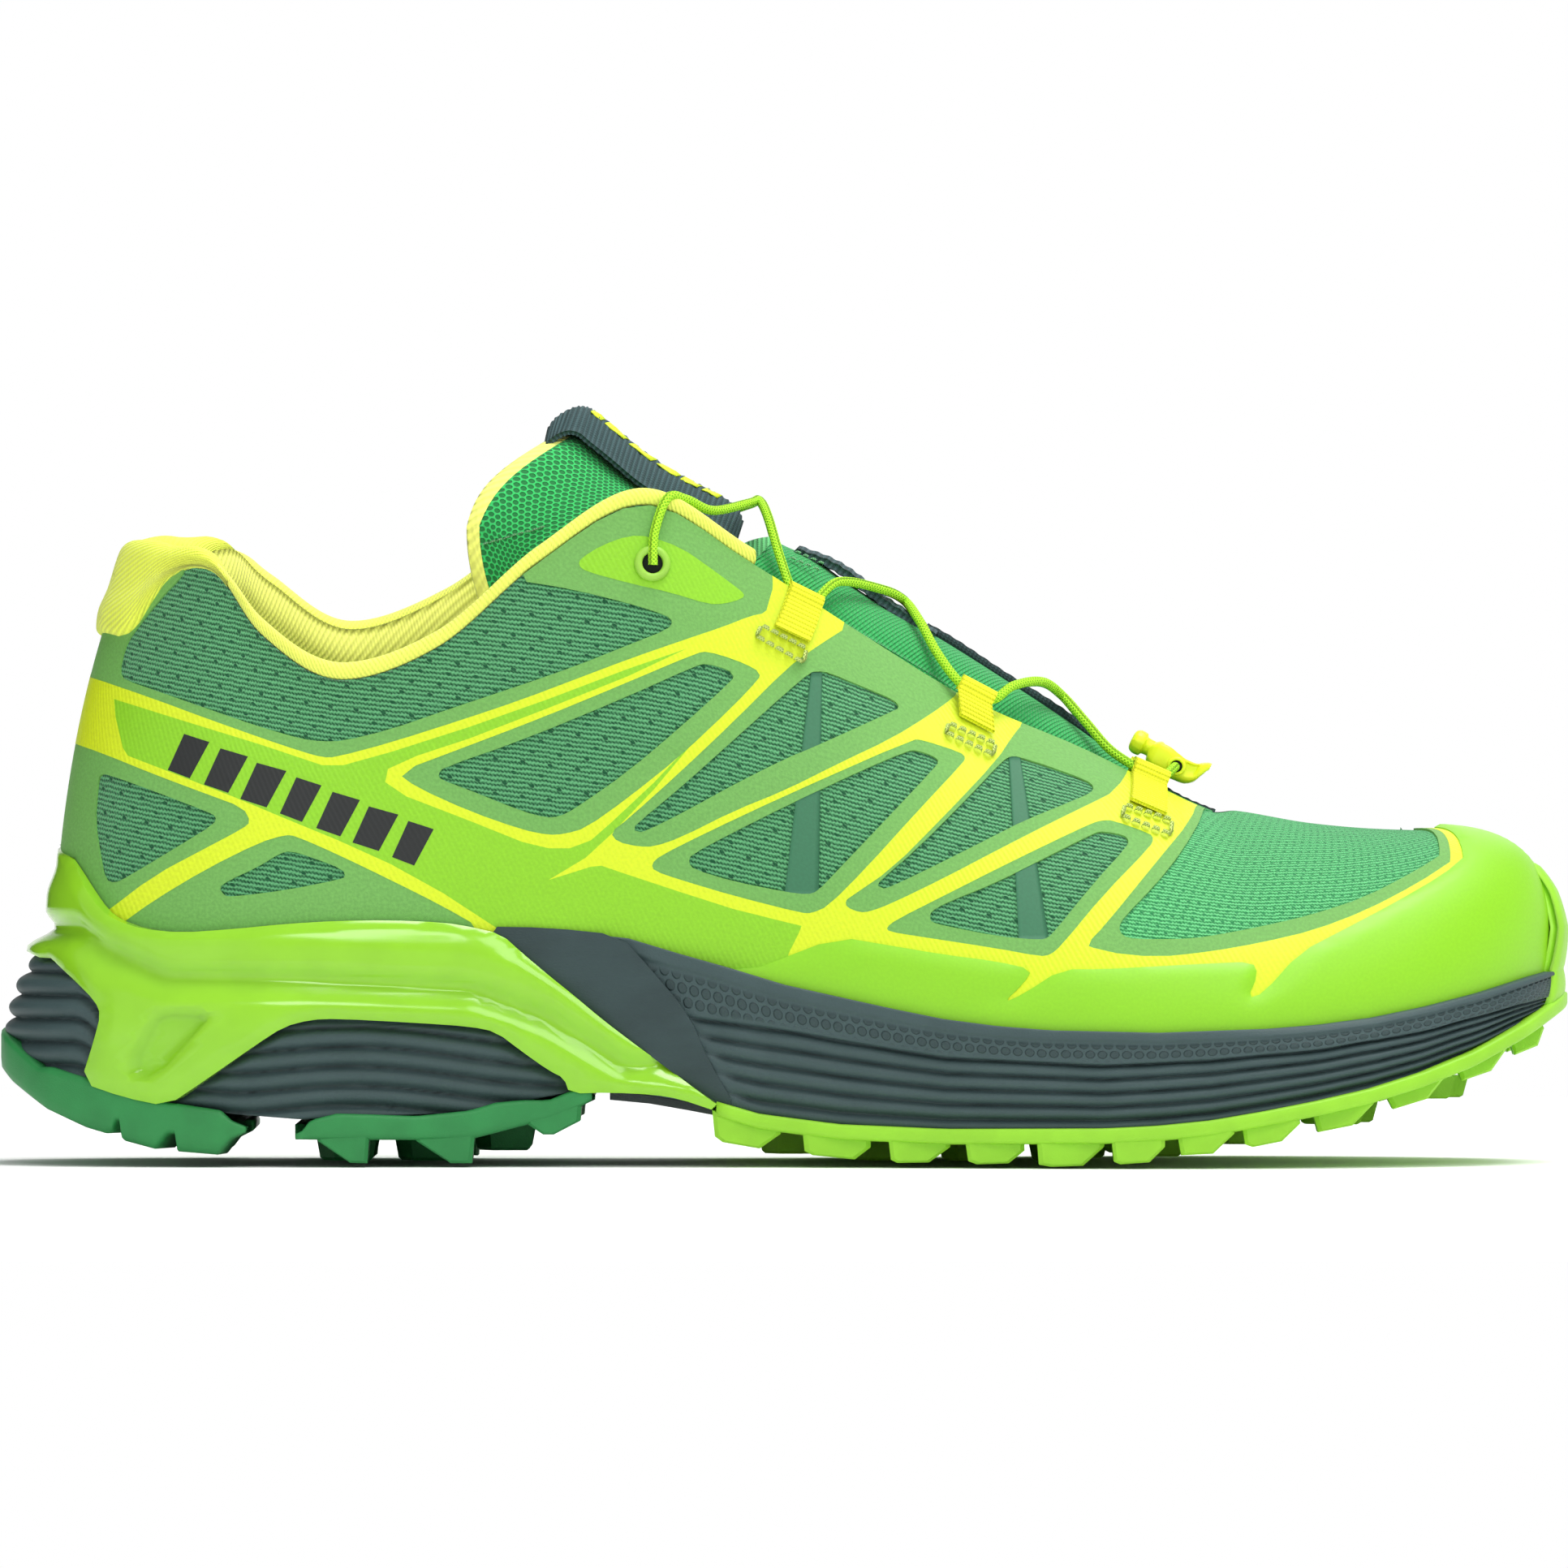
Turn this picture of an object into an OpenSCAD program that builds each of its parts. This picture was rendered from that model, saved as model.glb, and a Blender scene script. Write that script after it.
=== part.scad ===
// Running shoe, right foot, built up from its separate layers and fittings.
// Millimetres. +X points to the toe, +Y to the inner side, +Z up, sole on Z = 0.

/* [Upper] */
// Thickness of the knitted mesh base
knit_t = 1.2; // [0.9:0.1:1.4]
// Thickness of the welded films and printed overlays
film_t = 0.5; // [0.3:0.05:0.6]
// Thickness of the moulded toe rand
rand_t = 1.0; // [0.7:0.1:1.2]
// Thickness of the ankle padding at its fullest
pad_t = 6; // [4:0.5:7]
/* [Sole] */
// Height of the tread lugs under the sole plates
lug_h = 3.4; // [2.6:0.2:4]
// Thickness of the outsole rubber between the lugs
plate_t = 1.5; // [1.2:0.1:1.8]
// Wall thickness of the heel frame
frame_t = 2.0; // [1.6:0.1:2.2]
// Thickness of the removable sockliner
insole_t = 4; // [3:0.5:4.5]
/* [Lacing] */
// Diameter of the lace cord
lace_d = 1.8; // [1.4:0.1:2]
// Outer diameter of each eyelet ring
eyelet_d = 6.8; // [6.2:0.2:7.4]
// Travel of the lock's press button
button_travel = 1.5; // [1:0.1:1.5]

/* [Hidden] */
$fn = 24;
// stations from heel to toe, one row each: foot line x, outer y, inner y, z, top line x,
// half gap, outer z, inner z, then how far each section bows out and up at both its ends
ST = [
  [-140.2, 0, 0, 30, -127, 0, 112, 112, .3, 28, 9.3, 24],
  [-138.4, -12.5, 11.8, 29.6, -125.7, 9.5, 112.6, 113.2, .4, 28, 8.8, 24],
  [-130, -25, 23.6, 29, -119.3, 17.8, 113.2, 114.8, 1, 28, 7.2, 24],
  [-115, -32.5, 31, 28, -109, 24.5, 112.8, 116.4, 1.5, 27, 5, 24],
  [-100, -35.3, 34, 27.5, -99.5, 28, 100.3, 109.3, 2, 25, 4, 22],
  [-83, -36, 33.5, 27, -85, 30.5, 92, 100.5, 2.5, 22, 3, 20],
  [-64, -35.3, 31.5, 27, -66, 31.5, 98.2, 106.6, 3, 22, 3, 22],
  [-45, -35.3, 30, 27, -47, 30.5, 114.2, 120, 3.5, 25, 4, 26],
  [-24, -36, 30.5, 26.5, -27, 27.5, 125.2, 126, 3.5, 25, 6, 30],
  [-2, -38, 33.5, 24.5, -7, 23.5, 114.3, 114.5, 3.5, 24, 9, 26],
  [20, -42, 37.5, 22, 14, 20, 100.8, 101, 4, 22, 13, 18],
  [42, -46, 42.5, 20, 35, 17.5, 88, 88.2, 4, 21, 16, 12],
  [63, -48.8, 46, 19.2, 57, 14.5, 78.5, 78.7, 4, 21, 18, 7],
  [82, -48.3, 46.5, 19.5, 79, 9.5, 67.6, 67.8, 4, 22, 22, 3],
  [93, -46.3, 45.3, 20.2, 87, 0, 67, 67, 4, 24, 26, 0],
  [110, -40.6, 41.8, 22.3, 98, 0, 65, 65, 4, 26, 24, -.4],
  [125.5, -32.5, 35.4, 25.6, 106, 0, 64, 64, 4, 28, 21, -.5],
  [137, -21.5, 27.5, 29.5, 112, 0, 63.5, 63.5, 3.8, 29, 19, -.6],
  [143.8, -9, 16.8, 32, 116, 0, 63.3, 63.3, 3.6, 29, 18.5, -.6],
  [145.7, 4, 4, 33, 118, 0, 63.2, 63.2, 3.5, 28.5, 18.5, -.6]];
// widest line of the sole at the same stations: x, outer y, inner y
SP = [[-149.5, 0, 0], [-147.4, -15.5, 14.6], [-137, -30.4, 29], [-119, -38.2, 36.3],
  [-100, -41, 38], [-83, -40.5, 37], [-64, -39.5, 34.5], [-45, -38.5, 33],
  [-24, -39.5, 33], [-2, -42, 36], [20, -45.5, 41], [42, -50, 46.5], [63, -52.8, 50.5],
  [82, -52.3, 52.8], [95.5, -51, 51.8], [112.5, -45.3, 47.2], [128.5, -36, 39.8], [140.5, -24, 30.6],
  [147.2, -9.6, 18.2], [149, 4, 4]];
// side profiles, x then z: midsole top edge, midsole underside, heel frame top and foot
feather_z = [[-150, 38], [-100, 41], [-60, 42.5], [-50, 43.5], [-40, 44], [-30, 43],
  [-20, 40], [-10, 37.2], [0, 34.2], [10, 32], [20, 29.8], [30, 27.8], [40, 26.5],
  [50, 25.7], [70, 25.2], [90, 25.9], [100, 26.7], [110, 28], [120, 30], [130, 32.5],
  [140, 35.5], [150, 38]];
under_z = [[-150, 24], [-145, 20], [-140, 17.5], [-133, 16], [-117, 11.7], [-105, 9.7],
  [-92, 8.7], [-80, 9.2], [-60, 10], [-50, 12], [-40, 14], [-30, 14], [-20, 12.3],
  [-13, 11], [-5, 8.7], [10, 6.8], [30, 6], [60, 6.2], [70, 6.7], [80, 7.7], [90, 9.4],
  [100, 11.3], [110, 13.5], [120, 16.5], [130, 20.3], [140, 25.5], [150, 32]];
tread_z = [[-150, 18], [-145, 13.5], [-140, 10.3], [-133, 7], [-126, 4], [-119, 1.2],
  [-112, 0], [-50, 0], [-42, 5], [-36, 9], [-14, 4.6], [-5, 2.4], [5, .8], [15, 0],
  [62, 0], [72, 1], [82, 2.4], [92, 4.6], [100, 6.3], [110, 8.5], [120, 11.6],
  [130, 15.6], [140, 20.5], [150, 27]];
frame_top = [[-142, 60.5], [-139.5, 59.5], [-137, 57], [-133, 52], [-130, 48], [-127, 46],
  [-122, 44.5], [-115, 44], [-105, 44.7], [-95, 45.7], [-85, 46.3], [-75, 46.4],
  [-65, 45.8], [-60, 45], [-54, 43.6], [-50, 40], [-45, 36], [-40, 32], [-35, 27.5],
  [-30, 24], [-25, 20.6], [-20, 17.4], [-13, 14.2]];
frame_low = [[-142, 40], [-140, 39.5], [-137, 36.5], [-133, 33], [-131, 30.5],
  [-130, 18.5], [-126, 14.4], [-119, 12.3], [-116, 12.3], [-111, 15.5], [-105, 19.5],
  [-100, 23], [-95, 26.3], [-90, 27.6], [-70, 27], [-60, 26.3], [-55, 25.5],
  [-50, 21.5], [-45, 18], [-42, 16], [-36, 14.9], [-25, 14], [-13, 11.6]];

function cr(p, t) =
  let (n = len(p) - 1)
  let (i = max(0, min(floor(t), n - 1)))
  let (f = t - i, a = p[max(i - 1, 0)], b = p[i], c = p[i + 1], d = p[min(i + 2, n)])
  b + 0.5 * f * ((c - a) + f * ((2 * a - 5 * b + 4 * c - d) + f * (3 * b - a - 3 * c + d)));
function tab(t, x) = lookup(x, t);
function unit(a) = a / max(norm(a), 1e-9);
function mid_y(x) =
  let (q = max(0, min(1, (x + 40) / 120)))
  3.5 * q * q * (3 - 2 * q);
// point of the upper at station k (0 heel, 19 toe), v from the sole up, sd -1 outer 1 inner
function sect(sd, q, v) =
  let (f = [q[0], sd < 0 ? q[1] : q[2], q[3]])
  let (c = [q[4], mid_y(q[4]) + sd * max(0, q[5]), sd < 0 ? q[6] : q[7]])
  let (d = unit([f[0] - c[0], f[1] - c[1], 0]))
  let (a = f + d * q[8] + [0, 0, q[9]], b = c + d * q[10] - [0, 0, q[11]], w = 1 - v)
  w * w * w * f + 3 * w * w * v * a + 3 * w * v * v * b + v * v * v * c;
function pt(sd, k, v) = sect(sd, cr(ST, k), v);
function nrm(sd, k, v) =
  let (k0 = max(0, k - .1), k1 = min(19, k + .1), v0 = max(0, v - .03), v1 = min(1, v + .03))
  let (e = pt(sd, k1, v) - pt(sd, k0, v), g = pt(sd, k, v1) - pt(sd, k, v0))
  let (n = sd * cross(g, e))
  k < .02 ? unit([n[0], 0, n[2]]) : unit(n);
function off(sd, k, v, o) = pt(sd, k, v) + o * nrm(sd, k, v);
// station and height of the upper's point seen at x, z from the side
function find(sd, x, z, k = -1, v = .5, n = 0) =
  let (k0 = k < 0 ? lookup(x, [for (i = [0:19]) [ST[i][0] - 1 + i / 19, i]]) : k)
  n > 9 ? [k0, v] :
  let (p = pt(sd, k0, v), pk = pt(sd, min(19, k0 + .05), v), pv = pt(sd, k0, min(1, v + .02)))
  let (dk = k0 > 18.9 ? pt(sd, k0, v) - pt(sd, k0 - .05, v) : pk - p, dv = pv - p)
  let (a = dk[0] / .05, b = dv[0] / .02, c = dk[2] / .05, d = dv[2] / .02)
  let (t = a * d - b * c, ex = x - p[0], ez = z - p[2])
  let (uk = abs(t) < 1e-6 ? 0 : (d * ex - b * ez) / t, uv = abs(t) < 1e-6 ? 0 : (a * ez - c * ex) / t)
  find(sd, x, z, max(0, min(19, k0 + max(-2, min(2, uk)))),
    max(.02, min(.97, v + max(-.25, min(.25, uv)))), n + 1);
function v_at(sd, k, t, n = 0, a = 0, b = 1) =
  n > 11 ? (a + b) / 2 :
  let (m = (a + b) / 2, p = pt(sd, k, m))
  p[2] > tab(t, p[0]) ? v_at(sd, k, t, n + 1, a, m) : v_at(sd, k, t, n + 1, m, b);
function on(sd, x, z, o) =
  let (q = find(sd, x, z))
  off(sd, q[0], q[1], o);
function sole(sd, k, inset, z) =
  let (p = cr(SP, k), a = cr(SP, max(0, k - .1)), b = cr(SP, min(19, k + .1)))
  let (j = sd < 0 ? 1 : 2, t = unit([b[0] - a[0], b[j] - a[j], 0]))
  let (n = k < .05 ? [-1, 0, 0] : k > 18.95 ? [1, 0, 0] : sd * [-t[1], t[0], 0])
  [p[0], p[j], 0] - inset * n + [0, 0, z];
function flat2(l) = [for (a = l) each a];
// closed rings joined in order; ends zipped across, pole = 1 when entry 0 lies on the middle
module rings(r, pole = 0) {
  m = len(r[0]);
  n = len(r);
  side = [for (i = [0:n - 2], j = [0:m - 1]) each
    [[i * m + j, (i + 1) * m + j, i * m + (j + 1) % m],
     [i * m + (j + 1) % m, (i + 1) * m + j, (i + 1) * m + (j + 1) % m]]];
  h = floor(m / 2);
  a0 = [for (j = [0:h - 1]) let (p = j, q = j + 1, s = (m - 1 + pole - j) % m, t = m - 2 + pole - j) each
    [if (p != s) [p, q, s], if (q != t) [q, t, s]]];
  c = flat2([for (f = [a0]) f]);
  good = [for (f = c) if (f[0] != f[1] && f[1] != f[2] && f[0] != f[2]) f];
  top = [for (f = good) [f[0] + (n - 1) * m, f[2] + (n - 1) * m, f[1] + (n - 1) * m]];
  polyhedron(points = flat2(r), faces = concat(side, good, top), convexity = 8);
}
// a rope of rings with fan ends
module rope(r) {
  m = len(r[0]);
  n = len(r);
  s0 = r[0] * 1;
  c0 = [for (i = [0:2]) [for (p = r[0]) p[i]] * [for (p = r[0]) 1] / m];
  c1 = [for (i = [0:2]) [for (p = r[n - 1]) p[i]] * [for (p = r[0]) 1] / m];
  side = [for (i = [0:n - 2], j = [0:m - 1]) each
    [[i * m + j, (i + 1) * m + j, i * m + (j + 1) % m],
     [i * m + (j + 1) % m, (i + 1) * m + j, (i + 1) * m + (j + 1) % m]]];
  a = [for (j = [0:m - 1]) [n * m, j, (j + 1) % m]];
  b = [for (j = [0:m - 1]) [n * m + 1, (n - 1) * m + (j + 1) % m, (n - 1) * m + j]];
  polyhedron(points = concat(flat2(r), [c0, c1]), faces = concat(side, a, b), convexity = 8);
}
// a sheet with thickness: matching grids, outer face a and inner face b
module sheet(a, b) {
  n = len(a);
  m = len(a[0]);
  s = n * m;
  f = [for (i = [0:n - 2], j = [0:m - 2]) each
    [[i * m + j, i * m + j + 1, (i + 1) * m + j],
     [i * m + j + 1, (i + 1) * m + j + 1, (i + 1) * m + j]]];
  g = [for (q = f) [q[0] + s, q[2] + s, q[1] + s]];
  e1 = [for (j = [0:m - 2]) each [[j, s + j, j + 1], [j + 1, s + j, s + j + 1]]];
  z = (n - 1) * m;
  e2 = [for (j = [0:m - 2]) each
    [[z + j, z + j + 1, z + s + j], [z + j + 1, z + s + j + 1, z + s + j]]];
  e3 = [for (i = [0:n - 2]) each
    [[i * m, (i + 1) * m, s + i * m], [(i + 1) * m, s + (i + 1) * m, s + i * m]]];
  w = m - 1;
  e4 = [for (i = [0:n - 2]) each
    [[i * m + w, s + i * m + w, (i + 1) * m + w],
     [(i + 1) * m + w, s + i * m + w, s + (i + 1) * m + w]]];
  polyhedron(points = concat(flat2(a), flat2(b)), faces = concat(f, g, e1, e2, e3, e4),
    convexity = 8);
}
module sheet2(sd, a, b) {
  if (sd < 0) {
    sheet(a, b);
  }
  else {
    sheet(b, a);
  }
}
function span(a, b, n) = [for (i = [0:n]) a + (b - a) * i / n];
// side loop: outer side stations out, inner side stations back
function loop(ks) = concat([for (k = ks) [-1, k]],
  [for (i = [len(ks) - 1:-1:0]) if (ks[i] > .02 && ks[i] < 18.98) [1, ks[i]]]);
full = [0, .6, 1.2, 2, 3, 4, 5, 6, 7, 8, 9, 10, 11, 12, 13, 14, 15, 16, 16.8, 17.6, 18.4, 19];
heel_ks = [0, .4, .8, 1.2, 1.6, 2, 2.5, 3, 3.85, 4.5, 5, 6, 7, 7.4, 7.5];
fore_ks = [7.55, 8.2, 8.55, 9.2, 10, 11, 12, 13, 14, 15, 16, 16.8, 17.6, 18.4, 19];

// ---------- sole ----------
function inset_ring(ks, inset, t, dz) =
  [for (q = loop(ks)) let (p = sole(q[0], q[1], inset, 0)) [p[0], p[1], tab(t, p[0]) + dz]];
module lug(x, y, l, w, a) {
  z0 = tab(tread_z, x) + (3.4 - lug_h) * (abs(x) > 122 ? 1 : 0);
  z1 = tab(under_z, x) - plate_t - .4;
  hull() {
    translate([x, y, z1])
      rotate([0, 0, a])
        linear_extrude(.6)
          polygon([[-l / 2, -w / 2], [l / 3, -w / 2], [l / 2, 0], [l / 3, w / 2],
            [-l / 2, w / 2], [-l / 3, 0]]);
    translate([x, y, z0])
      rotate([0, 0, a])
        linear_extrude(.6)
          polygon([[-l * .4, -w * .38], [l * .26, -w * .38], [l * .4, 0], [l * .26, w * .38],
            [-l * .4, w * .38], [-l * .26, 0]]);
  }
}
module plate(ks, pole, rim) {
  rings([inset_ring(ks, 7, under_z, -plate_t - .1), inset_ring(ks, 2.2, under_z, -plate_t - .1),
    inset_ring(ks, .9, under_z, -plate_t + .3), inset_ring(ks, .9, under_z, rim),
    inset_ring(ks, 2.1, under_z, rim), inset_ring(ks, 2.2, under_z, -.1),
    inset_ring(ks, 7, under_z, -.1)], pole);
}
module outsole_heel_rear() {
  color([.06, .3, .1]) {
    plate([0, .4, .8, 1.2, 1.6, 2, 2.5, 3, 3.85], 1, -.12);
    for (s = [-1, 1]) {
      lug(-137, s * 17, 11, 11, s * 50);
      lug(-125, s * 26, 12, 11, s * 25);
      lug(-111, s * 30, 11, 11, s * 10);
      lug(-127, s * 9, 11, 10, 0);
      lug(-112, s * 14, 11, 11, 0);
    }
    lug(-142, 0, 9, 12, 0);
  }
}
module outsole_heel_front() {
  color([.06, .3, .1]) {
    plate([4.5, 5, 6, 7, 7.4], 0, -.12);
    for (x = [-84, -67, -51], s = [-1, 1])
      lug(x, s * (x < -60 ? 28 : 26), 12, 12, 180 - s * 8);
    for (x = [-76, -59], s = [-1, 1])
      lug(x, s * 10, 11, 11, 180);
  }
}
module outsole_forefoot() {
  color([.42, .72, .09]) {
    plate([8.55, 9.2, 10, 11, 12, 13, 14, 15, 16, 16.8, 17.6, 18.4, 19], 0, -.12);
    for (i = [0:8], s = [-1, 1]) {
      x = -8 + i * 17.5;
      p = sole(s, lookup(x, [for (j = [0:19]) [SP[j][0], j]]), 9.5, 0);
      lug(x, p[1], 11.5, 10, (i < 4 ? 0 : 180) + s * 8);
    }
    for (i = [0:7], s = [-1, 1])
      lug(2 + i * 17.5, 2 + s * (9 + i * .6 - (i > 5 ? (i - 5) * 2.6 : 0)), 10.5, 9.5, 180);
    lug(143.5, 4, 6, 11, 0);
  }
}
// adds to each ring two points that carry its open end across under the foot
function ended(rs, ks, pole) = [for (i = [0:len(rs) - 1])
  let (r = rs[i], a = pole == 1 ? len(ks) - 1 : 0, b = pole == 1 ? a + 1 : len(r) - 1)
  let (k = pole == 1 ? ks[a] : ks[0], w = i / (len(rs) - 1), f = .9 - .11 * w)
  let (zf = pt(-1, k, 0)[2] - .95 + .3 * w)
  let (ea = [r[a][0], r[a][1] * f, min(r[a][2], zf)], eb = [r[b][0], r[b][1] * f, min(r[b][2], zf)])
  pole == 1 ? concat([for (j = [0:a]) r[j]], [ea, eb], [for (j = [b:len(r) - 1]) r[j]])
    : concat([ea], r, [eb])];
function upper_ring(ks, t, dz, o) = [for (q = loop(ks))
  let (v = v_at(q[0], q[1], t), p = off(q[0], q[1], v, o)) p + [0, 0, dz]];
function blend(ks, w, i, t, dz) = [for (q = loop(ks))
  let (v = v_at(q[0], q[1], feather_z), a = off(q[0], q[1], v, 2.4))
  let (p0 = sole(q[0], q[1], 1.2, 0), b = [p0[0], p0[1], tab(under_z, p0[0])])
  let (s = sin(w * 180), c = b + (a - b) * w, d = unit([c[0], c[1] * 3, 0]))
  let (o = sole(q[0], q[1], 0, 0), wide = pow(s, .6), in = i + (q[1] < 8.5 ? 2.4 : 0))
  [c[0] + (o[0] - c[0]) * wide * .95, c[1] + (o[1] - c[1]) * wide * .95, c[2] + dz] - in * d];
module midsole(ks, pole, ribs) {
  rings(ended(concat([inset_ring(ks, 9, under_z, 0), inset_ring(ks, 2.6, under_z, 0)],
    [for (w = ribs) each [blend(ks, w, .9, 0, 0), blend(ks, w + .05, 0, 0, 0),
      blend(ks, w + .09, 0, 0, 0)]],
    [upper_ring(ks, feather_z, 0, 2.3), upper_ring(ks, feather_z, 0, .5),
    [for (q = loop(ks)) pt(q[0], q[1], .04) + .5 * nrm(q[0], q[1], .04)],
    [for (q = loop(ks)) pt(q[0], q[1], 0) - [0, 0, .6]],
    [for (q = loop(ks))
         let (p = pt(q[0], q[1], 0)) [p[0] * .975, p[1] * .8, p[2] - .6]]]), ks, pole), pole);
}
module midsole_heel() {
  color([.05, .09, .095])
    rings(ended(concat([inset_ring(heel_ks, 9, under_z, 0), inset_ring(heel_ks, 2.6, under_z, 0)],
      [for (w = [.08, .26, .44, .62]) each [heel_wall(w, 1.1), heel_wall(w + .07, .1),
        heel_wall(w + .12, .1)]],
      [heel_wall(.84, .6), heel_wall(.95, 3.2), heel_wall(1, 4.2),
      [for (q = loop(heel_ks)) off(q[0], q[1], v_at(q[0], q[1], feather_z), .5)],
      [for (q = loop(heel_ks)) pt(q[0], q[1], .04) + .5 * nrm(q[0], q[1], .04)],
      [for (q = loop(heel_ks)) pt(q[0], q[1], 0) - [0, 0, .6]],
      [for (q = loop(heel_ks))
          let (p = pt(q[0], q[1], 0)) [p[0] * .975, p[1] * .8, p[2] - .6]]]), heel_ks, 1), 1);
}
// heel wall between the underside, w = 0, and the top edge, w = 1, kept inside the frame
function heel_wall(w, i) = [for (q = loop(heel_ks))
  let (p = sole(q[0], q[1], 0, 0))
  let (zb = tab(under_z, p[0]), zt = tab(feather_z, p[0]) - .5, z = zb + (zt - zb) * w)
  let (cover = z > tab(frame_low, max(p[0], -141)) - 1.2 && p[0] > -143 ? 1 : 0)
  let (c = frame_pt(q[0], q[1], z, -frame_t - .5))
  let (f = sole(q[0], q[1], i, z))
  let (lean = max(0, (z - 30) / 12))
  cover == 1 ? c : w > .9 ? c + [0, 0, 0] : f + (c - f) * min(1, lean * lean * .8)];
module midsole_forefoot() {
  color([.06, .105, .107])
    midsole(fore_ks, 0, [.06, .21, .36, .51, .66]);
}
// wall of the heel frame at station k and height z
function frame_pt(sd, k, z, o) =
  let (q = [[for (i = [0:20]) 0]], v0 = v_z(sd, k, max(z, 40)), a = off(sd, k, v0, 2.6 + o))
  let (b = sole(sd, k, -.2 - o, z), s = max(0, min(1, (z - 22) / 22)))
  let (e = s * s * (3 - 2 * s))
  [b[0] + (a[0] - b[0]) * e, b[1] + (a[1] - b[1]) * e, z];
function v_z(sd, k, z, n = 0, a = 0, b = 1) =
  n > 11 ? (a + b) / 2 :
  let (m = (a + b) / 2)
  pt(sd, k, m)[2] > z ? v_z(sd, k, z, n + 1, a, m) : v_z(sd, k, z, n + 1, m, b);
frame_ks = concat([8.45, 8.2, 7.9, 7.6, 7.3, 7, 6.6, 6, 5.4, 4.8, 4.4, 4, 3.6, 3.25, 3, 2.8],
  [2.5, 2.2, 2.05, 1.9, 1.6, 1.2, .8, .4]);
module heel_frame() {
  cols = concat([for (k = frame_ks) [-1, k]], [[-1, 0]],
    [for (i = [len(frame_ks) - 1:-1:0]) [1, frame_ks[i]]]);
  function col(q, o) =
    let (x = max(-141.5, min(sole(q[0], q[1], 0, 0)[0], cr(ST, q[1])[0] + 1)))
    let (a = tab(frame_low, x), b = max(tab(frame_top, x), a + 1.2))
    [for (w = [0, .12, .45, .55, .9, 1]) frame_pt(q[0], q[1], a + (b - a) * w,
      (w < .5 ? 0 : .7) * 1 - (w == 0 || w == 1 ? .5 : 0) - o)];
  color([.36, .7, .06])
    sheet([for (q = cols) col(q, frame_t)], [for (q = cols) col(q, 0)]);
}
module shank() {
  ks = [7.55, 7.9, 8.2, 8.45];
  color([.36, .7, .06])
    rings([inset_ring(ks, 4, under_z, -1.7), inset_ring(ks, 4, under_z, -.15)], 0);
}
module strobel_board() {
  ks = full;
  color([.8, .8, .76])
    rings([[for (q = loop(ks)) let (p = pt(q[0], q[1], 0)) [p[0] * .975, p[1] * .93, p[2] - .4]],
      [for (q = loop(ks)) let (p = pt(q[0], q[1], 0)) [p[0] * .975, p[1] * .93, p[2] + .9]]], 1);
}
module insole() {
  ks = full;
  color([.5, .75, .1])
    rings([[for (q = loop(ks)) let (p = off(q[0], q[1], .02, -5)) [p[0], p[1], cr(ST, q[1])[3] + 1.45]],
      [for (q = loop(ks)) off(q[0], q[1], .1, -5) + [0, 0, q[1] < 6 ? 3 : 1]],
      [for (q = loop(ks)) off(q[0], q[1], .1, -6.6) + [0, 0, q[1] < 6 ? 3 : 1]],
      [for (q = loop(ks)) let (p = off(q[0], q[1], .05, -9))
          [p[0], p[1], cr(ST, q[1])[3] + 1.3 + insole_t]]], 1);
}

// ---------- upper ----------
function grid(sd, ks, vs, o) = [for (k = ks) [for (v = vs) off(sd, k, v, o)]];
// padding depth behind the knit
function pad(k, v) =
  let (a = max(0, min(1, (v - .58) / .2)), b = max(0, min(1, (1.0 - v) / .1)))
  let (c = k < 6 ? 1 : max(0, 1 - (k - 6) / 1.6))
  let (h = k < 4.5 ? 1 : max(0, 1 - (k - 4.5) / .5), g = max(0, min(1, (.62 - v) / .08)))
  pad_t * c * sin(a * 90) * sqrt(b) + 1.7 * h * g;
vq = [0, .1, .25, .4, .5, .58, .66, .74, .82, .9, .96, 1];
kq = [0, .4, .8, 1.2, 1.6, 2, 2.5, 3, 3.5, 4, 5, 6, 7, 8, 9, 10, 11, 12, 13, 13.5, 14];
module quarter(sd) {
  color([.07, .29, .11])
    sheet2(sd, grid(sd, kq, vq, 0), grid(sd, kq, vq, -knit_t));
}
module quarter_lateral() {
  quarter(-1);
}
module quarter_medial() {
  translate([0, .02, 0])
    quarter(1);
}
kl = [0, .4, .8, 1.2, 1.6, 2, 2.5, 3, 3.5, 4, 4.5, 5, 5.5, 6, 6.5, 7, 7.6, 8.2, 9];
module lining(sd) {
  color([.85, .9, .2])
    sheet2(sd, [for (k = kl) [for (v = vq) off(sd, k, v, -knit_t - .15 - pad(k, v) - .1)]],
      [for (k = kl) [for (v = vq) off(sd, k, v, -knit_t - .15 - pad(k, v) - .8)]]);
}
module lining_lateral() {
  translate([0, -.02, 0])
    lining(-1);
}
module lining_medial() {
  translate([0, .02, 0])
    lining(1);
}
module collar_foam(sd) {
  ks = [.05, .4, .8, 1.2, 1.6, 2, 2.5, 3, 3.5, 4, 4.5, 5, 5.5, 6, 6.5, 7];
  vs = [.64, .7, .78, .86, .94];
  color([.75, .75, .55])
    sheet2(sd, [for (k = ks) [for (v = vs) off(sd, k, v, -knit_t - .12)]],
      [for (k = ks) [for (v = vs) off(sd, k, v, -knit_t - .12 - max(.4, pad(k, v) - .1))]]);
}
module collar_foam_lateral() {
  collar_foam(-1);
}
module collar_foam_medial() {
  collar_foam(1);
}
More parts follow.
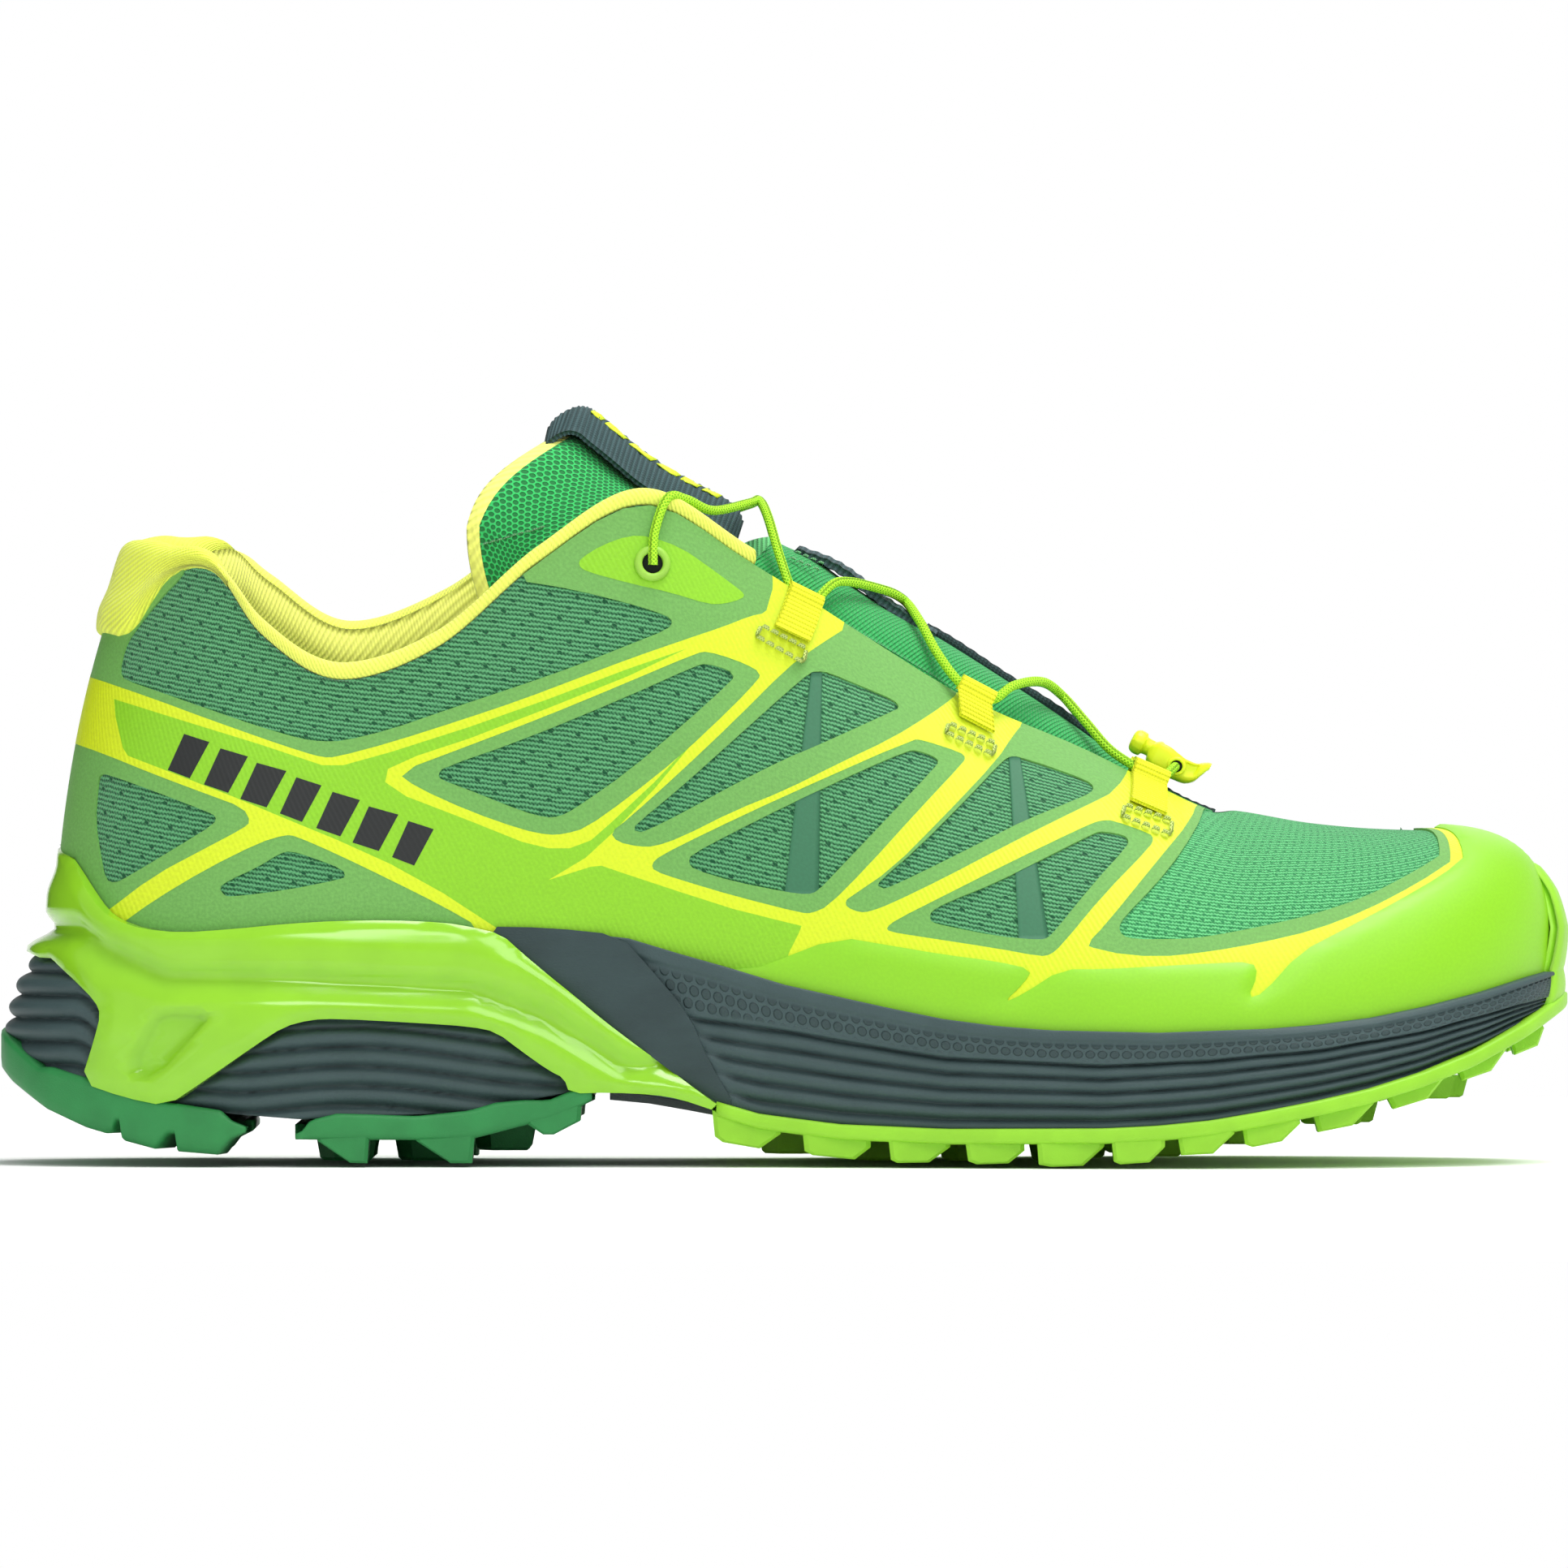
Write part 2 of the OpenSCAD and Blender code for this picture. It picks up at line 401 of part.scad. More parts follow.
module heel_counter() {
  vs = [.06, .2, .35, .5];
  cols = concat([for (k = [4.4, 4, 3.5, 3, 2.5, 2, 1.6, 1.2, .8, .4]) [-1, k]], [[-1, 0]],
    [for (k = [.4, .8, 1.2, 1.6, 2, 2.5, 3, 3.5, 4, 4.4]) [1, k]]);
  color([.8, .8, .8])
    sheet([for (q = cols) [for (v = vs) off(q[0], q[1], v, -knit_t - 1.3)]],
      [for (q = cols) [for (v = vs) off(q[0], q[1], v, -knit_t - .12)]]);
}
// U of columns round the toe from station a outer to station a inner
function toe_cols(a) = concat([for (k = span(a, 19, ceil((19 - a) / .8))) [-1, k]],
  [for (k = span(19, a, ceil((19 - a) / .8))) if (k < 18.99) [1, k]]);
module toe_puff() {
  cols = toe_cols(15.5);
  vs = [.06, .2, .35, .5, .62];
  color([.85, .85, .8])
    sheet([for (q = cols) [for (v = vs) off(q[0], q[1], v, -knit_t - .1)]],
      [for (q = cols) [for (v = vs) off(q[0], q[1], v, -knit_t - .9)]]);
}
module vamp() {
  cols = toe_cols(14.02);
  vs = [0, .15, .3, .42, .54, .66, .77, .88];
  n = len(cols);
  m = len(vs);
  h = (n - 1) / 2;
  a = [for (q = cols) [for (v = vs) off(q[0], q[1], v, 0)]];
  b = [for (q = cols) [for (v = vs) off(q[0], q[1], v, -knit_t)]];
  ra = [for (i = [0:h]) pt(-1, cols[i][1], 1)];
  rb = [for (i = [0:h]) pt(-1, cols[i][1], 1) - [0, 0, knit_t]];
  s = n * m;
  e = 2 * s;
  f = [for (i = [0:n - 2], j = [0:m - 2]) each
    [[i * m + j, i * m + j + 1, (i + 1) * m + j],
     [i * m + j + 1, (i + 1) * m + j + 1, (i + 1) * m + j]]];
  r = [for (i = [0:n - 2]) let (p = i * m + m - 1, q = p + m)
    let (u = e + min(i, n - 1 - i), w = e + min(i + 1, n - 2 - i)) each
    [[p, u, q], if (u != w) [u, w, q]]];
  fr = concat(f, r);
  gr = [for (q = fr) [for (c = [q[0], q[2], q[1]]) c >= e ? c + h + 1 : c + s]];
  low = [for (i = [0:n - 2]) each [[i * m, (i + 1) * m, s + i * m],
    [(i + 1) * m, s + (i + 1) * m, s + i * m]]];
  bk = [for (j = [0:m - 2]) each [[j, s + j, j + 1], [j + 1, s + j, s + j + 1]]];
  z = (n - 1) * m;
  bm = [for (j = [0:m - 2]) each [[z + j, z + j + 1, z + s + j], [z + j + 1, z + s + j + 1, z + s + j]]];
  c1 = [[m - 1, s + m - 1, e], [e, s + m - 1, e + h + 1]];
  c2 = [[z + m - 1, e, z + s + m - 1], [e, e + h + 1, z + s + m - 1]];
  color([.1, .45, .16])
    polyhedron(points = concat(flat2(a), flat2(b), ra, rb), faces = concat(fr, gr, low, bk, bm, c1, c2),
      convexity = 8);
}
rand_z = [[-5, 37.5], [0, 40], [10, 42.8], [20, 41.5], [30, 39.8], [40, 38.5], [52, 37.2],
  [60, 37], [70, 37.5], [80, 38], [88, 38.3], [97, 40], [105, 44], [115, 49], [125, 54.5],
  [130, 57.5], [140, 60], [150, 61]];
band_z = [[57, 40], [60, 40.3], [70, 40.4], [80, 41.3], [90, 43], [100, 45.6], [110, 49.6],
  [120, 54.8], [127, 58.5], [133, 61], [150, 63]];
low_z = [for (q = feather_z) [q[0], q[1] + .5]];
function strip_cols(cols, lo, hi, o, n) = [for (q = cols)
  let (a = v_at(q[0], q[1], lo), b = v_at(q[0], q[1], hi))
  [for (i = [0:n]) off(q[0], q[1], a + (b - a) * i / n, o)]];
module rand() {
  cols = toe_cols(8.9);
  color([.33, .73, .03])
    sheet(strip_cols(cols, low_z, rand_z, .35 + rand_t, 3),
      strip_cols(cols, low_z, rand_z, .35, 3));
}
module toe_band() {
  cols = toe_cols(12.6);
  rz = [for (q = rand_z) [q[0], q[1] + .4]];
  color([.84, .95, .12])
    sheet(strip_cols(cols, rz, band_z, .35 + film_t, 1), strip_cols(cols, rz, band_z, .35, 1));
}
module toe_bumper() {
  cols = toe_cols(16.6);
  lo = [[100, 27], [120, 28.5], [140, 30.5], [150, 31.5]];
  hi = [[100, 28], [120, 33], [128, 37], [134, 43], [140, 51], [144, 55.5], [150, 57]];
  color([.28, .55, .05])
    sheet([for (q = cols) let (b = v_at(q[0], q[1], hi)) [for (w = [0, .3, .65, 1])
      off(q[0], q[1], max(.02, b * (.14 + .86 * w)), .35 + rand_t + .25 + (w == 1 ? .6 : 1.9))]],
      [for (q = cols) let (b = v_at(q[0], q[1], hi)) [for (w = [0, .3, .65, 1])
      off(q[0], q[1], max(.02, b * (.14 + .86 * w)), .35 + rand_t + .25)]]);
}
// ribbon on the upper between two side-view lines of equal count
module ribbon(sd, a, b, o, t, n = 1) {
  sheet2(-sd, [for (i = [0:len(a) - 1]) [for (j = [0:n]) let (p = a[i] + (b[i] - a[i]) * j / n)
    on(sd, p[0], p[1], o + t)]],
    [for (i = [0:len(a) - 1]) [for (j = [0:n]) let (p = a[i] + (b[i] - a[i]) * j / n)
    on(sd, p[0], p[1], o)]]);
}
// closed frame of even width round a window
module ring_frame(sd, w, d, o, t) {
  n = len(w);
  c = [for (i = [0:1]) [for (p = w) p[i]] * [for (p = w) 1] / n];
  out = [for (i = [0:n - 1])
    let (e = unit(w[(i + 1) % n] - w[(i + n - 1) % n]))
    w[i] + d * [e[1], -e[0]]];
  q = [for (i = [0:n - 1])
    [on(sd, w[i][0], w[i][1], o + t), on(sd, out[i][0], out[i][1], o + t),
     on(sd, out[i][0], out[i][1], o), on(sd, w[i][0], w[i][1], o)]];
  f = [for (i = [0:n - 1], j = [0:3]) let (a = i * 4 + j, b = ((i + 1) % n) * 4 + j)
    let (c1 = ((i + 1) % n) * 4 + (j + 1) % 4, d1 = i * 4 + (j + 1) % 4) each
    (sd < 0 ? [[a, d1, b], [b, d1, c1]] : [[a, b, d1], [b, c1, d1]])];
  polyhedron(points = flat2(q), faces = f, convexity = 8);
}
w_a = [[-125, 92], [-110, 87], [-92, 81.2], [-75, 83], [-60, 87.8], [-40, 95], [-24.5, 101.8],
  [-30, 106], [-44, 109.6], [-54, 107.5], [-66, 96.5], [-80, 90.6], [-92, 91.8], [-99, 97.5],
  [-106, 108], [-113, 110.5], [-121, 102]];
w_b = [[-129, 73], [-118, 69.4], [-109, 65.5], [-118, 59.5], [-128, 54.2], [-130.3, 62]];
w_c = [[-106.5, 52], [-95, 52.3], [-84.5, 55], [-94, 59], [-101, 56]];
w_d = [[-65.5, 74], [-50, 80.5], [-30, 88.8], [-16, 94.6], [-10.5, 92.5], [-20, 83], [-31, 73.7],
  [-42, 66.3], [-48, 67.2], [-58, 71]];
w_e = [[-28.5, 63.7], [-20, 66.5], [-10, 72], [4, 78.6], [20.8, 86.5], [14, 90.6], [5, 93],
  [-1, 88.6], [-11, 79.6], [-21, 70.6]];
w_f = [[-18, 57], [-8, 53.4], [4.5, 51.6], [10, 56.5], [19, 65.6], [28.5, 76], [23, 77.8],
  [12, 73.6], [0, 67.8], [-11, 62]];
w_g = [[17.8, 53], [30, 57.5], [44, 64.6], [58, 71], [50, 75], [43, 76.8], [34, 69], [25, 60]];
w_h = [[27.8, 46.8], [38, 43.9], [48.5, 43], [56, 51], [64.5, 61], [59, 62.4], [48, 57.5], [36, 51.7]];
wins = [w_a, w_b, w_c, w_d, w_e, w_f, w_g, w_h];
lo_o = .4;
module film(sd) {
  color([.25, .55, .14])
    for (w = wins)
      ring_frame(sd, w, 2.6, lo_o, film_t);
}
module film_lateral() {
  film(-1);
}
module film_medial() {
  film(1);
}
// straps: heel band and the arms that rise from the rand to the throat
heel_lo = [[-135.5, 80], [-126, 76.6], [-114, 72], [-103.5, 67.2], [-92, 68], [-80, 73.2],
  [-66, 79], [-50, 85], [-36, 90.6], [-22, 97], [-12, 100]];
heel_hi = [[-132.6, 90], [-124, 87.6], [-112, 83.4], [-100, 79.2], [-90, 76], [-78, 77.2],
  [-64, 81.6], [-50, 86.3], [-36, 92], [-22, 98.2], [-12, 101.6]];
module straps(sd) {
  color([.78, .9, .1]) {
    ribbon(sd, heel_lo, heel_hi, lo_o, film_t, 2);
    ribbon(sd, [[-41, 55.8], [-32, 60], [-21.5, 69.4], [-11.5, 78.8], [-1, 88.8], [8, 97.6]],
      [[-44, 56.5], [-34, 62], [-24, 71], [-14, 80.5], [-4, 90.4], [3.5, 98]], lo_o, film_t);
    ribbon(sd, [[-29, 57], [-19, 60.6], [-5, 67.2], [7, 73], [18, 78.6], [27, 82.2]],
      [[-30, 59.4], [-20, 63], [-6, 69.4], [6, 76], [18, 81.2], [25, 84]], lo_o, film_t);
    ribbon(sd, [[9.6, 45.8], [14.4, 51.2], [24, 60.6], [35, 71.6], [42, 78.6]],
      [[6.6, 46.4], [12, 52], [22, 61.6], [33, 72.6], [39, 79]], lo_o, film_t);
    ribbon(sd, [[17.5, 45.4], [27, 49.2], [39, 55.6], [51, 62.4], [63, 67]],
      [[16.5, 46.6], [26, 50.8], [38, 57.6], [50, 63.6], [62, 68.6]], lo_o, film_t);
    ribbon(sd, [[56.5, 41.2], [66, 51.5], [74, 61], [77, 66]],
      [[52.5, 41.2], [60, 50.5], [68, 61], [72, 67]], lo_o, film_t);
    ribbon(sd, [[-6, 108], [4, 102.6], [14, 98], [28, 89.4], [44, 80.6], [58, 74]],
      [[-5, 112.6], [6, 104.6], [16, 99.8], [30, 91.2], [45, 83], [59, 76]], lo_o, film_t);
  }
}
module straps_lateral() {
  straps(-1);
}
module straps_medial() {
  straps(1);
}
module side_panel(sd) {
  color([.4, .75, .03]) {
    ribbon(sd, [[-88, 60.5], [-80, 57], [-70, 52.4], [-62, 49], [-54, 46.5], [-44, 46], [-32, 46.6],
      [-22, 45], [-12, 42], [-3, 39.4]],
      [[-84, 65], [-76, 68], [-68, 68.8], [-62, 65.6], [-55, 62], [-46, 56], [-34, 54.6],
      [-22, 51], [-12, 47.4], [-2, 45]], lo_o, film_t, 2);
    ribbon(sd, [[-125, 48.6], [-118, 47.6], [-108, 46.6]], [[-123.5, 51], [-117, 52.2], [-109, 50]],
      lo_o, film_t);
  }
}
module side_panel_lateral() {
  side_panel(-1);
}
module side_panel_medial() {
  side_panel(1);
}
module support_strips() {
  color([.2, .45, .12])
    for (sd = [-1, 1]) {
      ribbon(sd, [[1, 56], [2.2, 62], [3, 67]], [[5.4, 56], [6, 62], [6.2, 69]], .02, .3);
      ribbon(sd, [[43.9, 46], [43.9, 50], [43.8, 54]], [[49, 46], [48.4, 50], [47.8, 56]], .02, .3);
    }
}
// padded edge: a small oval section swept along the top line
module piping(sd) {
  ks = span(3.2, 9, 20);
  color([.82, .92, .17])
    rope([for (k = ks) let (c = pt(sd, k, 1), n = nrm(sd, k, 1), u = [0, 0, 1])
      [for (a = [0:7]) c + n * (-1.5 + 2.2 * cos(a * 45))
        + u * (1.9 + 1.4 * (sd < 0 ? 1 : -1) * sin(a * 45))]]);
}
module piping_lateral() {
  piping(-1);
}
module piping_medial() {
  piping(1);
}
module heel_tab() {
  cols = concat([for (k = [3, 2.6, 2.2, 1.8, 1.4, 1, .7, .35]) [-1, k]], [[-1, 0]],
    [for (k = [.35, .7, 1, 1.4, 1.8, 2.2, 2.6, 3]) [1, k]]);
  color([.62, .8, .12])
    rope([for (q = cols) let (c = pt(q[0], q[1], 1), n = nrm(q[0], q[1], 1), a = off(q[0], q[1], .86, 0))
      let (h = 6.2 * (1 - pow(q[1] / 3.4, 3)) + .6, lo = q[1] > 2 ? .9 : .86)
      [off(q[0], q[1], lo, .4), off(q[0], q[1], .93, .4), c + n * .4 + [0, 0, h * .3],
       c - n * .5 + [0, 0, h * .8], c - n * 3.6 + [0, 0, h], c - n * 7 + [0, 0, h * .75],
       c - n * 8.8 + [0, 0, h * .1], c - n * 7 + [0, 0, -.2 + h * .02], c - n * 3 + [0, 0, .9],
       c + n * .15 + [0, 0, .5], off(q[0], q[1], .94, .12), off(q[0], q[1], lo, .12)]]);
}

// ---------- tongue ----------
TC = [[84, 64], [70, 70.6], [50, 84.4], [28, 98.5], [10, 108.5], [-8, 117], [-22, 125], [-32, 132],
  [-42, 140.5]];
TE = [[80, 6, 60], [66, 13, 62], [44, 17, 73.6], [21, 20.4, 88], [3, 22.4, 98], [-18, 23.6, 106],
  [-37, 23.2, 112], [-50, 22, 117], [-59, 20.5, 122]];
function tongue_pt(a, b, o) =
  let (m = cr(TC, a), e = cr(TE, a), s = sin(80 * b) / sin(80), d = (1 - cos(80 * b)) / (1 - cos(80)))
  let (c = mid_y(m[0]))
  let (t = unit([m[0] - e[0] + 6, 0, m[1] - e[2] + 4]))
  [m[0] + (e[0] - m[0]) * d, c + e[1] * s, m[1] + (e[2] - m[1]) * d]
    - o * unit([t[0] * (1 - abs(b) * .4), b * .9, t[2] * (1 - abs(b) * .4)]);
ta = [.25, .7, 1.4, 2.2, 3, 4, 4.7, 5.4, 6.1, 6.8, 7.4, 8];
tb = [-1, -.75, -.5, -.25, 0, .25, .5, .75, 1];
function tongue_grid(o, a1 = 8, e = 1) = [for (a = ta) [for (b = tb) tongue_pt(min(a, a1), b * e, o)]];
function tongue_depth(a, b) = (a < 3 ? 1.6 + a * .6 : 3.4 + (a - 3) * .55) * (1 - .55 * b * b);
module tongue_pad() {
  color([.8, .85, .5])
    sheet([for (a = ta) [for (b = tb) tongue_pt(a, b * .97, 1.2 + tongue_depth(a, b))]],
      [for (a = ta) [for (b = tb) tongue_pt(a, b * .97, 1.2)]]);
}
module tongue_face() {
  color([.03, .43, .09])
    sheet(tongue_grid(1), tongue_grid(0));
}
module tongue_lining() {
  color([.85, .93, .2])
    sheet([for (a = ta) [for (b = tb) tongue_pt(a, b, 2.1 + tongue_depth(a, b))]],
      [for (a = ta) [for (b = tb) tongue_pt(a, b, 1.4 + tongue_depth(a, b))]]);
}
module tongue_strap() {
  as = [5.4, 6.1, 6.8, 7.4, 8];
  bs = [-.38, -.25, 0, .25, .38];
  color([.06, .11, .11])
    sheet([for (a = as) [for (b = bs) tongue_pt(a, b, -.25)]],
      [for (a = as) [for (b = bs) tongue_pt(a, b, -4.4)]]);
}
module lace_pocket() {
  as = [.7, 1.4, 2.2, 3, 4, 4.7];
  bs = [-.45, -.25, 0, .25, .45];
  color([.04, .38, .12])
    sheet([for (a = as) [for (b = bs) tongue_pt(a, b, -.25)]],
      [for (a = as) [for (b = bs) tongue_pt(a, b, -1.7 - (a > 3.5 ? (a - 3.5) * 1.4 : 0))]]);
}

// ---------- lacing ----------
module eyelet(sd) {
  q = find(sd, -25.5, 114);
  c = pt(sd, q[0], q[1]);
  n = nrm(sd, q[0], q[1]);
  color([.37, .64, .07])
    translate(c)
      rotate([0, acos(n[2]), atan2(n[1], n[0])])
        translate([0, 0, .4])
          rotate_extrude($fn = 32)
            polygon([[2, 0], [eyelet_d / 2, 0], [eyelet_d / 2, .4], [eyelet_d / 2 - .5, .9],
              [2.4, .9], [2, .5]]);
}
module eyelet_lateral() {
  eyelet(-1);
}
module eyelet_medial() {
  eyelet(1);
}
// webbing loop at the throat edge near station k
module loop_at(sd, x, z) {
  q = find(sd, x, z);
  k = q[0];
  w = .17;
  c = pt(sd, k, 1);
  n = nrm(sd, k, .97);
  path = [[.93, .95], [.97, 1.05], [1, 1.15]];
  color([.75, .83, .05])
    sheet([for (j = [-1, 0, 1]) loop_row(sd, k + j * w, 0)],
          [for (j = [-1, 0, 1]) loop_row(sd, k + j * w, .8)]);
}
function loop_row(sd, k, t) =
  let (a = off(sd, k, .9, 1.2 + (t > 0 ? t : 0)), b = off(sd, k, .97, 1.2 + t), c = pt(sd, k, 1))
  let (i = unit([0, -sd, .25]))
  sd < 0 ? [a, b, c + i * (1.5 + t * .3) + [0, 0, 1.9 + t], c + i * (3.6 + t) + [0, 0, .9 + t * .4]]
    : [for (p = [c + i * (3.6 + t) + [0, 0, .9 + t * .4],
               c + i * (1.5 + t * .3) + [0, 0, 1.9 + t], b, a]) p];
module loop_1_lateral() {
  loop_at(-1, 2, 103);
}
module loop_1_medial() {
  loop_at(1, 2, 103);
}
module loop_2_lateral() {
  loop_at(-1, 36, 86);
}
module loop_2_medial() {
  loop_at(1, 36, 86);
}
module loop_3_lateral() {
  loop_at(-1, 69, 70.5);
}
module loop_3_medial() {
  loop_at(1, 69, 70.5);
}
module loop_stitching() {
  color([.45, .8, .5])
    for (sd = [-1, 1], p = [[.5, 99.4], [35, 81], [68.5, 65.4]], j = [-1, 1]) {
      c = on(sd, p[0] + j * 2.6, p[1] - j * 1.3, 1.5);
      translate(c)
        rotate([0, 28, 0])
          cube([3.4, 1, .8], center = true);
    }
}
// lace route on the outer side; the inner side mirrors it, the middle runs through the lock
LR = [[-25.3, -30.2, 113.8], [-25, -29.6, 120], [-22.5, -27.4, 126.6], [-19, -23.5, 126.4],
  [-14, -17, 124.4], [-7, -6, 126], [-5.2, 2.1, 126.6], [-3.5, 11, 123.5], [-1, 19.2, 115],
  [1.5, 23.2, 108.6], [5, 22.2, 106.9], [10, 17, 110.8], [18, 8, 109.6], [22.5, 2.6, 107.6],
  [25.5, -7, 103.5], [29, -13.6, 97], [33.5, -18, 91.2], [39, -17.6, 88.3], [43.5, -13, 91],
  [49, -5, 91.8], [53, 2.8, 89.2], [57.5, 9.4, 84], [62, 13, 78.8], [67.4, 16.4, 75.2],
  [71.5, 15.6, 73.4], [74.4, 10.6, 75.4], [74.8, 3.3, 75.6]];
function lace_pt(t) = t <= 26 ? cr(LR, t) :
  let (p = cr(LR, 52 - t))
  [p[0], 2 * mid_y(p[0]) - p[1], p[2]];
module lace() {
  ts = [for (i = [0:78]) i * 52 / 78];
  r = lace_d / 2;
  color([.4, .75, .06])
    rope([for (i = [0:78]) let (c = lace_pt(ts[i]),
          d = unit(lace_pt(min(52, ts[i] + .3)) - lace_pt(max(0, ts[i] - .3))))
      let (u = unit(cross(d, [0, 0, 1])), w = cross(u, d))
      [for (a = [0:7]) c + r * (cos(-a * 45) * u + sin(-a * 45) * w)]]);
}
module lace_knots() {
  color([.4, .75, .06])
    for (sd = [-1, 1]) {
      p = on(sd, -25.4, 113.9, -3.6);
      translate(p)
        sphere(d = lace_d * 1.9, $fn = 16);
    }
}
// lock frame: origin at its lace hole, nose down along the vamp
module at_lock() {
  translate([74.8, 3.3, 75.6])
    rotate([0, 27, 0])
      children();
}
module lock_body() {
  color([.8, .88, .06])
    at_lock()
      difference() {
        union() {
          hull() {
            translate([-5.3, 0, .9])
              cube([.4, 9, 5], center = true);
            translate([-2, 0, .7])
              cube([1, 12, 6.2], center = true);
          }
          hull() {
            translate([-2, 0, .7])
              cube([1, 12, 6.2], center = true);
            translate([2.5, 0, .2])
              cube([1, 11, 5.4], center = true);
          }
          hull() {
            translate([2.5, 0, .2])
              cube([1, 11, 5.4], center = true);
            translate([5.3, 0, 2.4])
              cube([.6, 12.4, 2.4], center = true);
          }
        }
        rotate([90, 0, 0])
          cylinder(d = lace_d + .9, h = 40, center = true);
        translate([-8, 0, .9])
          rotate([0, 90, 0])
            cylinder(d = 3.8, h = 6.3, $fn = 32);
      }
}
module lock_button() {
  color([.7, .8, .04])
    at_lock()
      translate([-3.9, 0, .9])
        rotate([0, -90, 0])
          rotate_extrude($fn = 32)
            polygon([[0, 0], [1.65, 0], [1.65, 1.8 + button_travel], [2.3, 2 + button_travel],
              [2.3, 3.4 + button_travel], [1.7, 4.2 + button_travel], [0, 4.5 + button_travel]]);
}
module lock_spring() {
  color([.7, .7, .7])
    at_lock()
      translate([-2.05, 0, .9])
        rotate([0, 90, 0])
          rotate_extrude($fn = 24)
            translate([1.35, 0])
              circle(d = .3, $fn = 8);
}

outsole_heel_rear();
outsole_heel_front();
outsole_forefoot();
toe_bumper();
midsole_heel();
midsole_forefoot();
heel_frame();
shank();
strobel_board();
insole();
heel_counter();
toe_puff();
vamp();
quarter_lateral();
quarter_medial();
rand();
toe_band();
straps_lateral();
straps_medial();
film_lateral();
film_medial();
side_panel_lateral();
side_panel_medial();
support_strips();
collar_foam_lateral();
collar_foam_medial();
lining_lateral();
lining_medial();
piping_lateral();
piping_medial();
heel_tab();
tongue_pad();
tongue_face();
tongue_lining();
tongue_strap();
lace_pocket();
eyelet_lateral();
eyelet_medial();
loop_1_lateral();
loop_1_medial();
loop_2_lateral();
loop_2_medial();
loop_3_lateral();
loop_3_medial();
loop_stitching();
lace();
lace_knots();
lock_body();
lock_button();
lock_spring();
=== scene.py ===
"""A right trail running shoe, dressed over its CAD frame.

Lengths inside are millimetres, turned into metres when a mesh is made.
"""

import math

import bmesh
import bpy
import numpy as np
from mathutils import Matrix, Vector, geometry


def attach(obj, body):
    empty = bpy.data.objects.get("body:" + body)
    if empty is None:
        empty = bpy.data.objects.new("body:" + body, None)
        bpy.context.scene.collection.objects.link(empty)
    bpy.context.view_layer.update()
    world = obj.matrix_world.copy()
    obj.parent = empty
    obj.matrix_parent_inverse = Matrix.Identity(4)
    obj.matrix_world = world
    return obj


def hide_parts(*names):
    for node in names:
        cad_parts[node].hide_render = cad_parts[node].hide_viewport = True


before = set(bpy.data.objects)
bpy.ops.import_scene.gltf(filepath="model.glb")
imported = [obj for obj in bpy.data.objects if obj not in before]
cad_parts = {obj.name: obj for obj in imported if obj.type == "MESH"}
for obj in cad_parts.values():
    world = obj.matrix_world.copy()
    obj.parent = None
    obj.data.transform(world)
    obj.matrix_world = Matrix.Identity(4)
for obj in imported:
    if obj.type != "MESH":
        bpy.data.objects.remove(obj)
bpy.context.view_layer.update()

TOE = 19  # the foremost station; one side runs from 0 at the heel to here
ROUND = 2 * TOE  # u runs on from the toe down the inner side to the heel again
SIDES = ((-1, "lateral"), (1, "medial"))
UP = np.array([0, 0, 1.])

# ---------------------------------------------------------------- the upper's surface
# the upper's stations from heel to toe: foot line x, outer y, inner y, z, top line x, half gap, outer z,
# inner z, then how far each section bows out and up at both its ends
ST = np.array([
    [-140.2, 0, 0, 30, -127, 0, 112, 112, .3, 28, 9.3, 24],
    [-138.4, -12.5, 11.8, 29.6, -125.7, 9.5, 112.6, 113.2, .4, 28, 8.8, 24],
    [-130, -25, 23.6, 29, -119.3, 17.8, 113.2, 114.8, 1, 28, 7.2, 24],
    [-115, -32.5, 31, 28, -109, 24.5, 112.8, 116.4, 1.5, 27, 5, 24],
    [-100, -35.3, 34, 27.5, -99.5, 28, 100.3, 109.3, 2, 25, 4, 22],
    [-83, -36, 33.5, 27, -85, 30.5, 92, 100.5, 2.5, 22, 3, 20],
    [-64, -35.3, 31.5, 27, -66, 31.5, 98.2, 106.6, 3, 22, 3, 22],
    [-45, -35.3, 30, 27, -47, 30.5, 114.2, 120, 3.5, 25, 4, 26],
    [-24, -36, 30.5, 26.5, -27, 27.5, 125.2, 126, 3.5, 25, 6, 30],
    [-2, -38, 33.5, 24.5, -7, 23.5, 114.3, 114.5, 3.5, 24, 9, 26],
    [20, -42, 37.5, 22, 14, 20, 100.8, 101, 4, 22, 13, 18],
    [42, -46, 42.5, 20, 35, 17.5, 88, 88.2, 4, 21, 16, 12],
    [63, -48.8, 46, 19.2, 57, 14.5, 78.5, 78.7, 4, 21, 18, 7],
    [82, -48.3, 46.5, 19.5, 79, 9.5, 67.6, 67.8, 4, 22, 22, 3],
    [93, -46.3, 45.3, 20.2, 87, 0, 67, 67, 4, 24, 26, 0],
    [110, -40.6, 41.8, 22.3, 98, 0, 65, 65, 4, 26, 24, -.4],
    [125.5, -32.5, 35.4, 25.6, 106, 0, 64, 64, 4, 28, 21, -.5],
    [137, -21.5, 27.5, 29.5, 112, 0, 63.5, 63.5, 3.8, 29, 19, -.6],
    [143.8, -9, 16.8, 32, 116, 0, 63.3, 63.3, 3.6, 29, 18.5, -.6],
    [145.7, 4, 4, 33, 118, 0, 63.2, 63.2, 3.5, 28.5, 18.5, -.6]])
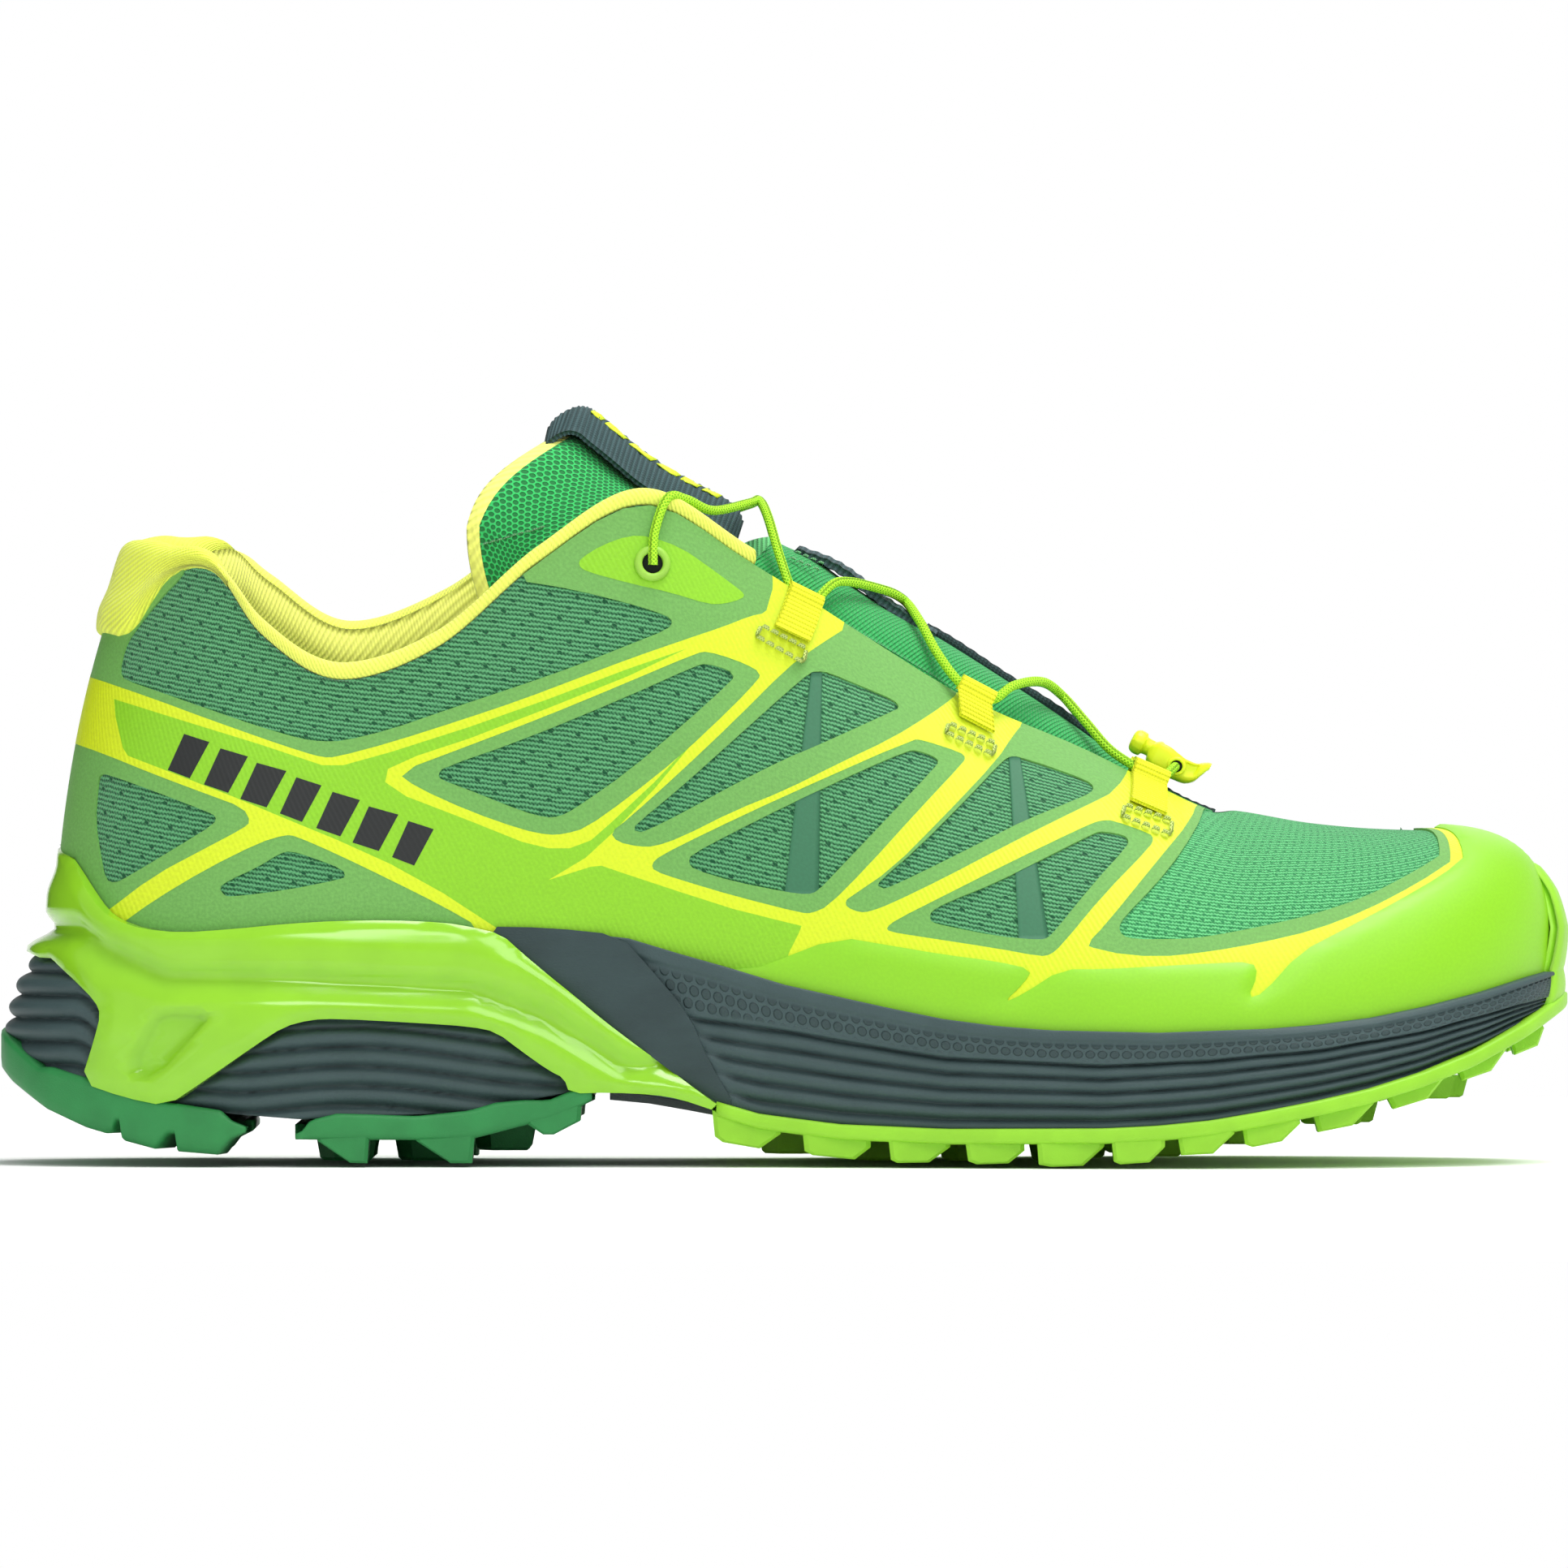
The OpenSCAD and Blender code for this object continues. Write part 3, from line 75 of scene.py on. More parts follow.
# the sole's outline at the same stations: x, outer y, inner y
SP = np.array([
    [-149.5, 0, 0], [-147.4, -15.5, 14.6], [-137, -30.4, 29], [-119, -38.2, 36.3],
    [-100, -41, 38], [-83, -40.5, 37], [-64, -39.5, 34.5], [-45, -38.5, 33],
    [-24, -39.5, 33], [-2, -42, 36], [20, -45.5, 41], [42, -50, 46.5], [63, -52.8, 50.5],
    [82, -52.3, 52.8], [95.5, -51, 51.8], [112.5, -45.3, 47.2], [128.5, -36, 39.8],
    [140.5, -24, 30.6], [147.2, -9.6, 18.2], [149, 4, 4]])
# seen from the side, x and z: where the upper leaves the foam, and the foam's underside
FEATHER = [(-150, 38), (-100, 41), (-60, 42.5), (-50, 43.5), (-40, 44), (-30, 43), (-20, 40),
           (-10, 37.2), (0, 34.2), (10, 32), (20, 29.8), (30, 27.8), (40, 26.5), (50, 25.7),
           (70, 25.2), (90, 25.9), (100, 26.7), (110, 28), (120, 30), (130, 32.5), (140, 35.5),
           (150, 38)]
UNDER = [(-150, 24), (-145, 20), (-140, 17.5), (-133, 16), (-117, 11.7), (-105, 9.7), (-92, 8.7),
         (-80, 9.2), (-60, 10), (-50, 12), (-40, 14), (-30, 14), (-20, 12.3), (-13, 11), (-5, 8.7),
         (10, 6.8), (30, 6), (60, 6.2), (70, 6.7), (80, 7.7), (90, 9.4), (100, 11.3), (110, 13.5),
         (120, 16.5), (130, 20.3), (140, 25.5), (150, 32)]


def look(table, x):
    """z of a side profile at x."""
    t = np.array(table, float)
    return np.interp(x, t[:, 0], t[:, 1])


def cr(p, t):
    """Catmull-Rom curve through the rows of p, at t counted in rows."""
    t = np.clip(np.asarray(t, float), 0, len(p) - 1)
    i = np.minimum(t.astype(int), len(p) - 2)
    f = (t - i)[..., None]
    a, b, c, d = p[np.maximum(i - 1, 0)], p[i], p[i + 1], p[np.minimum(i + 2, len(p) - 1)]
    return b + .5 * f * ((c - a) + f * ((2 * a - 5 * b + 4 * c - d) + f * (3 * b - a - 3 * c + d)))


def mid_y(x):
    """The foot's middle line, which drifts inwards towards the toe."""
    q = np.clip((np.asarray(x, float) + 40) / 120, 0, 1)
    return 3.5 * q * q * (3 - 2 * q)


def base(u, v):
    """Point of the upper: u 0 heel, 19 toe, 38 heel again down the inner side; v from the sole up."""
    u, v = np.broadcast_arrays(np.asarray(u, float), np.asarray(v, float))
    inner = u > TOE
    q = cr(ST, np.where(inner, ROUND - u, u))
    sd = np.where(inner, 1., -1.)
    f = np.stack([q[..., 0], np.where(inner, q[..., 2], q[..., 1]), q[..., 3]], -1)
    c = np.stack([q[..., 4], mid_y(q[..., 4]) + sd * np.maximum(0, q[..., 5]),
                  np.where(inner, q[..., 7], q[..., 6])], -1)
    d = f - c
    d[..., 2] = 0
    d /= np.maximum(np.linalg.norm(d, axis=-1, keepdims=True), 1e-9)
    a = f + d * q[..., 8:9] + UP * q[..., 9:10]
    b = c + d * q[..., 10:11] - UP * q[..., 11:12]
    v = v[..., None]
    w = 1 - v
    return w**3 * f + 3 * w * w * v * a + 3 * w * v * v * b + v**3 * c


def run_length(p):
    """Distance along a line of points, from its first one."""
    return np.concatenate([[0], np.cumsum(np.linalg.norm(np.diff(p, axis=0), axis=1))])


def side_u(sd, k):
    return np.where(np.asarray(sd) < 0, k, ROUND - np.asarray(k))


def unit(a):
    return a / np.maximum(np.linalg.norm(a, axis=-1, keepdims=True), 1e-9)


def normal(u, v):
    u, v = np.broadcast_arrays(np.asarray(u, float), np.asarray(v, float))
    du = base(np.minimum(u + .08, ROUND), v) - base(np.maximum(u - .08, 0), v)
    dv = base(u, np.minimum(v + .02, 1)) - base(u, np.maximum(v - .02, 0))
    n = unit(np.cross(du, dv))
    # both sides share one normal along the closed ridge and at the heel seam
    k = np.where(u > TOE, ROUND - u, u)
    top = (v > .97) & (k > 13.9)
    n = np.where(top[..., None], unit(n * np.array([1, .15, 1])), n)
    heel = k < .05
    return np.where(heel[..., None], unit(n * np.array([1, 0, 1])), n)


def surf(u, v, o=0.):
    o = np.asarray(o, float)
    return base(u, v) + (o[..., None] if o.ndim else o) * normal(u, v)


_ku, _kv = np.meshgrid(np.linspace(0, TOE, 229), np.linspace(0, 1, 61), indexing="ij")
_grid = {}


def find(side, pts):
    """(k, v) of the upper's points seen at these x, z from the side."""
    if side not in _grid:
        u = _ku if side < 0 else np.minimum(ROUND - _ku, ROUND - .001)
        _grid[side] = base(u, _kv)[..., [0, 2]].reshape(-1, 2)
    g = _grid[side]
    pts = np.asarray(pts, float)
    out = np.empty((len(pts), 2))
    for i in range(0, len(pts), 200):
        d = ((pts[i:i + 200, None, :] - g[None])**2).sum(-1)
        j = d.argmin(1)
        out[i:i + 200, 0] = _ku.ravel()[j]
        out[i:i + 200, 1] = _kv.ravel()[j]
    k, v = out[:, 0], out[:, 1]

    def at(k, v):
        return base(k if side < 0 else ROUND - k, v)[..., [0, 2]]

    for _ in range(6):
        k0, k1 = np.maximum(k - .03, 0), np.minimum(k + .03, TOE)
        v0, v1 = np.maximum(v - .01, 0), np.minimum(v + .01, 1)
        a = (at(k1, v) - at(k0, v)) / (k1 - k0)[:, None]
        b = (at(k, v1) - at(k, v0)) / (v1 - v0)[:, None]
        e = pts - at(k, v)
        det = a[:, 0] * b[:, 1] - a[:, 1] * b[:, 0]
        det = np.where(np.abs(det) < 60, 60 * np.sign(det + 1e-9), det)
        dk = (e[:, 0] * b[:, 1] - e[:, 1] * b[:, 0]) / det
        dv = (a[:, 0] * e[:, 1] - a[:, 1] * e[:, 0]) / det
        k = np.clip(k + np.clip(dk, -.15, .15), 0, TOE)
        v = np.clip(v + np.clip(dv, -.03, .03), 0, 1)
    return np.stack([k, v], -1)


def v_at(u, table):
    """v on each column u where the surface meets the side profile z(x)."""
    u = np.asarray(u, float)
    lo, hi = np.zeros_like(u), np.ones_like(u)
    for _ in range(22):
        m = (lo + hi) / 2
        p = base(u, m)
        over = p[..., 2] > look(table, p[..., 0])
        hi, lo = np.where(over, m, hi), np.where(over, lo, m)
    return (lo + hi) / 2


# ---------------------------------------------------------------- mesh helpers
def make(name, v, f, mat, uv=None, body="shoe", cover=(), smooth=True, slot=None, attrs=None):
    me = bpy.data.meshes.new(name)
    me.from_pydata((np.asarray(v, float) * .001).tolist(), [], [list(map(int, q)) for q in f])
    me.validate()
    me.update()
    if uv is not None:
        lay = me.uv_layers.new(name="mm")
        idx = np.empty(len(me.loops), np.int32)
        me.loops.foreach_get("vertex_index", idx)
        lay.data.foreach_set("uv", (np.asarray(uv, float)[idx] * .01).astype(np.float32).ravel())
    for key, val in (attrs or {}).items():
        a = me.attributes.new(key, "FLOAT", "POINT")
        a.data.foreach_set("value", np.asarray(val, np.float32))
    if smooth:
        me.polygons.foreach_set("use_smooth", [True] * len(me.polygons))
    ob = bpy.data.objects.new(name, me)
    bpy.context.scene.collection.objects.link(ob)
    ob.data.materials.append(mat)
    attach(ob, body)
    if cover:
        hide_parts(*cover)
    return ob


def grid_faces(n, m, start=0, flip=False, wrap_m=False, wrap_n=False):
    f = []
    for i in range(n if wrap_n else n - 1):
        for j in range(m if wrap_m else m - 1):
            a, b = i * m + j, i * m + (j + 1) % m
            c, d = ((i + 1) % n) * m + (j + 1) % m, ((i + 1) % n) * m + j
            q = [a + start, d + start, c + start, b + start]
            f.append(q[::-1] if flip else q)
    return f


def shell(name, outer, inner, mat, uv=None, flip=False, **kw):
    """A closed sheet from two matching grids of points."""
    n, m = outer.shape[:2]
    s = n * m
    v = np.concatenate([outer.reshape(-1, 3), inner.reshape(-1, 3)])
    f = grid_faces(n, m, 0, flip) + grid_faces(n, m, s, not flip)
    rim = [i * m for i in range(n)] + [(n - 1) * m + j for j in range(1, m)]
    rim += [i * m + m - 1 for i in range(n - 2, -1, -1)] + [j for j in range(m - 2, 0, -1)]
    for a, b in zip(rim, rim[1:] + rim[:1]):
        q = [a, a + s, b + s, b]
        f.append(q if flip else q[::-1])
    if uv is not None:
        uv = np.concatenate([uv.reshape(-1, 2)] * 2)
    return make(name, v, f, mat, uv, **kw)


def tube(name, path, r, mat, n=12, squash=1., ups=None, **kw):
    """A round tube along path; ups are the directions it is squashed from."""
    p = np.asarray(path, float)
    t = unit(np.gradient(p, axis=0))
    side = np.empty_like(p)
    last = UP
    for i in range(len(p)):
        u = last if ups is None else np.asarray(ups, float)[i]
        u = u - t[i] * (u @ t[i])
        u = u / max(np.linalg.norm(u), 1e-9)
        side[i] = u
        last = u
    w = np.cross(t, side)
    a = np.linspace(0, 2 * np.pi, n, endpoint=False)
    rr = np.broadcast_to(np.asarray(r, float), (len(p),))
    across = np.cos(a)[None, :, None] * side[:, None] * squash + np.sin(a)[None, :, None] * w[:, None]
    m = len(p)
    f = grid_faces(m, n, 0, True, wrap_m=True)
    f += [[j, (j + 1) % n, m * n] for j in range(n)]
    f += [[(m - 1) * n + (j + 1) % n, (m - 1) * n + j, m * n + 1] for j in range(n)]
    v = np.concatenate([(p[:, None] + rr[:, None, None] * across).reshape(-1, 3), p[:1], p[-1:]])
    uv = np.stack(np.broadcast_arrays(run_length(p)[:, None], a[None] * np.mean(rr)), -1).reshape(-1, 2)
    return make(name, v, f, mat, np.concatenate([uv, uv[:1], uv[-1:]]), **kw)


def chaikin(p, times=2, closed=True):
    p = np.asarray(p, float)
    for _ in range(times):
        q = np.roll(p, -1, 0) if closed else p[1:]
        a = p if closed else p[:-1]
        mix = np.empty((2 * len(a), p.shape[1]))
        mix[0::2], mix[1::2] = .75 * a + .25 * q, .25 * a + .75 * q
        p = mix if closed else np.concatenate([p[:1], mix, p[-1:]])
    return p


def resample(p, step, closed=True):
    p = np.asarray(p, float)
    q = np.concatenate([p, p[:1]]) if closed else p
    out = []
    for a, b in zip(q[:-1], q[1:]):
        n = max(1, int(math.ceil(np.linalg.norm(b - a) / step)))
        out.append(a + (b - a) * (np.arange(n) / n)[:, None])
    if not closed:
        out.append(q[-1:])
    return np.concatenate(out)


def thin(p, least):
    """Drops points closer than least to the one before."""
    keep = [0]
    for i in range(1, len(p)):
        if np.linalg.norm(p[i] - p[keep[-1]]) >= least:
            keep.append(i)
    if len(keep) > 3 and np.linalg.norm(p[keep[-1]] - p[0]) < least:
        keep.pop()
    return p[keep]


def near2(p, line):
    """Squared distance of each point of p to the nearest point of line."""
    d = np.empty(len(p))
    for i in range(0, len(p), 500):
        d[i:i + 500] = ((p[i:i + 500, None] - line[None])**2).sum(-1).min(1)
    return d


def inside(poly, pts):
    """Which points lie in the polygon."""
    x, y = pts[:, 0], pts[:, 1]
    r = np.zeros(len(pts), bool)
    a, b = poly, np.roll(poly, -1, 0)
    for (x0, y0), (x1, y1) in zip(a, b):
        hit = (y0 > y) != (y1 > y)
        with np.errstate(divide="ignore", invalid="ignore"):
            r ^= hit & (x < (x1 - x0) * (y - y0) / (y1 - y0) + x0)
    return r


def cdt(outlines, box, h):
    """Triangles over the box that follow every outline. Returns points and triangles."""
    pts, edges = [], []
    x0, x1, y0, y1 = box
    frame_line = resample([(x0, y0), (x1, y0), (x1, y1), (x0, y1)], h)
    for o in [frame_line] + list(outlines):
        o = np.asarray(o, float)
        s = len(pts)
        pts += o.tolist()
        edges += [(s + i, s + (i + 1) % len(o)) for i in range(len(o))]
    line = np.array(pts)
    gx, gy = np.meshgrid(np.arange(x0 + h * .6, x1, h), np.arange(y0 + h * .6, y1, h * .87))
    gx = gx + (np.arange(gx.shape[0]) % 2)[:, None] * h / 2
    g = np.stack([gx.ravel(), gy.ravel()], -1)
    g = g[(g[:, 0] < x1 - h * .3) & (g[:, 1] < y1 - h * .3)]
    g = g[near2(g, line) > (h * .45)**2]
    pts += g.tolist()
    r = geometry.delaunay_2d_cdt([Vector(p) for p in pts], edges, [], 0, 1e-4)
    return np.array([list(p) for p in r[0]]), np.array([list(t) for t in r[2]], int)


def face_up(p, t):
    """Turns the clockwise triangles of t round."""
    a, b, c = p[t[:, 0]], p[t[:, 1]], p[t[:, 2]]
    down = np.cross(b - a, c - a) < 0
    t[down] = t[down][:, ::-1]
    return t


def filled(outline, others, box, h):
    """Triangles inside outline, which follow the other outlines too."""
    p, t = cdt([outline] + others, box, h)
    return p, face_up(p, t[inside(outline, p[t].mean(1))])


def skin_piece(name, pts, tris, place, mat, uv, lift=0., depth=.5, edge_drop=.3, **kw):
    """A sheet piece: its face at place(pts, lift) and a skirt down to lift - depth round its border."""
    used, inv = np.unique(tris, return_inverse=True)
    tris = inv.reshape(tris.shape)
    p2 = pts[used]
    edges = {(a, b): 1 for t in tris for a, b in ((t[0], t[1]), (t[1], t[2]), (t[2], t[0]))}
    border = [(a, b) for a, b in edges if (b, a) not in edges]
    on_edge = np.zeros(len(p2), bool)
    for a, b in border:
        on_edge[a] = on_edge[b] = True
    lifts = np.where(on_edge, lift - edge_drop * .35, lift)
    top = place(p2, lifts)
    ids = np.nonzero(on_edge)[0]
    where = {int(i): n for n, i in enumerate(ids)}
    n0, n1 = len(top), len(top) + len(ids)
    v = np.concatenate([top, top[ids], place(p2[ids], np.full(len(ids), lift - depth))])
    f = [list(t) for t in tris]
    f += [[n0 + where[a], n1 + where[a], n1 + where[b], n0 + where[b]] for a, b in border]
    u = uv(p2)
    return make(name, v, f, mat, np.concatenate([u, u[ids], u[ids]]), **kw)


# ---------------------------------------------------------------- materials
class Mat:
    """A node material with a small set of helpers; lengths in its patterns are millimetres."""

    def __init__(self, name, rough=.6, spec=.4, coat=0., sheen=0., uv=True, sss=0.):
        self.m = bpy.data.materials.new(name)
        self.m.use_nodes = True
        self.t = self.m.node_tree
        self.t.nodes.clear()
        self.out = self.t.nodes.new("ShaderNodeOutputMaterial")
        self.b = self.t.nodes.new("ShaderNodeBsdfPrincipled")
        self.t.links.new(self.b.outputs[0], self.out.inputs[0])
        self.b.inputs["Roughness"].default_value = rough
        self.b.inputs["Specular IOR Level"].default_value = spec
        self.b.inputs["Coat Weight"].default_value = coat
        self.b.inputs["Coat Roughness"].default_value = .12
        self.b.inputs["Sheen Weight"].default_value = sheen
        self.b.inputs["Sheen Roughness"].default_value = .5
        if sss:
            self.b.inputs["Subsurface Weight"].default_value = sss
            self.b.inputs["Subsurface Scale"].default_value = .002
        n = self.node("ShaderNodeVectorMath", operation="SCALE")
        if uv:
            c = self.node("ShaderNodeUVMap", uv_map="mm")
            n.inputs["Scale"].default_value = 100
            self.link(c.outputs[0], n.inputs[0])
        else:
            c = self.node("ShaderNodeTexCoord")
            n.inputs["Scale"].default_value = 1000
            self.link(c.outputs["Object"], n.inputs[0])
        self.p = n.outputs[0]
        s = self.node("ShaderNodeSeparateXYZ")
        self.link(self.p, s.inputs[0])
        self.x, self.y, self.z = s.outputs

    def node(self, kind, **kw):
        n = self.t.nodes.new(kind)
        for k, v in kw.items():
            setattr(n, k, v)
        return n

    def link(self, a, b):
        if isinstance(a, (int, float)):
            b.default_value = a
        elif isinstance(a, tuple):
            b.default_value = a if len(a) == len(b.default_value) else (*a, 1)
        else:
            self.t.links.new(a, b)

    def math(self, op, a, b=0.):
        n = self.node("ShaderNodeMath", operation=op)
        self.link(a, n.inputs[0])
        self.link(b, n.inputs[1])
        return n.outputs[0]

    def add(self, a, b):
        return self.math("ADD", a, b)

    def sub(self, a, b):
        return self.math("SUBTRACT", a, b)

    def mul(self, a, b):
        return self.math("MULTIPLY", a, b)

    def div(self, a, b):
        return self.math("DIVIDE", a, b)

    def noise(self, scale, detail=3., rough=.5):
        n = self.node("ShaderNodeTexNoise")
        self.link(self.p, n.inputs["Vector"])
        n.inputs["Scale"].default_value = scale
        n.inputs["Detail"].default_value = detail
        n.inputs["Roughness"].default_value = rough
        return n.outputs[0]

    def wave(self, a, pitch):
        """0..1 ridge repeating every pitch along a."""
        w = self.math("SINE", self.mul(a, 2 * math.pi / pitch))
        return self.add(self.mul(w, .5), .5)

    def slant(self, angle):
        """Distance across lines that lean by angle degrees."""
        a = math.radians(angle)
        return self.add(self.mul(self.x, math.sin(a)), self.mul(self.y, math.cos(a)))

    def shades(self, f, c, vary):
        """The colour c, a little darker where f is low and lighter where it is high."""
        return self.mix(f, rgb(*[v * (1 - vary) for v in c]), rgb(*[min(1, v * (1 + vary)) for v in c]))

    def ramp(self, a, lo, hi):
        n = self.node("ShaderNodeMapRange", interpolation_type="SMOOTHSTEP")
        self.link(a, n.inputs["Value"])
        n.inputs["From Min"].default_value = lo
        n.inputs["From Max"].default_value = hi
        return n.outputs[0]

    def mix(self, f, a, b):
        n = self.node("ShaderNodeMix", data_type="RGBA")
        self.link(f, n.inputs[0])
        self.link(a, n.inputs[6])
        self.link(b, n.inputs[7])
        return n.outputs[2]

    def colour(self, c):
        self.link(c, self.b.inputs["Base Color"])
        return self

    def rough(self, r):
        self.link(r, self.b.inputs["Roughness"])

    def bump(self, h, depth):
        n = self.node("ShaderNodeBump")
        n.inputs["Strength"].default_value = 1.
        n.inputs["Distance"].default_value = depth * .001
        self.link(h, n.inputs["Height"])
        self.link(n.outputs[0], self.b.inputs["Normal"])


def rgb(*c):
    return (*c, 1.)


def dots(m, px, py, rx, ry, slant=0.):
    """Staggered oval dots, 1 inside and 0 outside."""
    x = m.add(m.x, m.mul(m.y, slant)) if slant else m.x
    row = m.math("FLOOR", m.div(m.y, py))
    shift = m.mul(m.math("MODULO", m.math("ABSOLUTE", row), 2.), px / 2)
    fx = m.sub(m.math("FRACT", m.div(m.add(x, shift), px)), .5)
    fy = m.sub(m.math("FRACT", m.div(m.y, py)), .5)
    a = m.math("POWER", m.math("ABSOLUTE", m.mul(fx, px / rx)), 2.)
    b = m.math("POWER", m.math("ABSOLUTE", m.mul(fy, py / ry)), 2.)
    return m.sub(1., m.ramp(m.add(a, b), .55, 1.15))


def knit_mat(name, lo, hi, hole, px, py, rx, ry, row):
    m = Mat(name, rough=.85, spec=.2, sheen=.15)
    wob = m.mul(m.sub(m.noise(.5, 1), .5), .5)
    y = m.add(m.y, wob)
    rows = m.wave(y, row)
    tri = m.math("ABSOLUTE", m.sub(m.math("FRACT", m.div(m.y, row)), .5))
    st = m.wave(m.add(m.x, m.mul(tri, row * .9)), row * .78)
    h = m.mul(m.add(m.mul(rows, .65), m.mul(st, .35)), 1.)
    d = dots(m, px, py, rx, ry, .35)
    h = m.mul(h, m.sub(1., m.mul(d, .9)))
    c = m.mix(m.ramp(h, .15, .85), rgb(*lo), rgb(*hi))
    c = m.mix(m.mul(m.ramp(m.noise(2.2, 2), .35, .75), .25), c, rgb(*[v * 1.5 for v in hi]))
    # painted shade: the vent holes are darkened to the hole colour, for the shaded inside seen through them
    c = m.mix(m.mul(d, .7), c, rgb(*hole))
    m.colour(c)
    m.bump(h, .45)
    return m.m


def film_mat(name, c, rib=0., grain=.12, rough=.5, vary=.06, sss=0.):
    m = Mat(name, rough=rough, spec=.45, sss=sss)
    n = m.noise(1.6, 3, .6)
    g = m.noise(9, 2, .7)
    m.colour(m.shades(m.ramp(n, .3, .75), c, vary))
    h = m.mul(g, grain)
    if rib:
        h = m.add(h, m.mul(m.wave(m.slant(62), 1.05), rib))
    m.rough(m.add(m.mul(g, .2), rough - .1))
    m.bump(h, 1.)
    return m.m


def twill_mat(name, c, pitch=.9, depth=.25, angle=40., uv=True, rough=.8):
    m = Mat(name, rough=rough, spec=.25, sheen=.2, uv=uv)
    w = m.wave(m.slant(angle), pitch)
    f = m.wave(m.add(m.x, m.mul(m.y, -.35)), pitch * .8)
    h = m.add(m.mul(w, .75), m.mul(f, .25))
    n = m.noise(.25, 2)
    cc = m.mix(m.ramp(h, .1, .9), rgb(*[v * .8 for v in c]), rgb(*c))
    m.colour(m.mix(m.mul(m.ramp(n, .3, .7), .2), cc, rgb(*[min(1, v * 1.12) for v in c])))
    m.bump(h, depth)
    return m.m


def rubber_mat(name, c, uv=False, rough=.55, grain=.12, scale=3., vary=.1, spec=.35, coat=0., sss=0.):
    m = Mat(name, rough=rough, spec=spec, uv=uv, coat=coat, sss=sss)
    n, g = m.noise(.12, 3), m.noise(scale, 3, .65)
    m.colour(m.shades(m.ramp(n, .3, .7), c, vary))
    m.rough(m.add(m.mul(g, .16), rough - .08))
    m.bump(g, grain)
    return m.m


def spacer_mat(name, lo, hi, size=1.5):
    m = Mat(name, rough=.8, spec=.25, sheen=.1)
    d = dots(m, size * 1.3, size * .75, size * .52, size * .34)
    n = m.noise(3, 2)
    # painted shade: the mesh's recessed open cells are darkened to lo
    c = m.mix(m.mul(d, .9), m.mix(n, rgb(*[v * .8 for v in hi]), rgb(*hi)), rgb(*lo))
    m.colour(c)
    m.bump(m.sub(m.mul(n, .3), d), .35)
    return m.m


def web_mat(name, c, pitch=1.1, cross=.55, depth=.3, lo=.55):
    m = Mat(name, rough=.75, spec=.3)
    a = m.wave(m.x, pitch)
    b = m.wave(m.add(m.y, m.mul(a, .2)), cross)
    h = m.add(m.mul(a, .7), m.mul(b, .3))
    m.colour(m.mix(m.ramp(h, .15, .85), rgb(*[v * lo for v in c]), rgb(*c)))
    m.bump(h, depth)
    return m.m


def cord_mat(name, lo, hi, pitch=1.3, around=2.8):
    m = Mat(name, rough=.7, spec=.3)
    a = m.mul(m.y, 2 * pitch / around)
    p = m.wave(m.add(m.x, a), pitch)
    q = m.wave(m.sub(m.x, a), pitch)
    h = m.math("MAXIMUM", p, q)
    m.colour(m.mix(m.ramp(h, .35, .95), rgb(*lo), rgb(*hi)))
    m.bump(h, .3)
    return m.m


# the third colour of each knit is painted shade in its vent holes
KNIT = knit_mat("knit_green", (.005, .075, .026), (.12, .42, .18), (.004, .07, .026), 5.2, 2.2, .5, .34, .92)
MESH = knit_mat("vamp_mesh", (.015, .22, .06), (.15, .64, .24), (.02, .2, .07), 1.9, 1.3, .36, .28, .8)
FILM = film_mat("film_light_green", (.15, .4, .08), grain=.1, rough=.55, vary=.12)
YELLOW = film_mat("film_yellow", (.62, .76, .008), rib=.05, grain=.05, rough=.5)
PANEL = film_mat("film_lime", (.235, .56, .008), rib=.045, grain=.04, rough=.5)
RAND = film_mat("rand_lime", (.235, .57, .008), grain=.025, rough=.42, vary=.03, sss=.05)
BLACK = film_mat("print_black", (.008, .01, .01), rib=.04, grain=.04, rough=.5)
STRIP = film_mat("film_slate_green", (.03, .16, .075), grain=.06, rough=.55)
EVA = rubber_mat("midsole_slate", (.028, .05, .052), uv=True, rough=.55, grain=.1, scale=2.2, vary=.12,
                 spec=.3)
FRAME = rubber_mat("frame_lime_gloss", (.25, .56, .02), rough=.17, grain=.006, scale=.6, vary=.03, spec=.38,
                   coat=.3)
GREEN = rubber_mat("outsole_green", (.022, .215, .055), rough=.5, grain=.06, scale=3, vary=.08)
LIME = rubber_mat("outsole_lime", (.26, .58, .025), rough=.5, grain=.05, scale=3, vary=.05)
TWILL = twill_mat("lining_yellow_twill", (.93, .97, .2), .95, .2)
TABFAB = twill_mat("heel_tab_twill", (.8, .91, .08), .8, .22, 25)
PIPE = twill_mat("edge_binding", (.88, .96, .14), .8, .16, 62)
# the first colour is painted shade in the mesh's open cells
SPACER = spacer_mat("tongue_spacer_mesh", (.006, .13, .03), (.035, .56, .13), .92)
POCKET = twill_mat("pocket_green", (.022, .46, .1), .8, .6, 75)
WEB = web_mat("webbing_slate", (.05, .1, .105))
BIND = web_mat("binding_dark", (.02, .05, .05), .8, .5, .2)
LOOPM = web_mat("loop_yellow", (.86, .9, .02), .95, .6, .3, .75)
ELASTIC = web_mat("elastic_green", (.16, .6, .22), .9, .5, .25)
CORD = cord_mat("cord_lime", (.26, .66, .012), (.5, .95, .03), .8, 1.9)
THREAD = cord_mat("thread_pale_green", (.35, .55, .08), (.72, .85, .25), .7, 1.6)
THREADG = cord_mat("thread_green", (.05, .3, .1), (.3, .7, .35), .7, 1.2)
EYE = rubber_mat("eyelet_plastic", (.3, .58, .06), rough=.38, grain=.02)
LOCKM = rubber_mat("lock_yellow_plastic", (.78, .88, .02), rough=.38, grain=.02, scale=2, vary=.03, sss=.08)
STEEL = Mat("spring_steel", rough=.3, uv=False)
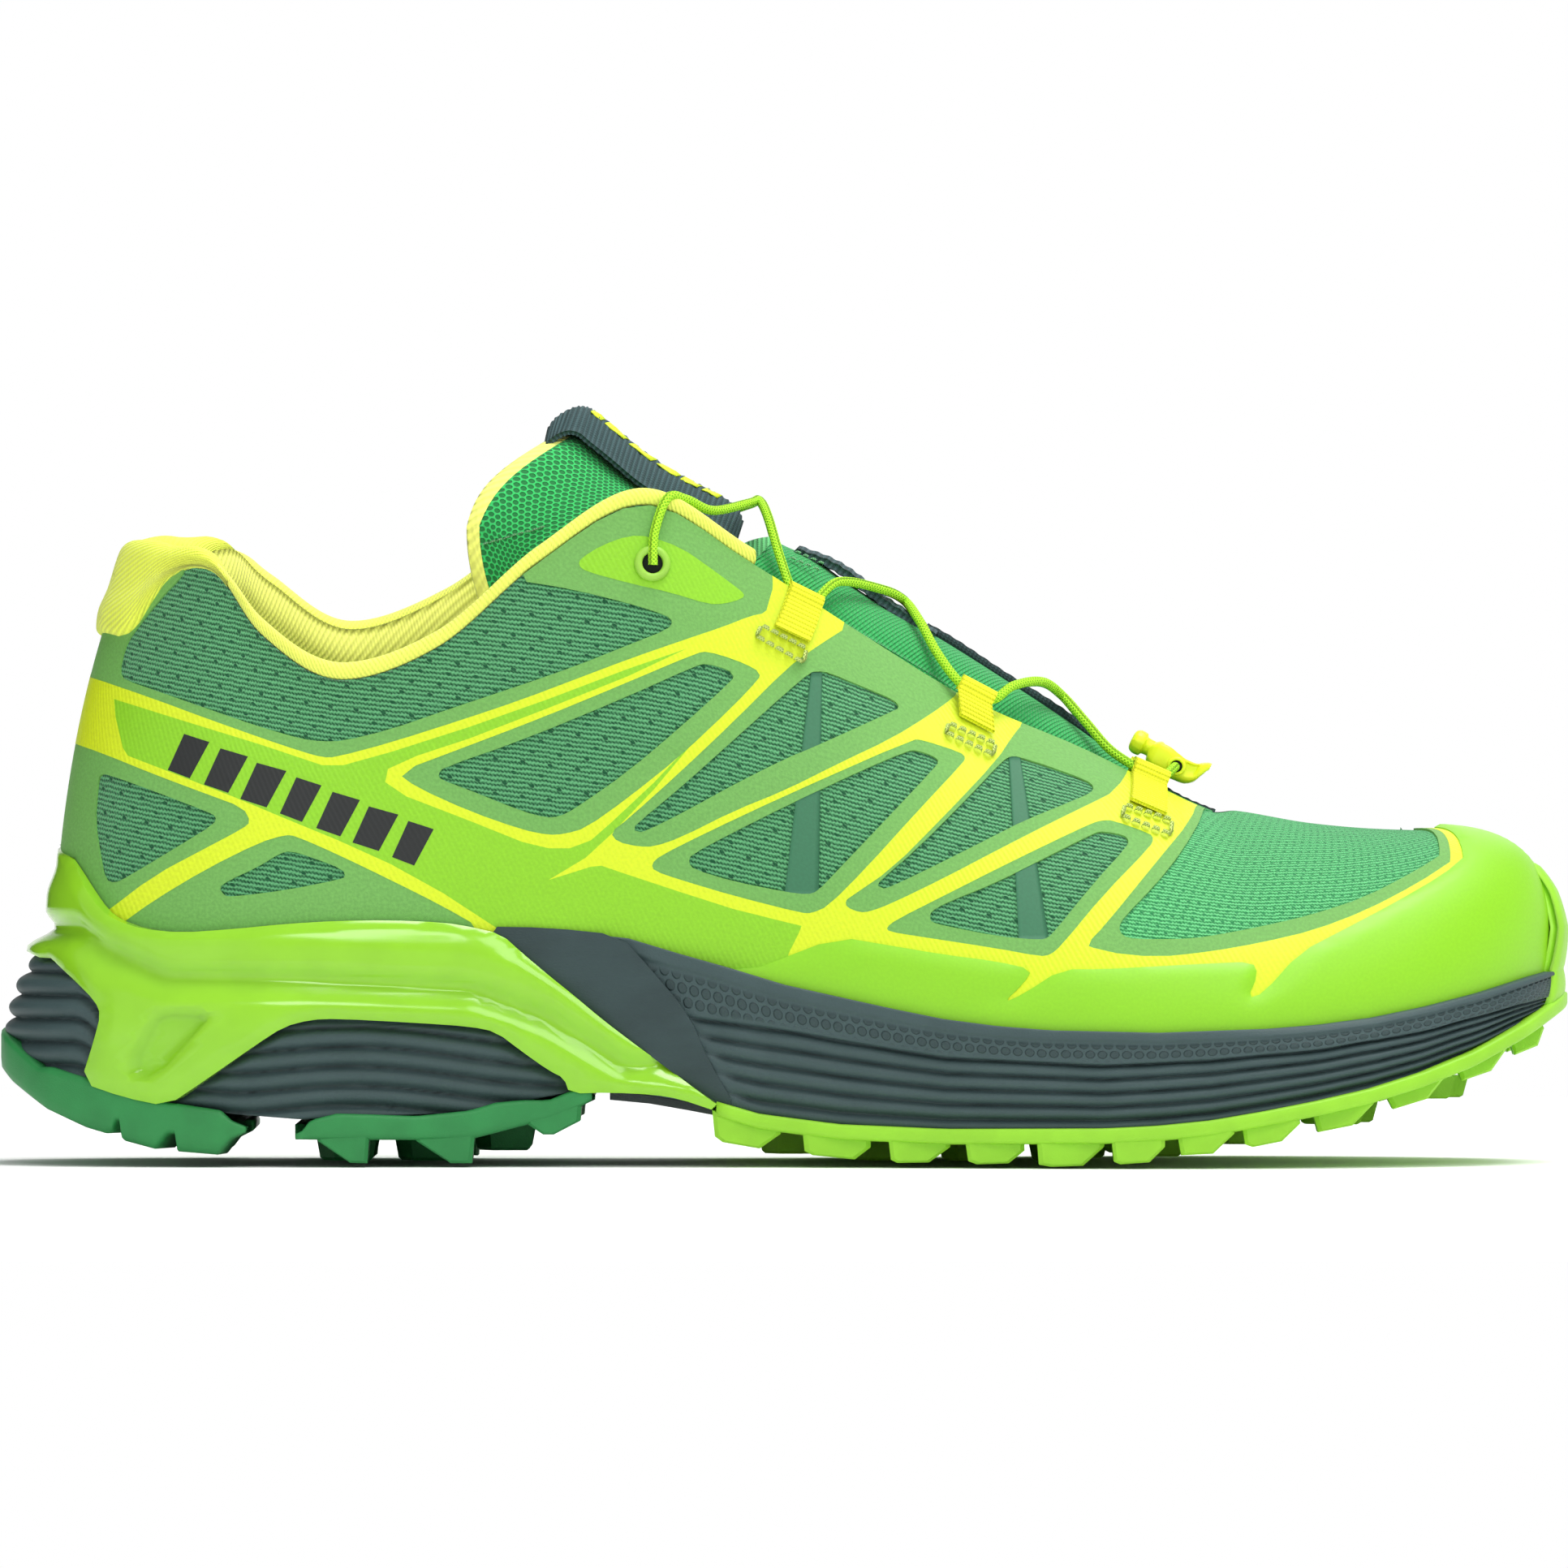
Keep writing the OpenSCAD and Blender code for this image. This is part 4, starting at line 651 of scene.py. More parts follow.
STEEL.b.inputs["Metallic"].default_value = 1.
STEEL.colour(STEEL.mix(STEEL.noise(.8), rgb(.5, .5, .5), rgb(.75, .75, .75)))
STEEL = STEEL.m
BOARD = twill_mat("board_felt", (.75, .75, .7), .8, .12, uv=False)
SOCK = twill_mat("insole_knit", (.36, .62, .1), .9, .2, uv=False)
SHEET = rubber_mat("stiffener_sheet", (.78, .78, .75), rough=.6, grain=.08)
FOAM = rubber_mat("open_foam", (.78, .8, .6), rough=.9, grain=.4, scale=1.6)
for node_name, m_ in {"insole": SOCK, "strobel_board": BOARD, "heel_counter": SHEET, "toe_puff": SHEET,
                      "collar_foam_lateral": FOAM, "collar_foam_medial": FOAM, "tongue_pad": FOAM,
                      "lock_spring": STEEL, "shank": rubber_mat("shank_plastic", (.02, .03, .03), rough=.4),
                      "lace_knots": rubber_mat("cord_end", (.4, .85, .04), rough=.7, grain=.2,
                                               scale=1.2)}.items():
    ob_ = bpy.data.objects.get(node_name)
    if ob_ is not None:
        ob_.data.materials.clear()
        ob_.data.materials.append(m_)


# ---------------------------------------------------------------- pattern coordinates on the upper
_gu, _gv = np.meshgrid(np.linspace(0, ROUND, 305), np.linspace(0, 1, 61), indexing="ij")
_gp = base(_gu, _gv)
_sv = np.cumsum(np.linalg.norm(np.diff(_gp, axis=1), axis=-1), axis=1)
_sv = np.concatenate([np.zeros((305, 1)), _sv], 1)
_su = run_length(_gp[:, 20])


def uv_at(u, v):
    """Pattern coordinates in millimetres, which lean a little towards the toe."""
    u, v = np.broadcast_arrays(np.asarray(u, float), np.asarray(v, float))
    a = np.clip(u / ROUND * 304, 0, 303.999)
    b = np.clip(v * 60, 0, 59.999)
    i, j = a.astype(int), b.astype(int)
    f, g = a - i, b - j
    s = (_sv[i, j] * (1 - f) * (1 - g) + _sv[i + 1, j] * f * (1 - g) + _sv[i, j + 1] * (1 - f) * g
         + _sv[i + 1, j + 1] * f * g)
    x = np.interp(u, np.linspace(0, ROUND, 305), _su)
    return np.stack([x, s + .12 * x * np.where(u > TOE, -1, 1)], -1)


DU, DV = 9.5, 85.  # millimetres of the flat domain to one station, and from sole to top line


def place(p, lift):
    """Points of the flat domain set on the upper."""
    return surf(np.clip(p[:, 0] / DU, 0, ROUND), np.clip(p[:, 1] / DV, 0, 1), np.asarray(lift, float))


def uv_dom(p):
    return uv_at(p[:, 0] / DU, p[:, 1] / DV)


def dom(side, pts, soft=1, step=1.3, closed=True):
    """Side-view outline to the flat domain of the upper."""
    p = chaikin(pts, soft, closed)
    p = resample(p, step, closed)
    q = find(side, p)
    u = np.where(q[:, 0] < .06, -.3, q[:, 0])
    v = np.where(q[:, 1] > .985, 1.03, q[:, 1])
    if side > 0:
        u = ROUND - u
    d = np.stack([u * DU, v * DV], -1)
    return thin(d, .35)


def toe_v(x):
    """v on the ridge over the toe at x."""
    v = np.linspace(.5, 1, 400)
    px = base(np.full(400, float(TOE)), v)[:, 0]
    return float(np.interp(-x, -px, v))


def both(line, x_end, tail):
    """Outline that runs along the outer side, over the toe at x_end and back, closed by tail (u, v)."""
    a, b = (dom(side, line, 1, 1.2, False) for side in (-1, 1))
    a = a[a[:, 0] < 18.7 * DU]
    b = b[ROUND * DU - b[:, 0] < 18.7 * DU]
    top = np.array([TOE * DU, toe_v(x_end) * DV])

    def bend(c0):
        """From the end of a side's line to the top of the toe."""
        t = np.linspace(0, 1, 9)[1:-1, None]
        ctrl = np.array([c0[0] + (top[0] - c0[0]) * .55, top[1]])
        return (1 - t)**2 * c0 + 2 * t * (1 - t) * ctrl + t * t * top

    u, v = tail
    ends = [[(ROUND - u) * DU, v * DV], [u * DU, v * DV]]
    line = np.concatenate([a, bend(a[-1]), top[None], bend(b[-1])[::-1], b[::-1], ends])
    return thin(resample(line, 2.2), .3)


WIN = {
    "A": [(-127, 93.5), (-126, 92), (-120, 90), (-110, 86.5), (-100, 83), (-92, 80.7), (-88, 80.2),
          (-84, 80.3),
          (-75, 82.5), (-65, 86), (-50, 91), (-40, 94.5), (-30, 98.5), (-22.5, 101.5), (-21.5, 103),
          (-23, 104.3), (-30, 106.5), (-40, 109), (-48, 110.4), (-53, 111), (-58, 109), (-64, 104), (-70, 99),
          (-76, 96.5), (-85, 95.5), (-91, 97), (-95, 100), (-99, 106), (-103, 111.5), (-108, 116),
          (-113, 116),
          (-114.6, 112), (-119, 107.5), (-124.5, 100.8), (-126, 98)],
    "B": [(-130.5, 74), (-129, 74), (-120, 70.8), (-110, 67), (-108, 66), (-108.5, 64.5), (-115, 60.5),
          (-125, 54.5), (-127.5, 53.3), (-129.5, 54), (-130.5, 59), (-131.5, 65), (-131, 72)],
    "C": [(-107.5, 52.5), (-106.5, 51), (-105, 50.8), (-95, 52), (-85, 54), (-83.5, 54.5), (-84, 56),
          (-90, 58.3), (-94, 59.5), (-96, 59), (-100, 56.5), (-106, 53.7)],
    "D": [(-66, 74), (-65, 75.3), (-50, 80.5), (-30, 88.8), (-17, 94.7), (-15, 95), (-11, 93.8), (-10, 92.8),
          (-10.3, 91.8), (-20, 83), (-30, 74.5), (-40, 67.5), (-43, 66), (-45.5, 65.8), (-50, 67), (-60, 71),
          (-65.5, 73)],
    "E": [(-29, 63.5), (-28, 63), (-26.5, 63.3), (-20, 66.5), (-10, 72), (0, 77), (5, 79), (15, 83.5),
          (20, 85.8), (21.5, 86.5), (20.5, 88), (15, 90.3), (8, 93.3), (6, 93.5), (4.5, 93.3), (0, 89.5),
          (-10, 80.5), (-20, 71.5), (-28.5, 64.5)],
    "F": [(-18.5, 57.3), (-17.5, 56), (-10, 53.7), (0, 51.7), (4, 51.2), (6, 51.8), (10, 56), (20, 66.5),
          (28, 75), (29, 76.3), (28, 77.3), (24.5, 78.5), (23, 78.3), (15, 75), (0, 68), (-10, 63),
          (-18, 58.8)],
    "G": [(17.3, 53), (18, 52.2), (20, 52.7), (30, 57.5), (40, 62.5), (45, 65), (55, 69), (58, 70.3),
          (58.5, 71.5), (57, 72.7), (50, 75.3), (44, 77.2), (42.5, 77.2), (41, 76.3), (35, 70), (25, 60),
          (18, 54)],
    "H": [(27.2, 47), (27.5, 46), (30, 45.3), (40, 43.3), (48, 42.6), (49.5, 43), (51, 44.5), (58, 53),
          (64.5, 60), (65, 61.3), (64, 62.3), (60, 63), (58.5, 62.7), (50, 58.5), (40, 53.5), (30, 49.5),
          (27.5, 48)]}
RIM = {
    "D": [(-73.8, 74.3), (-60, 79.5), (-50, 83.3), (-40, 87.3), (-30, 91.5), (-17, 97), (-15, 97.3),
          (-10, 95.8),
          (-6, 94), (-5, 93), (-5.3, 92), (-10, 87), (-20, 77.5), (-30, 69.5), (-38, 63.8), (-42, 62.7),
          (-45, 62.5), (-50, 63.5), (-60, 67), (-70, 71.5)],
    "E": [(-33.3, 63), (-32, 61.2), (-28, 60.3), (-25, 60.3), (-20, 62), (-10, 67), (0, 71), (10, 76),
          (20, 80.7),
          (27, 85), (31.5, 88.2), (37, 93), (30, 99), (15, 105), (12.5, 102.5), (8.5, 100), (4, 97), (0, 94),
          (-10, 84), (-20, 74.5), (-30, 65.5)],
    "F": [(24, 80.5), (26, 80.3), (33, 78), (34, 77), (33.5, 76), (25, 67), (15, 56), (8, 49), (5, 47.7),
          (3, 47.7), (-10, 51), (-20, 54), (-25, 55.7), (-25.5, 57), (-24, 58.5), (-15, 63), (0, 70)],
    "G": [(11.3, 50), (11.5, 48.8), (14, 47.8), (16, 48), (20, 49.5), (30, 54.3), (40, 59.5), (50, 64.5),
          (58, 68.3),
          (62.5, 70.5), (67, 77), (58, 83), (48, 88), (46, 84.5), (43, 81), (40, 76.5), (30, 66), (20, 56),
          (12, 50.6)],
    "H": [(19, 45), (19.5, 44.2), (25, 43.3), (40, 41), (48, 39.5), (50, 39.8), (52, 41.5), (60, 51),
          (69, 60),
          (69.7, 61.5), (69, 62.5), (62, 65), (60, 65), (58, 64.5), (50, 60.8), (40, 56), (30, 51),
          (21, 46.5)]}
YEL = [(-145, 96), (-133, 92.7), (-120, 88.3), (-110, 84.6), (-100, 81), (-92, 78.3), (-88, 77.2),
       (-85.5, 77.2), (-75, 80), (-60, 84.8), (-50, 88.2), (-40, 92), (-30, 95.8), (-20, 99.3), (-12, 102),
       (-7, 104), (-4, 104.6), (-3.5, 106.5), (-2.5, 110), (-3, 120), (20, 110), (40, 99), (60, 86), (78, 76),
       (79, 69.5), (77, 65), (70, 57), (60, 45), (57, 42), (57.5, 39), (57, 31), (0, 26), (-58, 38),
       (-58, 45), (-65, 49), (-75, 54), (-85, 58.8), (-93, 62.3), (-95, 62.5), (-100, 61), (-110, 56),
       (-120, 50), (-126, 45.7), (-131, 42), (-136, 43), (-129.5, 47.5), (-120, 54.7), (-110, 60),
       (-103, 63.7), (-101.5, 65), (-103, 67.7), (-110, 70.3), (-120, 74), (-130, 78), (-136.7, 80.2),
       (-147, 83.5)]
LIMEP = [(-127.8, 88.3), (-100, 79.7), (-88, 75.7), (-84, 75.7), (-75, 78.2), (-60, 83), (-45, 88.3),
         (-30, 94), (-19, 97.8), (-30, 92.6), (-45, 86.6), (-60, 80.8), (-70, 77.5), (-75.5, 75), (-76, 72.5),
         (-72, 69.8), (-60, 65.2), (-50, 61.2), (-45, 60), (-41, 60), (-37, 61.5), (-33, 65), (-25, 72.5),
         (-16, 82), (-25, 71.2), (-33, 62.8), (-38, 58.2), (-45, 54), (-37, 56.5), (-35, 56.7), (-30, 55),
         (-20, 51.7), (-10, 48.5), (0, 46), (3, 45.3), (2.5, 44), (0.5, 40), (0, 30), (-55, 38), (-55, 45),
         (-65, 51.5), (-75, 57), (-85, 61.5), (-95, 65.6), (-105, 69.8), (-115, 73.7), (-125, 77.5),
         (-126, 79), (-127.5, 85)]
LEAF = [(-39.5, 113.7), (-39, 115), (-35, 117.5), (-30, 119.3), (-26, 119.2), (-20, 117), (-15, 113.5),
        (-10, 109.8), (-8, 108.2), (-8.5, 107.3), (-12, 106.3), (-15, 106.3), (-22, 108.5), (-30, 110.3),
        (-38, 112.5)]
RANDTOP = [(-5, 37.5), (10, 43.2), (20, 41.5), (30, 39.8), (40, 38.5), (46.5, 37), (45, 34.5), (41, 30.7),
           (45, 32.5), (52, 37), (60, 37), (70, 37.5), (80, 38), (88, 38.3), (89, 36), (87, 31.5), (90, 32.5),
           (97, 40), (105, 44), (115, 49), (125, 54.5), (129, 57.6)]
BANDTOP = [(52, 43.5), (60, 40.3), (70, 39.3), (80, 40.3), (90, 42), (100, 44.3), (110, 48), (120, 53),
           (126.5, 57)]
VAMPLOW = [(80.5, 70), (79.5, 66), (75, 59), (70, 53), (64, 47), (62.8, 45), (63.6, 43.3), (66, 42.7),
           (75, 42.7), (80, 43.2), (90, 45), (100, 47.3), (110, 50.5), (120, 55.5), (124.5, 58.2)]


def bars():
    """Seven tapered bars along the heel band."""
    out = []
    for i in range(7):
        x = -113.5 + i * 7.1
        z = 77.6 - i * 2.75
        w, h = 2.6 + .2 * (i % 3), 3.5
        out.append([(x - w - 1.2, z - h + .7), (x + w - 2.2, z - h - .9), (x + w + 1.5, z + h - 1.0),
                    (x - w + 1.9, z + h + .55)])
    return out


# the films are cut from one triangulation of the whole upper; a later shape covers the ones before it
toe_band = both(BANDTOP, 122.6, (12.2, .06))
shapes = [("yellow", dom(side, YEL)) for side in (-1, 1)] + [("yellow", toe_band)]
for side in (-1, 1):
    shapes += [("lime", dom(side, LIMEP, 0)), ("lime", dom(side, LEAF))]
    shapes += [("film", dom(side, RIM[key])) for key in "DEFGH"]
    shapes += [("hole", dom(side, WIN[key])) for key in "ABCDEFGH"]
shapes.append(("hole", both(VAMPLOW, 120.6, (13.1, 1.03))))
shapes += [("black", dom(-1, bar, 0, .9)) for bar in bars()]
WIDE = ROUND * DU
clipped = [np.clip(line, -2, (WIDE + 2, DV + 2)) for _, line in shapes]
P2, T2 = cdt(clipped, (0., WIDE, 0., DV), 2.4)
cen = P2[T2].mean(1)
area = np.abs(np.cross(P2[T2[:, 1]] - P2[T2[:, 0]], P2[T2[:, 2]] - P2[T2[:, 0]]))
ok = (cen > 0).all(1) & (cen[:, 0] < WIDE) & (cen[:, 1] < DV) & (area > 1e-6)
T2, cen = face_up(P2, T2[ok]), cen[ok]
label = np.full(len(T2), "film", dtype="U6")
for colour, line in shapes:
    label[inside(line, cen)] = colour
outer = cen[:, 0] < TOE * DU
at_toe = (cen[:, 0] > 12 * DU) & (cen[:, 0] < 26 * DU) & inside(toe_band, cen)


def film_piece(name, pick, mat, lift, cover, slot):
    skin_piece(name, P2, T2[pick], place, mat, uv_dom, lift, .5, .12, cover=cover, slot=slot)


for lab, stem, mat, lift, slot in (("film", "film", FILM, .45, "green_film"),
                                   ("yellow", "straps", YELLOW, .5, "yellow_film"),
                                   ("lime", "side_panel", PANEL, .5, "rand")):
    for tag, half in (("lateral", outer), ("medial", ~outer)):
        pick = (label == lab) & half & ~(at_toe & (lab == "yellow"))
        film_piece(f"{stem}_{tag}_print", pick, mat, lift, (f"{stem}_{tag}",), slot)
film_piece("side_bars_lateral", label == "black", BLACK, .54, (), None)
film_piece("toe_band_print", (label == "yellow") & at_toe, YELLOW, .5, ("toe_band",), "yellow_film")

# the knitted base: two quarters and the vamp, which meet under the foremost arm
arm = find(-1, [(58, 36), (60, 41), (67, 51), (74.5, 61), (79, 68)])
arm_v = np.concatenate([[0], arm[:, 1], [1]])
arm_k = np.concatenate([[arm[0, 0]], arm[:, 0], [arm[-1, 0]]])
vs = np.linspace(0, 1, 46)
edge_k = np.interp(vs, arm_v, arm_k)
for tag, flip in (("lateral", False), ("medial", True)):
    w = np.linspace(0, 1, 150)[:, None]
    k = w * edge_k[None]
    u = ROUND - k if flip else k
    v = np.broadcast_to(vs, k.shape)
    shell(f"quarter_{tag}_knit", surf(u, v, 0.), surf(u, v, -1.2), KNIT, uv_at(u, v), flip=flip,
          cover=(f"quarter_{tag}",), slot="knit")
w = np.linspace(0, 1, 170)[:, None]
u = edge_k[None] + w * (ROUND - 2 * edge_k[None])
v = np.broadcast_to(vs, u.shape)
shell("vamp_mesh", surf(u, v, 0.), surf(u, v, -1.2), MESH, uv_at(u, v), cover=("vamp",), slot="vamp_mesh")

# slate strips between knit and film
STRIPS = [[(4.7, 93.3), (6.8, 93.3), (6.2, 51), (-.3, 51)], [(42.3, 77.2), (44.5, 77.2), (49.7, 42.7),
                                                             (44, 42.7)]]
for side, tag in SIDES:
    for number, corners in enumerate(STRIPS, 1):
        q = np.array(corners, float)
        a, b = np.linspace(0, 1, 40)[:, None, None], np.linspace(0, 1, 7)[None, :, None]
        xz = (q[0] * (1 - b) + q[1] * b) * (1 - a) + (q[3] * (1 - b) + q[2] * b) * a
        kv = find(side, xz.reshape(-1, 2)).reshape(40, 7, 2)
        u, v = side_u(side, kv[..., 0]), kv[..., 1]
        shell(f"support_strip_{number}_{tag}", surf(u, v, .3), surf(u, v, .03), STRIP, uv_at(u, v),
              flip=side < 0, cover=("support_strips",), slot="green_film")

# moulded rand and toe cap
ur = np.linspace(8.3, 29.7, 120)
low = np.stack([ur * DU, np.maximum(v_at(ur, FEATHER) - .03, .005) * DV], -1)
rand_top = both(RANDTOP, 124.6, (8.6, .3))
inner_end = dom(1, RANDTOP, 1, 1.1, False)[0]
rand_top = rand_top[:int(np.argmin(np.abs(rand_top - inner_end).sum(1))) + 1]
PR, TR = filled(np.concatenate([rand_top, low[::-1]]), [], (8 * DU, 30 * DU, 0., DV), 2.)


def rand_place(p, lift):
    """Set on the upper, easing down to the film along the rand's upper edge."""
    ease = np.clip(np.sqrt(near2(p, rand_top)) / 2.4, 0, 1)
    return place(p, lift - .62 * (1 - ease)**2)


skin_piece("rand_moulded", PR, TR, rand_place, RAND, uv_dom, 1.35, 1.4, .05, cover=("rand",), slot="rand")


# ---------------------------------------------------------------- sole
FRAME_LOW = [(-142, 39.5), (-140, 39.5), (-135, 35), (-130, 31), (-129, 28.5), (-129, 24), (-127.5, 12),
             (-117, 11.7), (-110, 16), (-105, 19.5), (-100, 23), (-95, 26.3), (-90, 27.6), (-70, 27),
             (-60, 26.3), (-55, 25.5), (-50, 21.5), (-45, 18), (-42, 16.5), (-40, 14.3)]


def sole(sd, k, inset=0., z=0.):
    """The sole's outline, drawn in by inset."""
    sd, k, inset, z = np.broadcast_arrays(*(np.asarray(a, float) for a in (sd, k, inset, z)))
    p, a, b = cr(SP, k), cr(SP, np.maximum(k - .1, 0)), cr(SP, np.minimum(k + .1, TOE))

    def y_of(q):
        return np.where(sd < 0, q[..., 1], q[..., 2])

    tx, ty = b[..., 0] - a[..., 0], y_of(b) - y_of(a)
    n = np.hypot(tx, ty)
    nx, ny = -ty / n * sd, tx / n * sd
    nx = np.where(k < .05, -1, np.where(k > 18.95, 1, nx))
    ny = np.where((k < .05) | (k > 18.95), 0, ny)
    return np.stack([p[..., 0] - inset * nx, y_of(p) - inset * ny, z], -1)


def v_z(u, z):
    """v on the upper at the height z."""
    u, z = np.broadcast_arrays(np.asarray(u, float), np.asarray(z, float))
    lo, hi = np.zeros(u.shape), np.ones(u.shape)
    for _ in range(20):
        m = (lo + hi) / 2
        over = base(u, m)[..., 2] > z
        hi, lo = np.where(over, m, hi), np.where(over, lo, m)
    return (lo + hi) / 2


def frame_pt(sd, k, z, o=0.):
    """Wall that the heel frame lies on: the sole's below z 22, the upper's above 44, and between the two."""
    sd, k, z = np.broadcast_arrays(np.asarray(sd, float), np.asarray(k, float), np.asarray(z, float))
    u = side_u(sd, k)
    a = surf(u, v_z(u, np.maximum(z, 40)), 2.6 + np.broadcast_to(np.asarray(o, float), u.shape))
    b = sole(sd, k, -.2 - np.asarray(o, float))
    s = np.clip((z - 22) / 22, 0, 1)
    e = (s * s * (3 - 2 * s))[..., None]
    p = b + (a - b) * e
    p[..., 2] = z
    return p


def outward(ob):
    """Turn every face of a closed mesh outwards."""
    bm = bmesh.new()
    bm.from_mesh(ob.data)
    bmesh.ops.recalc_face_normals(bm, faces=bm.faces)
    bm.to_mesh(ob.data)
    bm.free()


def solid_loop(name, g, mat, along, rows, **kw):
    """Closed solid from columns round the foot; rows go from under it, up the wall, to the top."""
    n, m = g.shape[:2]
    f = grid_faces(n, m)
    for i in range(n // 2):
        a, b, c, d = i, i + 1, n - 2 - i, n - 1 - i
        if b > c:
            break
        low = [a * m, b * m, c * m, d * m] if b != c else [a * m, b * m, d * m]
        f += [low, [q + m - 1 for q in low][::-1]]
    f += [[j, (n - 1) * m + j, (n - 1) * m + j + 1, j + 1] for j in range(m - 1)]
    uv = np.stack(np.meshgrid(along, rows, indexing="ij"), -1)
    outward(make(name, g.reshape(-1, 3), f, mat, uv.reshape(-1, 2), **kw))


def sides(k0, k1, n):
    """Columns round the toe (outer side, toe, inner side) from station k0."""
    k = np.linspace(k0, k1, n)
    return np.concatenate([-np.ones(n), np.ones(n - 1)]), np.concatenate([k, k[::-1][1:]])


RIBTOP = [(-40, 28), (-17, 27.8), (0, 25.5), (20, 22), (30, 20.5), (50, 19.5), (60, 19), (80, 20), (100, 22),
          (120, 25.5), (140, 31), (150, 33)]


def fore_wall(sd, k, w):
    """Bowed wall of the forefoot foam, w from the sole up, and the way it faces."""
    u = side_u(sd, k)
    v = v_at(u, FEATHER)
    a = surf(u, v, 2.4)
    p0 = sole(sd, k, 1.2)
    b = p0.copy()
    b[..., 2] = look(UNDER, p0[..., 0])
    o = sole(sd, k)
    s = np.abs(np.sin(np.pi * np.clip(w, 0, 1)))
    c = b + (a - b) * w[..., None]
    wide = (s**.6)[..., None] * .95
    c[..., :2] += (o[..., :2] - c[..., :2]) * wide
    return c, unit(o - sole(sd, k, 1.))


def ribs(t, width=.5):
    """1 in the groove between two ribs, 0 on their crowns."""
    f = t - np.floor(t)
    return 1 - np.abs(np.sin(np.pi * f))**width


def smooth(a, lo, hi):
    q = np.clip((a - lo) / (hi - lo), 0, 1)
    return q * q * (3 - 2 * q)


def foam_mat():
    """Slate foam, with painted shade in its grooves (attribute groove) and with small cells (attribute hex).
    """
    m = Mat("midsole_slate_cells", rough=.55, spec=.3)
    hexes = m.node("ShaderNodeAttribute", attribute_name="hex").outputs["Fac"]
    groove = m.node("ShaderNodeAttribute", attribute_name="groove").outputs["Fac"]
    cell = dots(m, 2.3, 2., .92, .85)
    grain = m.noise(2.2, 3, .65)
    h = m.add(m.mul(m.mul(cell, hexes), .45), m.mul(grain, .12))
    n = m.noise(.12, 3)
    in_cell = m.mul(m.mul(cell, hexes), .5)
    # painted shade: the grooves between the ribs darken towards near black
    groove_shade = m.mul(groove, .6)
    c = m.mix(groove_shade, m.mix(n, rgb(.036, .064, .066), rgb(.05, .085, .087)), rgb(.006, .012, .013))
    m.colour(m.mix(in_cell, c, rgb(.018, .034, .035)))
    m.bump(h, .8)
    return m.m


EVA_HEX = foam_mat()


def foam_piece(name, sd, k, wall, rows, attrs, cover):
    """A midsole piece: its wall, closed across under the foot and inside the upper."""
    below = []
    for inset in (9, 2.6):
        p = sole(sd, k, inset)
        p[:, 2] = look(UNDER, p[:, 0])
        below.append(p)
    u = side_u(sd, k)
    low = base(u, 0 * u)
    above = [surf(u, v_at(u, FEATHER), .45), surf(u, np.full(len(u), .04), .4), low - [0, 0, .6],
             np.stack([low[:, 0] * .975, low[:, 1] * .8, low[:, 2] - .6], -1)]
    g = np.concatenate([np.stack(below, 1), wall, np.stack(above, 1)], 1)
    attrs = {key: np.pad(val, ((0, 0), (2, 4))).ravel() for key, val in attrs.items()}
    solid_loop(name, g, EVA_HEX, run_length(sole(sd, k)), rows, cover=(cover,), slot="midsole", attrs=attrs)


sdv, kv = sides(7.5, TOE, 110)
wv = np.linspace(0, 1, 84)
SD, W = np.meshgrid(sdv, wv, indexing="ij")
K = np.broadcast_to(kv[:, None], W.shape)
wall, away = fore_wall(SD, K, W)
x, z = wall[..., 0], wall[..., 2]
under = look(UNDER, x)
rib_top = (look(RIBTOP, x) - under) / np.maximum(look(FEATHER, x) - under, 1)
start = smooth(x, -9 - (z - 11) * .59, -7 - (z - 11) * .59)
in_ribs = smooth(-W, -rib_top - .015, -rib_top + .005)
groove = ribs(np.clip(W / rib_top, 0, 1) * 5 + .04) * start * in_ribs
dent = -1.9 * groove - .8 * start * in_ribs * .4 + .5 * smooth(W, .88, .92)
wave = .18 * np.sin(x * .35 + 2 * np.sin(x * .09)) * start * in_ribs
seat = 1.3 * (1 - smooth(K, 7.7, 8.7)) * smooth(z, 12, 20)
wall = wall + away * (dent + wave - seat)[..., None]
hexes = smooth(W, rib_top + .03, rib_top + .07) * (1 - smooth(W, .84, .88)) * smooth(wall[..., 0], -38, -33)
# the groove attribute also sets the painted shade in the foam's grooves
foam_piece("midsole_forefoot_foam", sdv, kv, wall, np.concatenate([[-12, -4], wv * 22, [24, 34, 36, 50]]),
           {"hex": hexes, "groove": groove}, "midsole_forefoot")

# smooth facet where the foam of the forefoot meets the arm of the frame
FACET = [(-58, 45.2), (-45, 45), (-31.5, 43.6), (-26, 37.5), (-18.4, 28.6), (-14.8, 20), (-9.4, 10.8),
         (-12.6, 10.9), (-15, 12.9), (-20, 16.5), (-25, 20.2), (-30, 23.9), (-40, 31), (-50, 38.4)]
FKW = np.linspace(5.6, 9.6, 90)


def facet_xz(sd, k, z, o):
    """The facet's surface: along the frame behind, along the foam's wall in front."""
    a = frame_pt(sd, k, z, -1.15 + o)
    kk = np.maximum(k, 7.5)
    top_ = surf(side_u(sd, kk), v_at(side_u(sd, kk), FEATHER), 2.4)
    un = look(UNDER, sole(sd, kk, 1.2)[..., 0])
    w = np.clip((z - un) / np.maximum(top_[..., 2] - un, 1), 0, 1.05)
    b, n = fore_wall(sd, kk, w)
    b = b + n * (.5 + o)[..., None]
    b[..., 2] = z
    e = smooth(k, 7.1, 7.9)[..., None]
    return a * (1 - e) + b * e


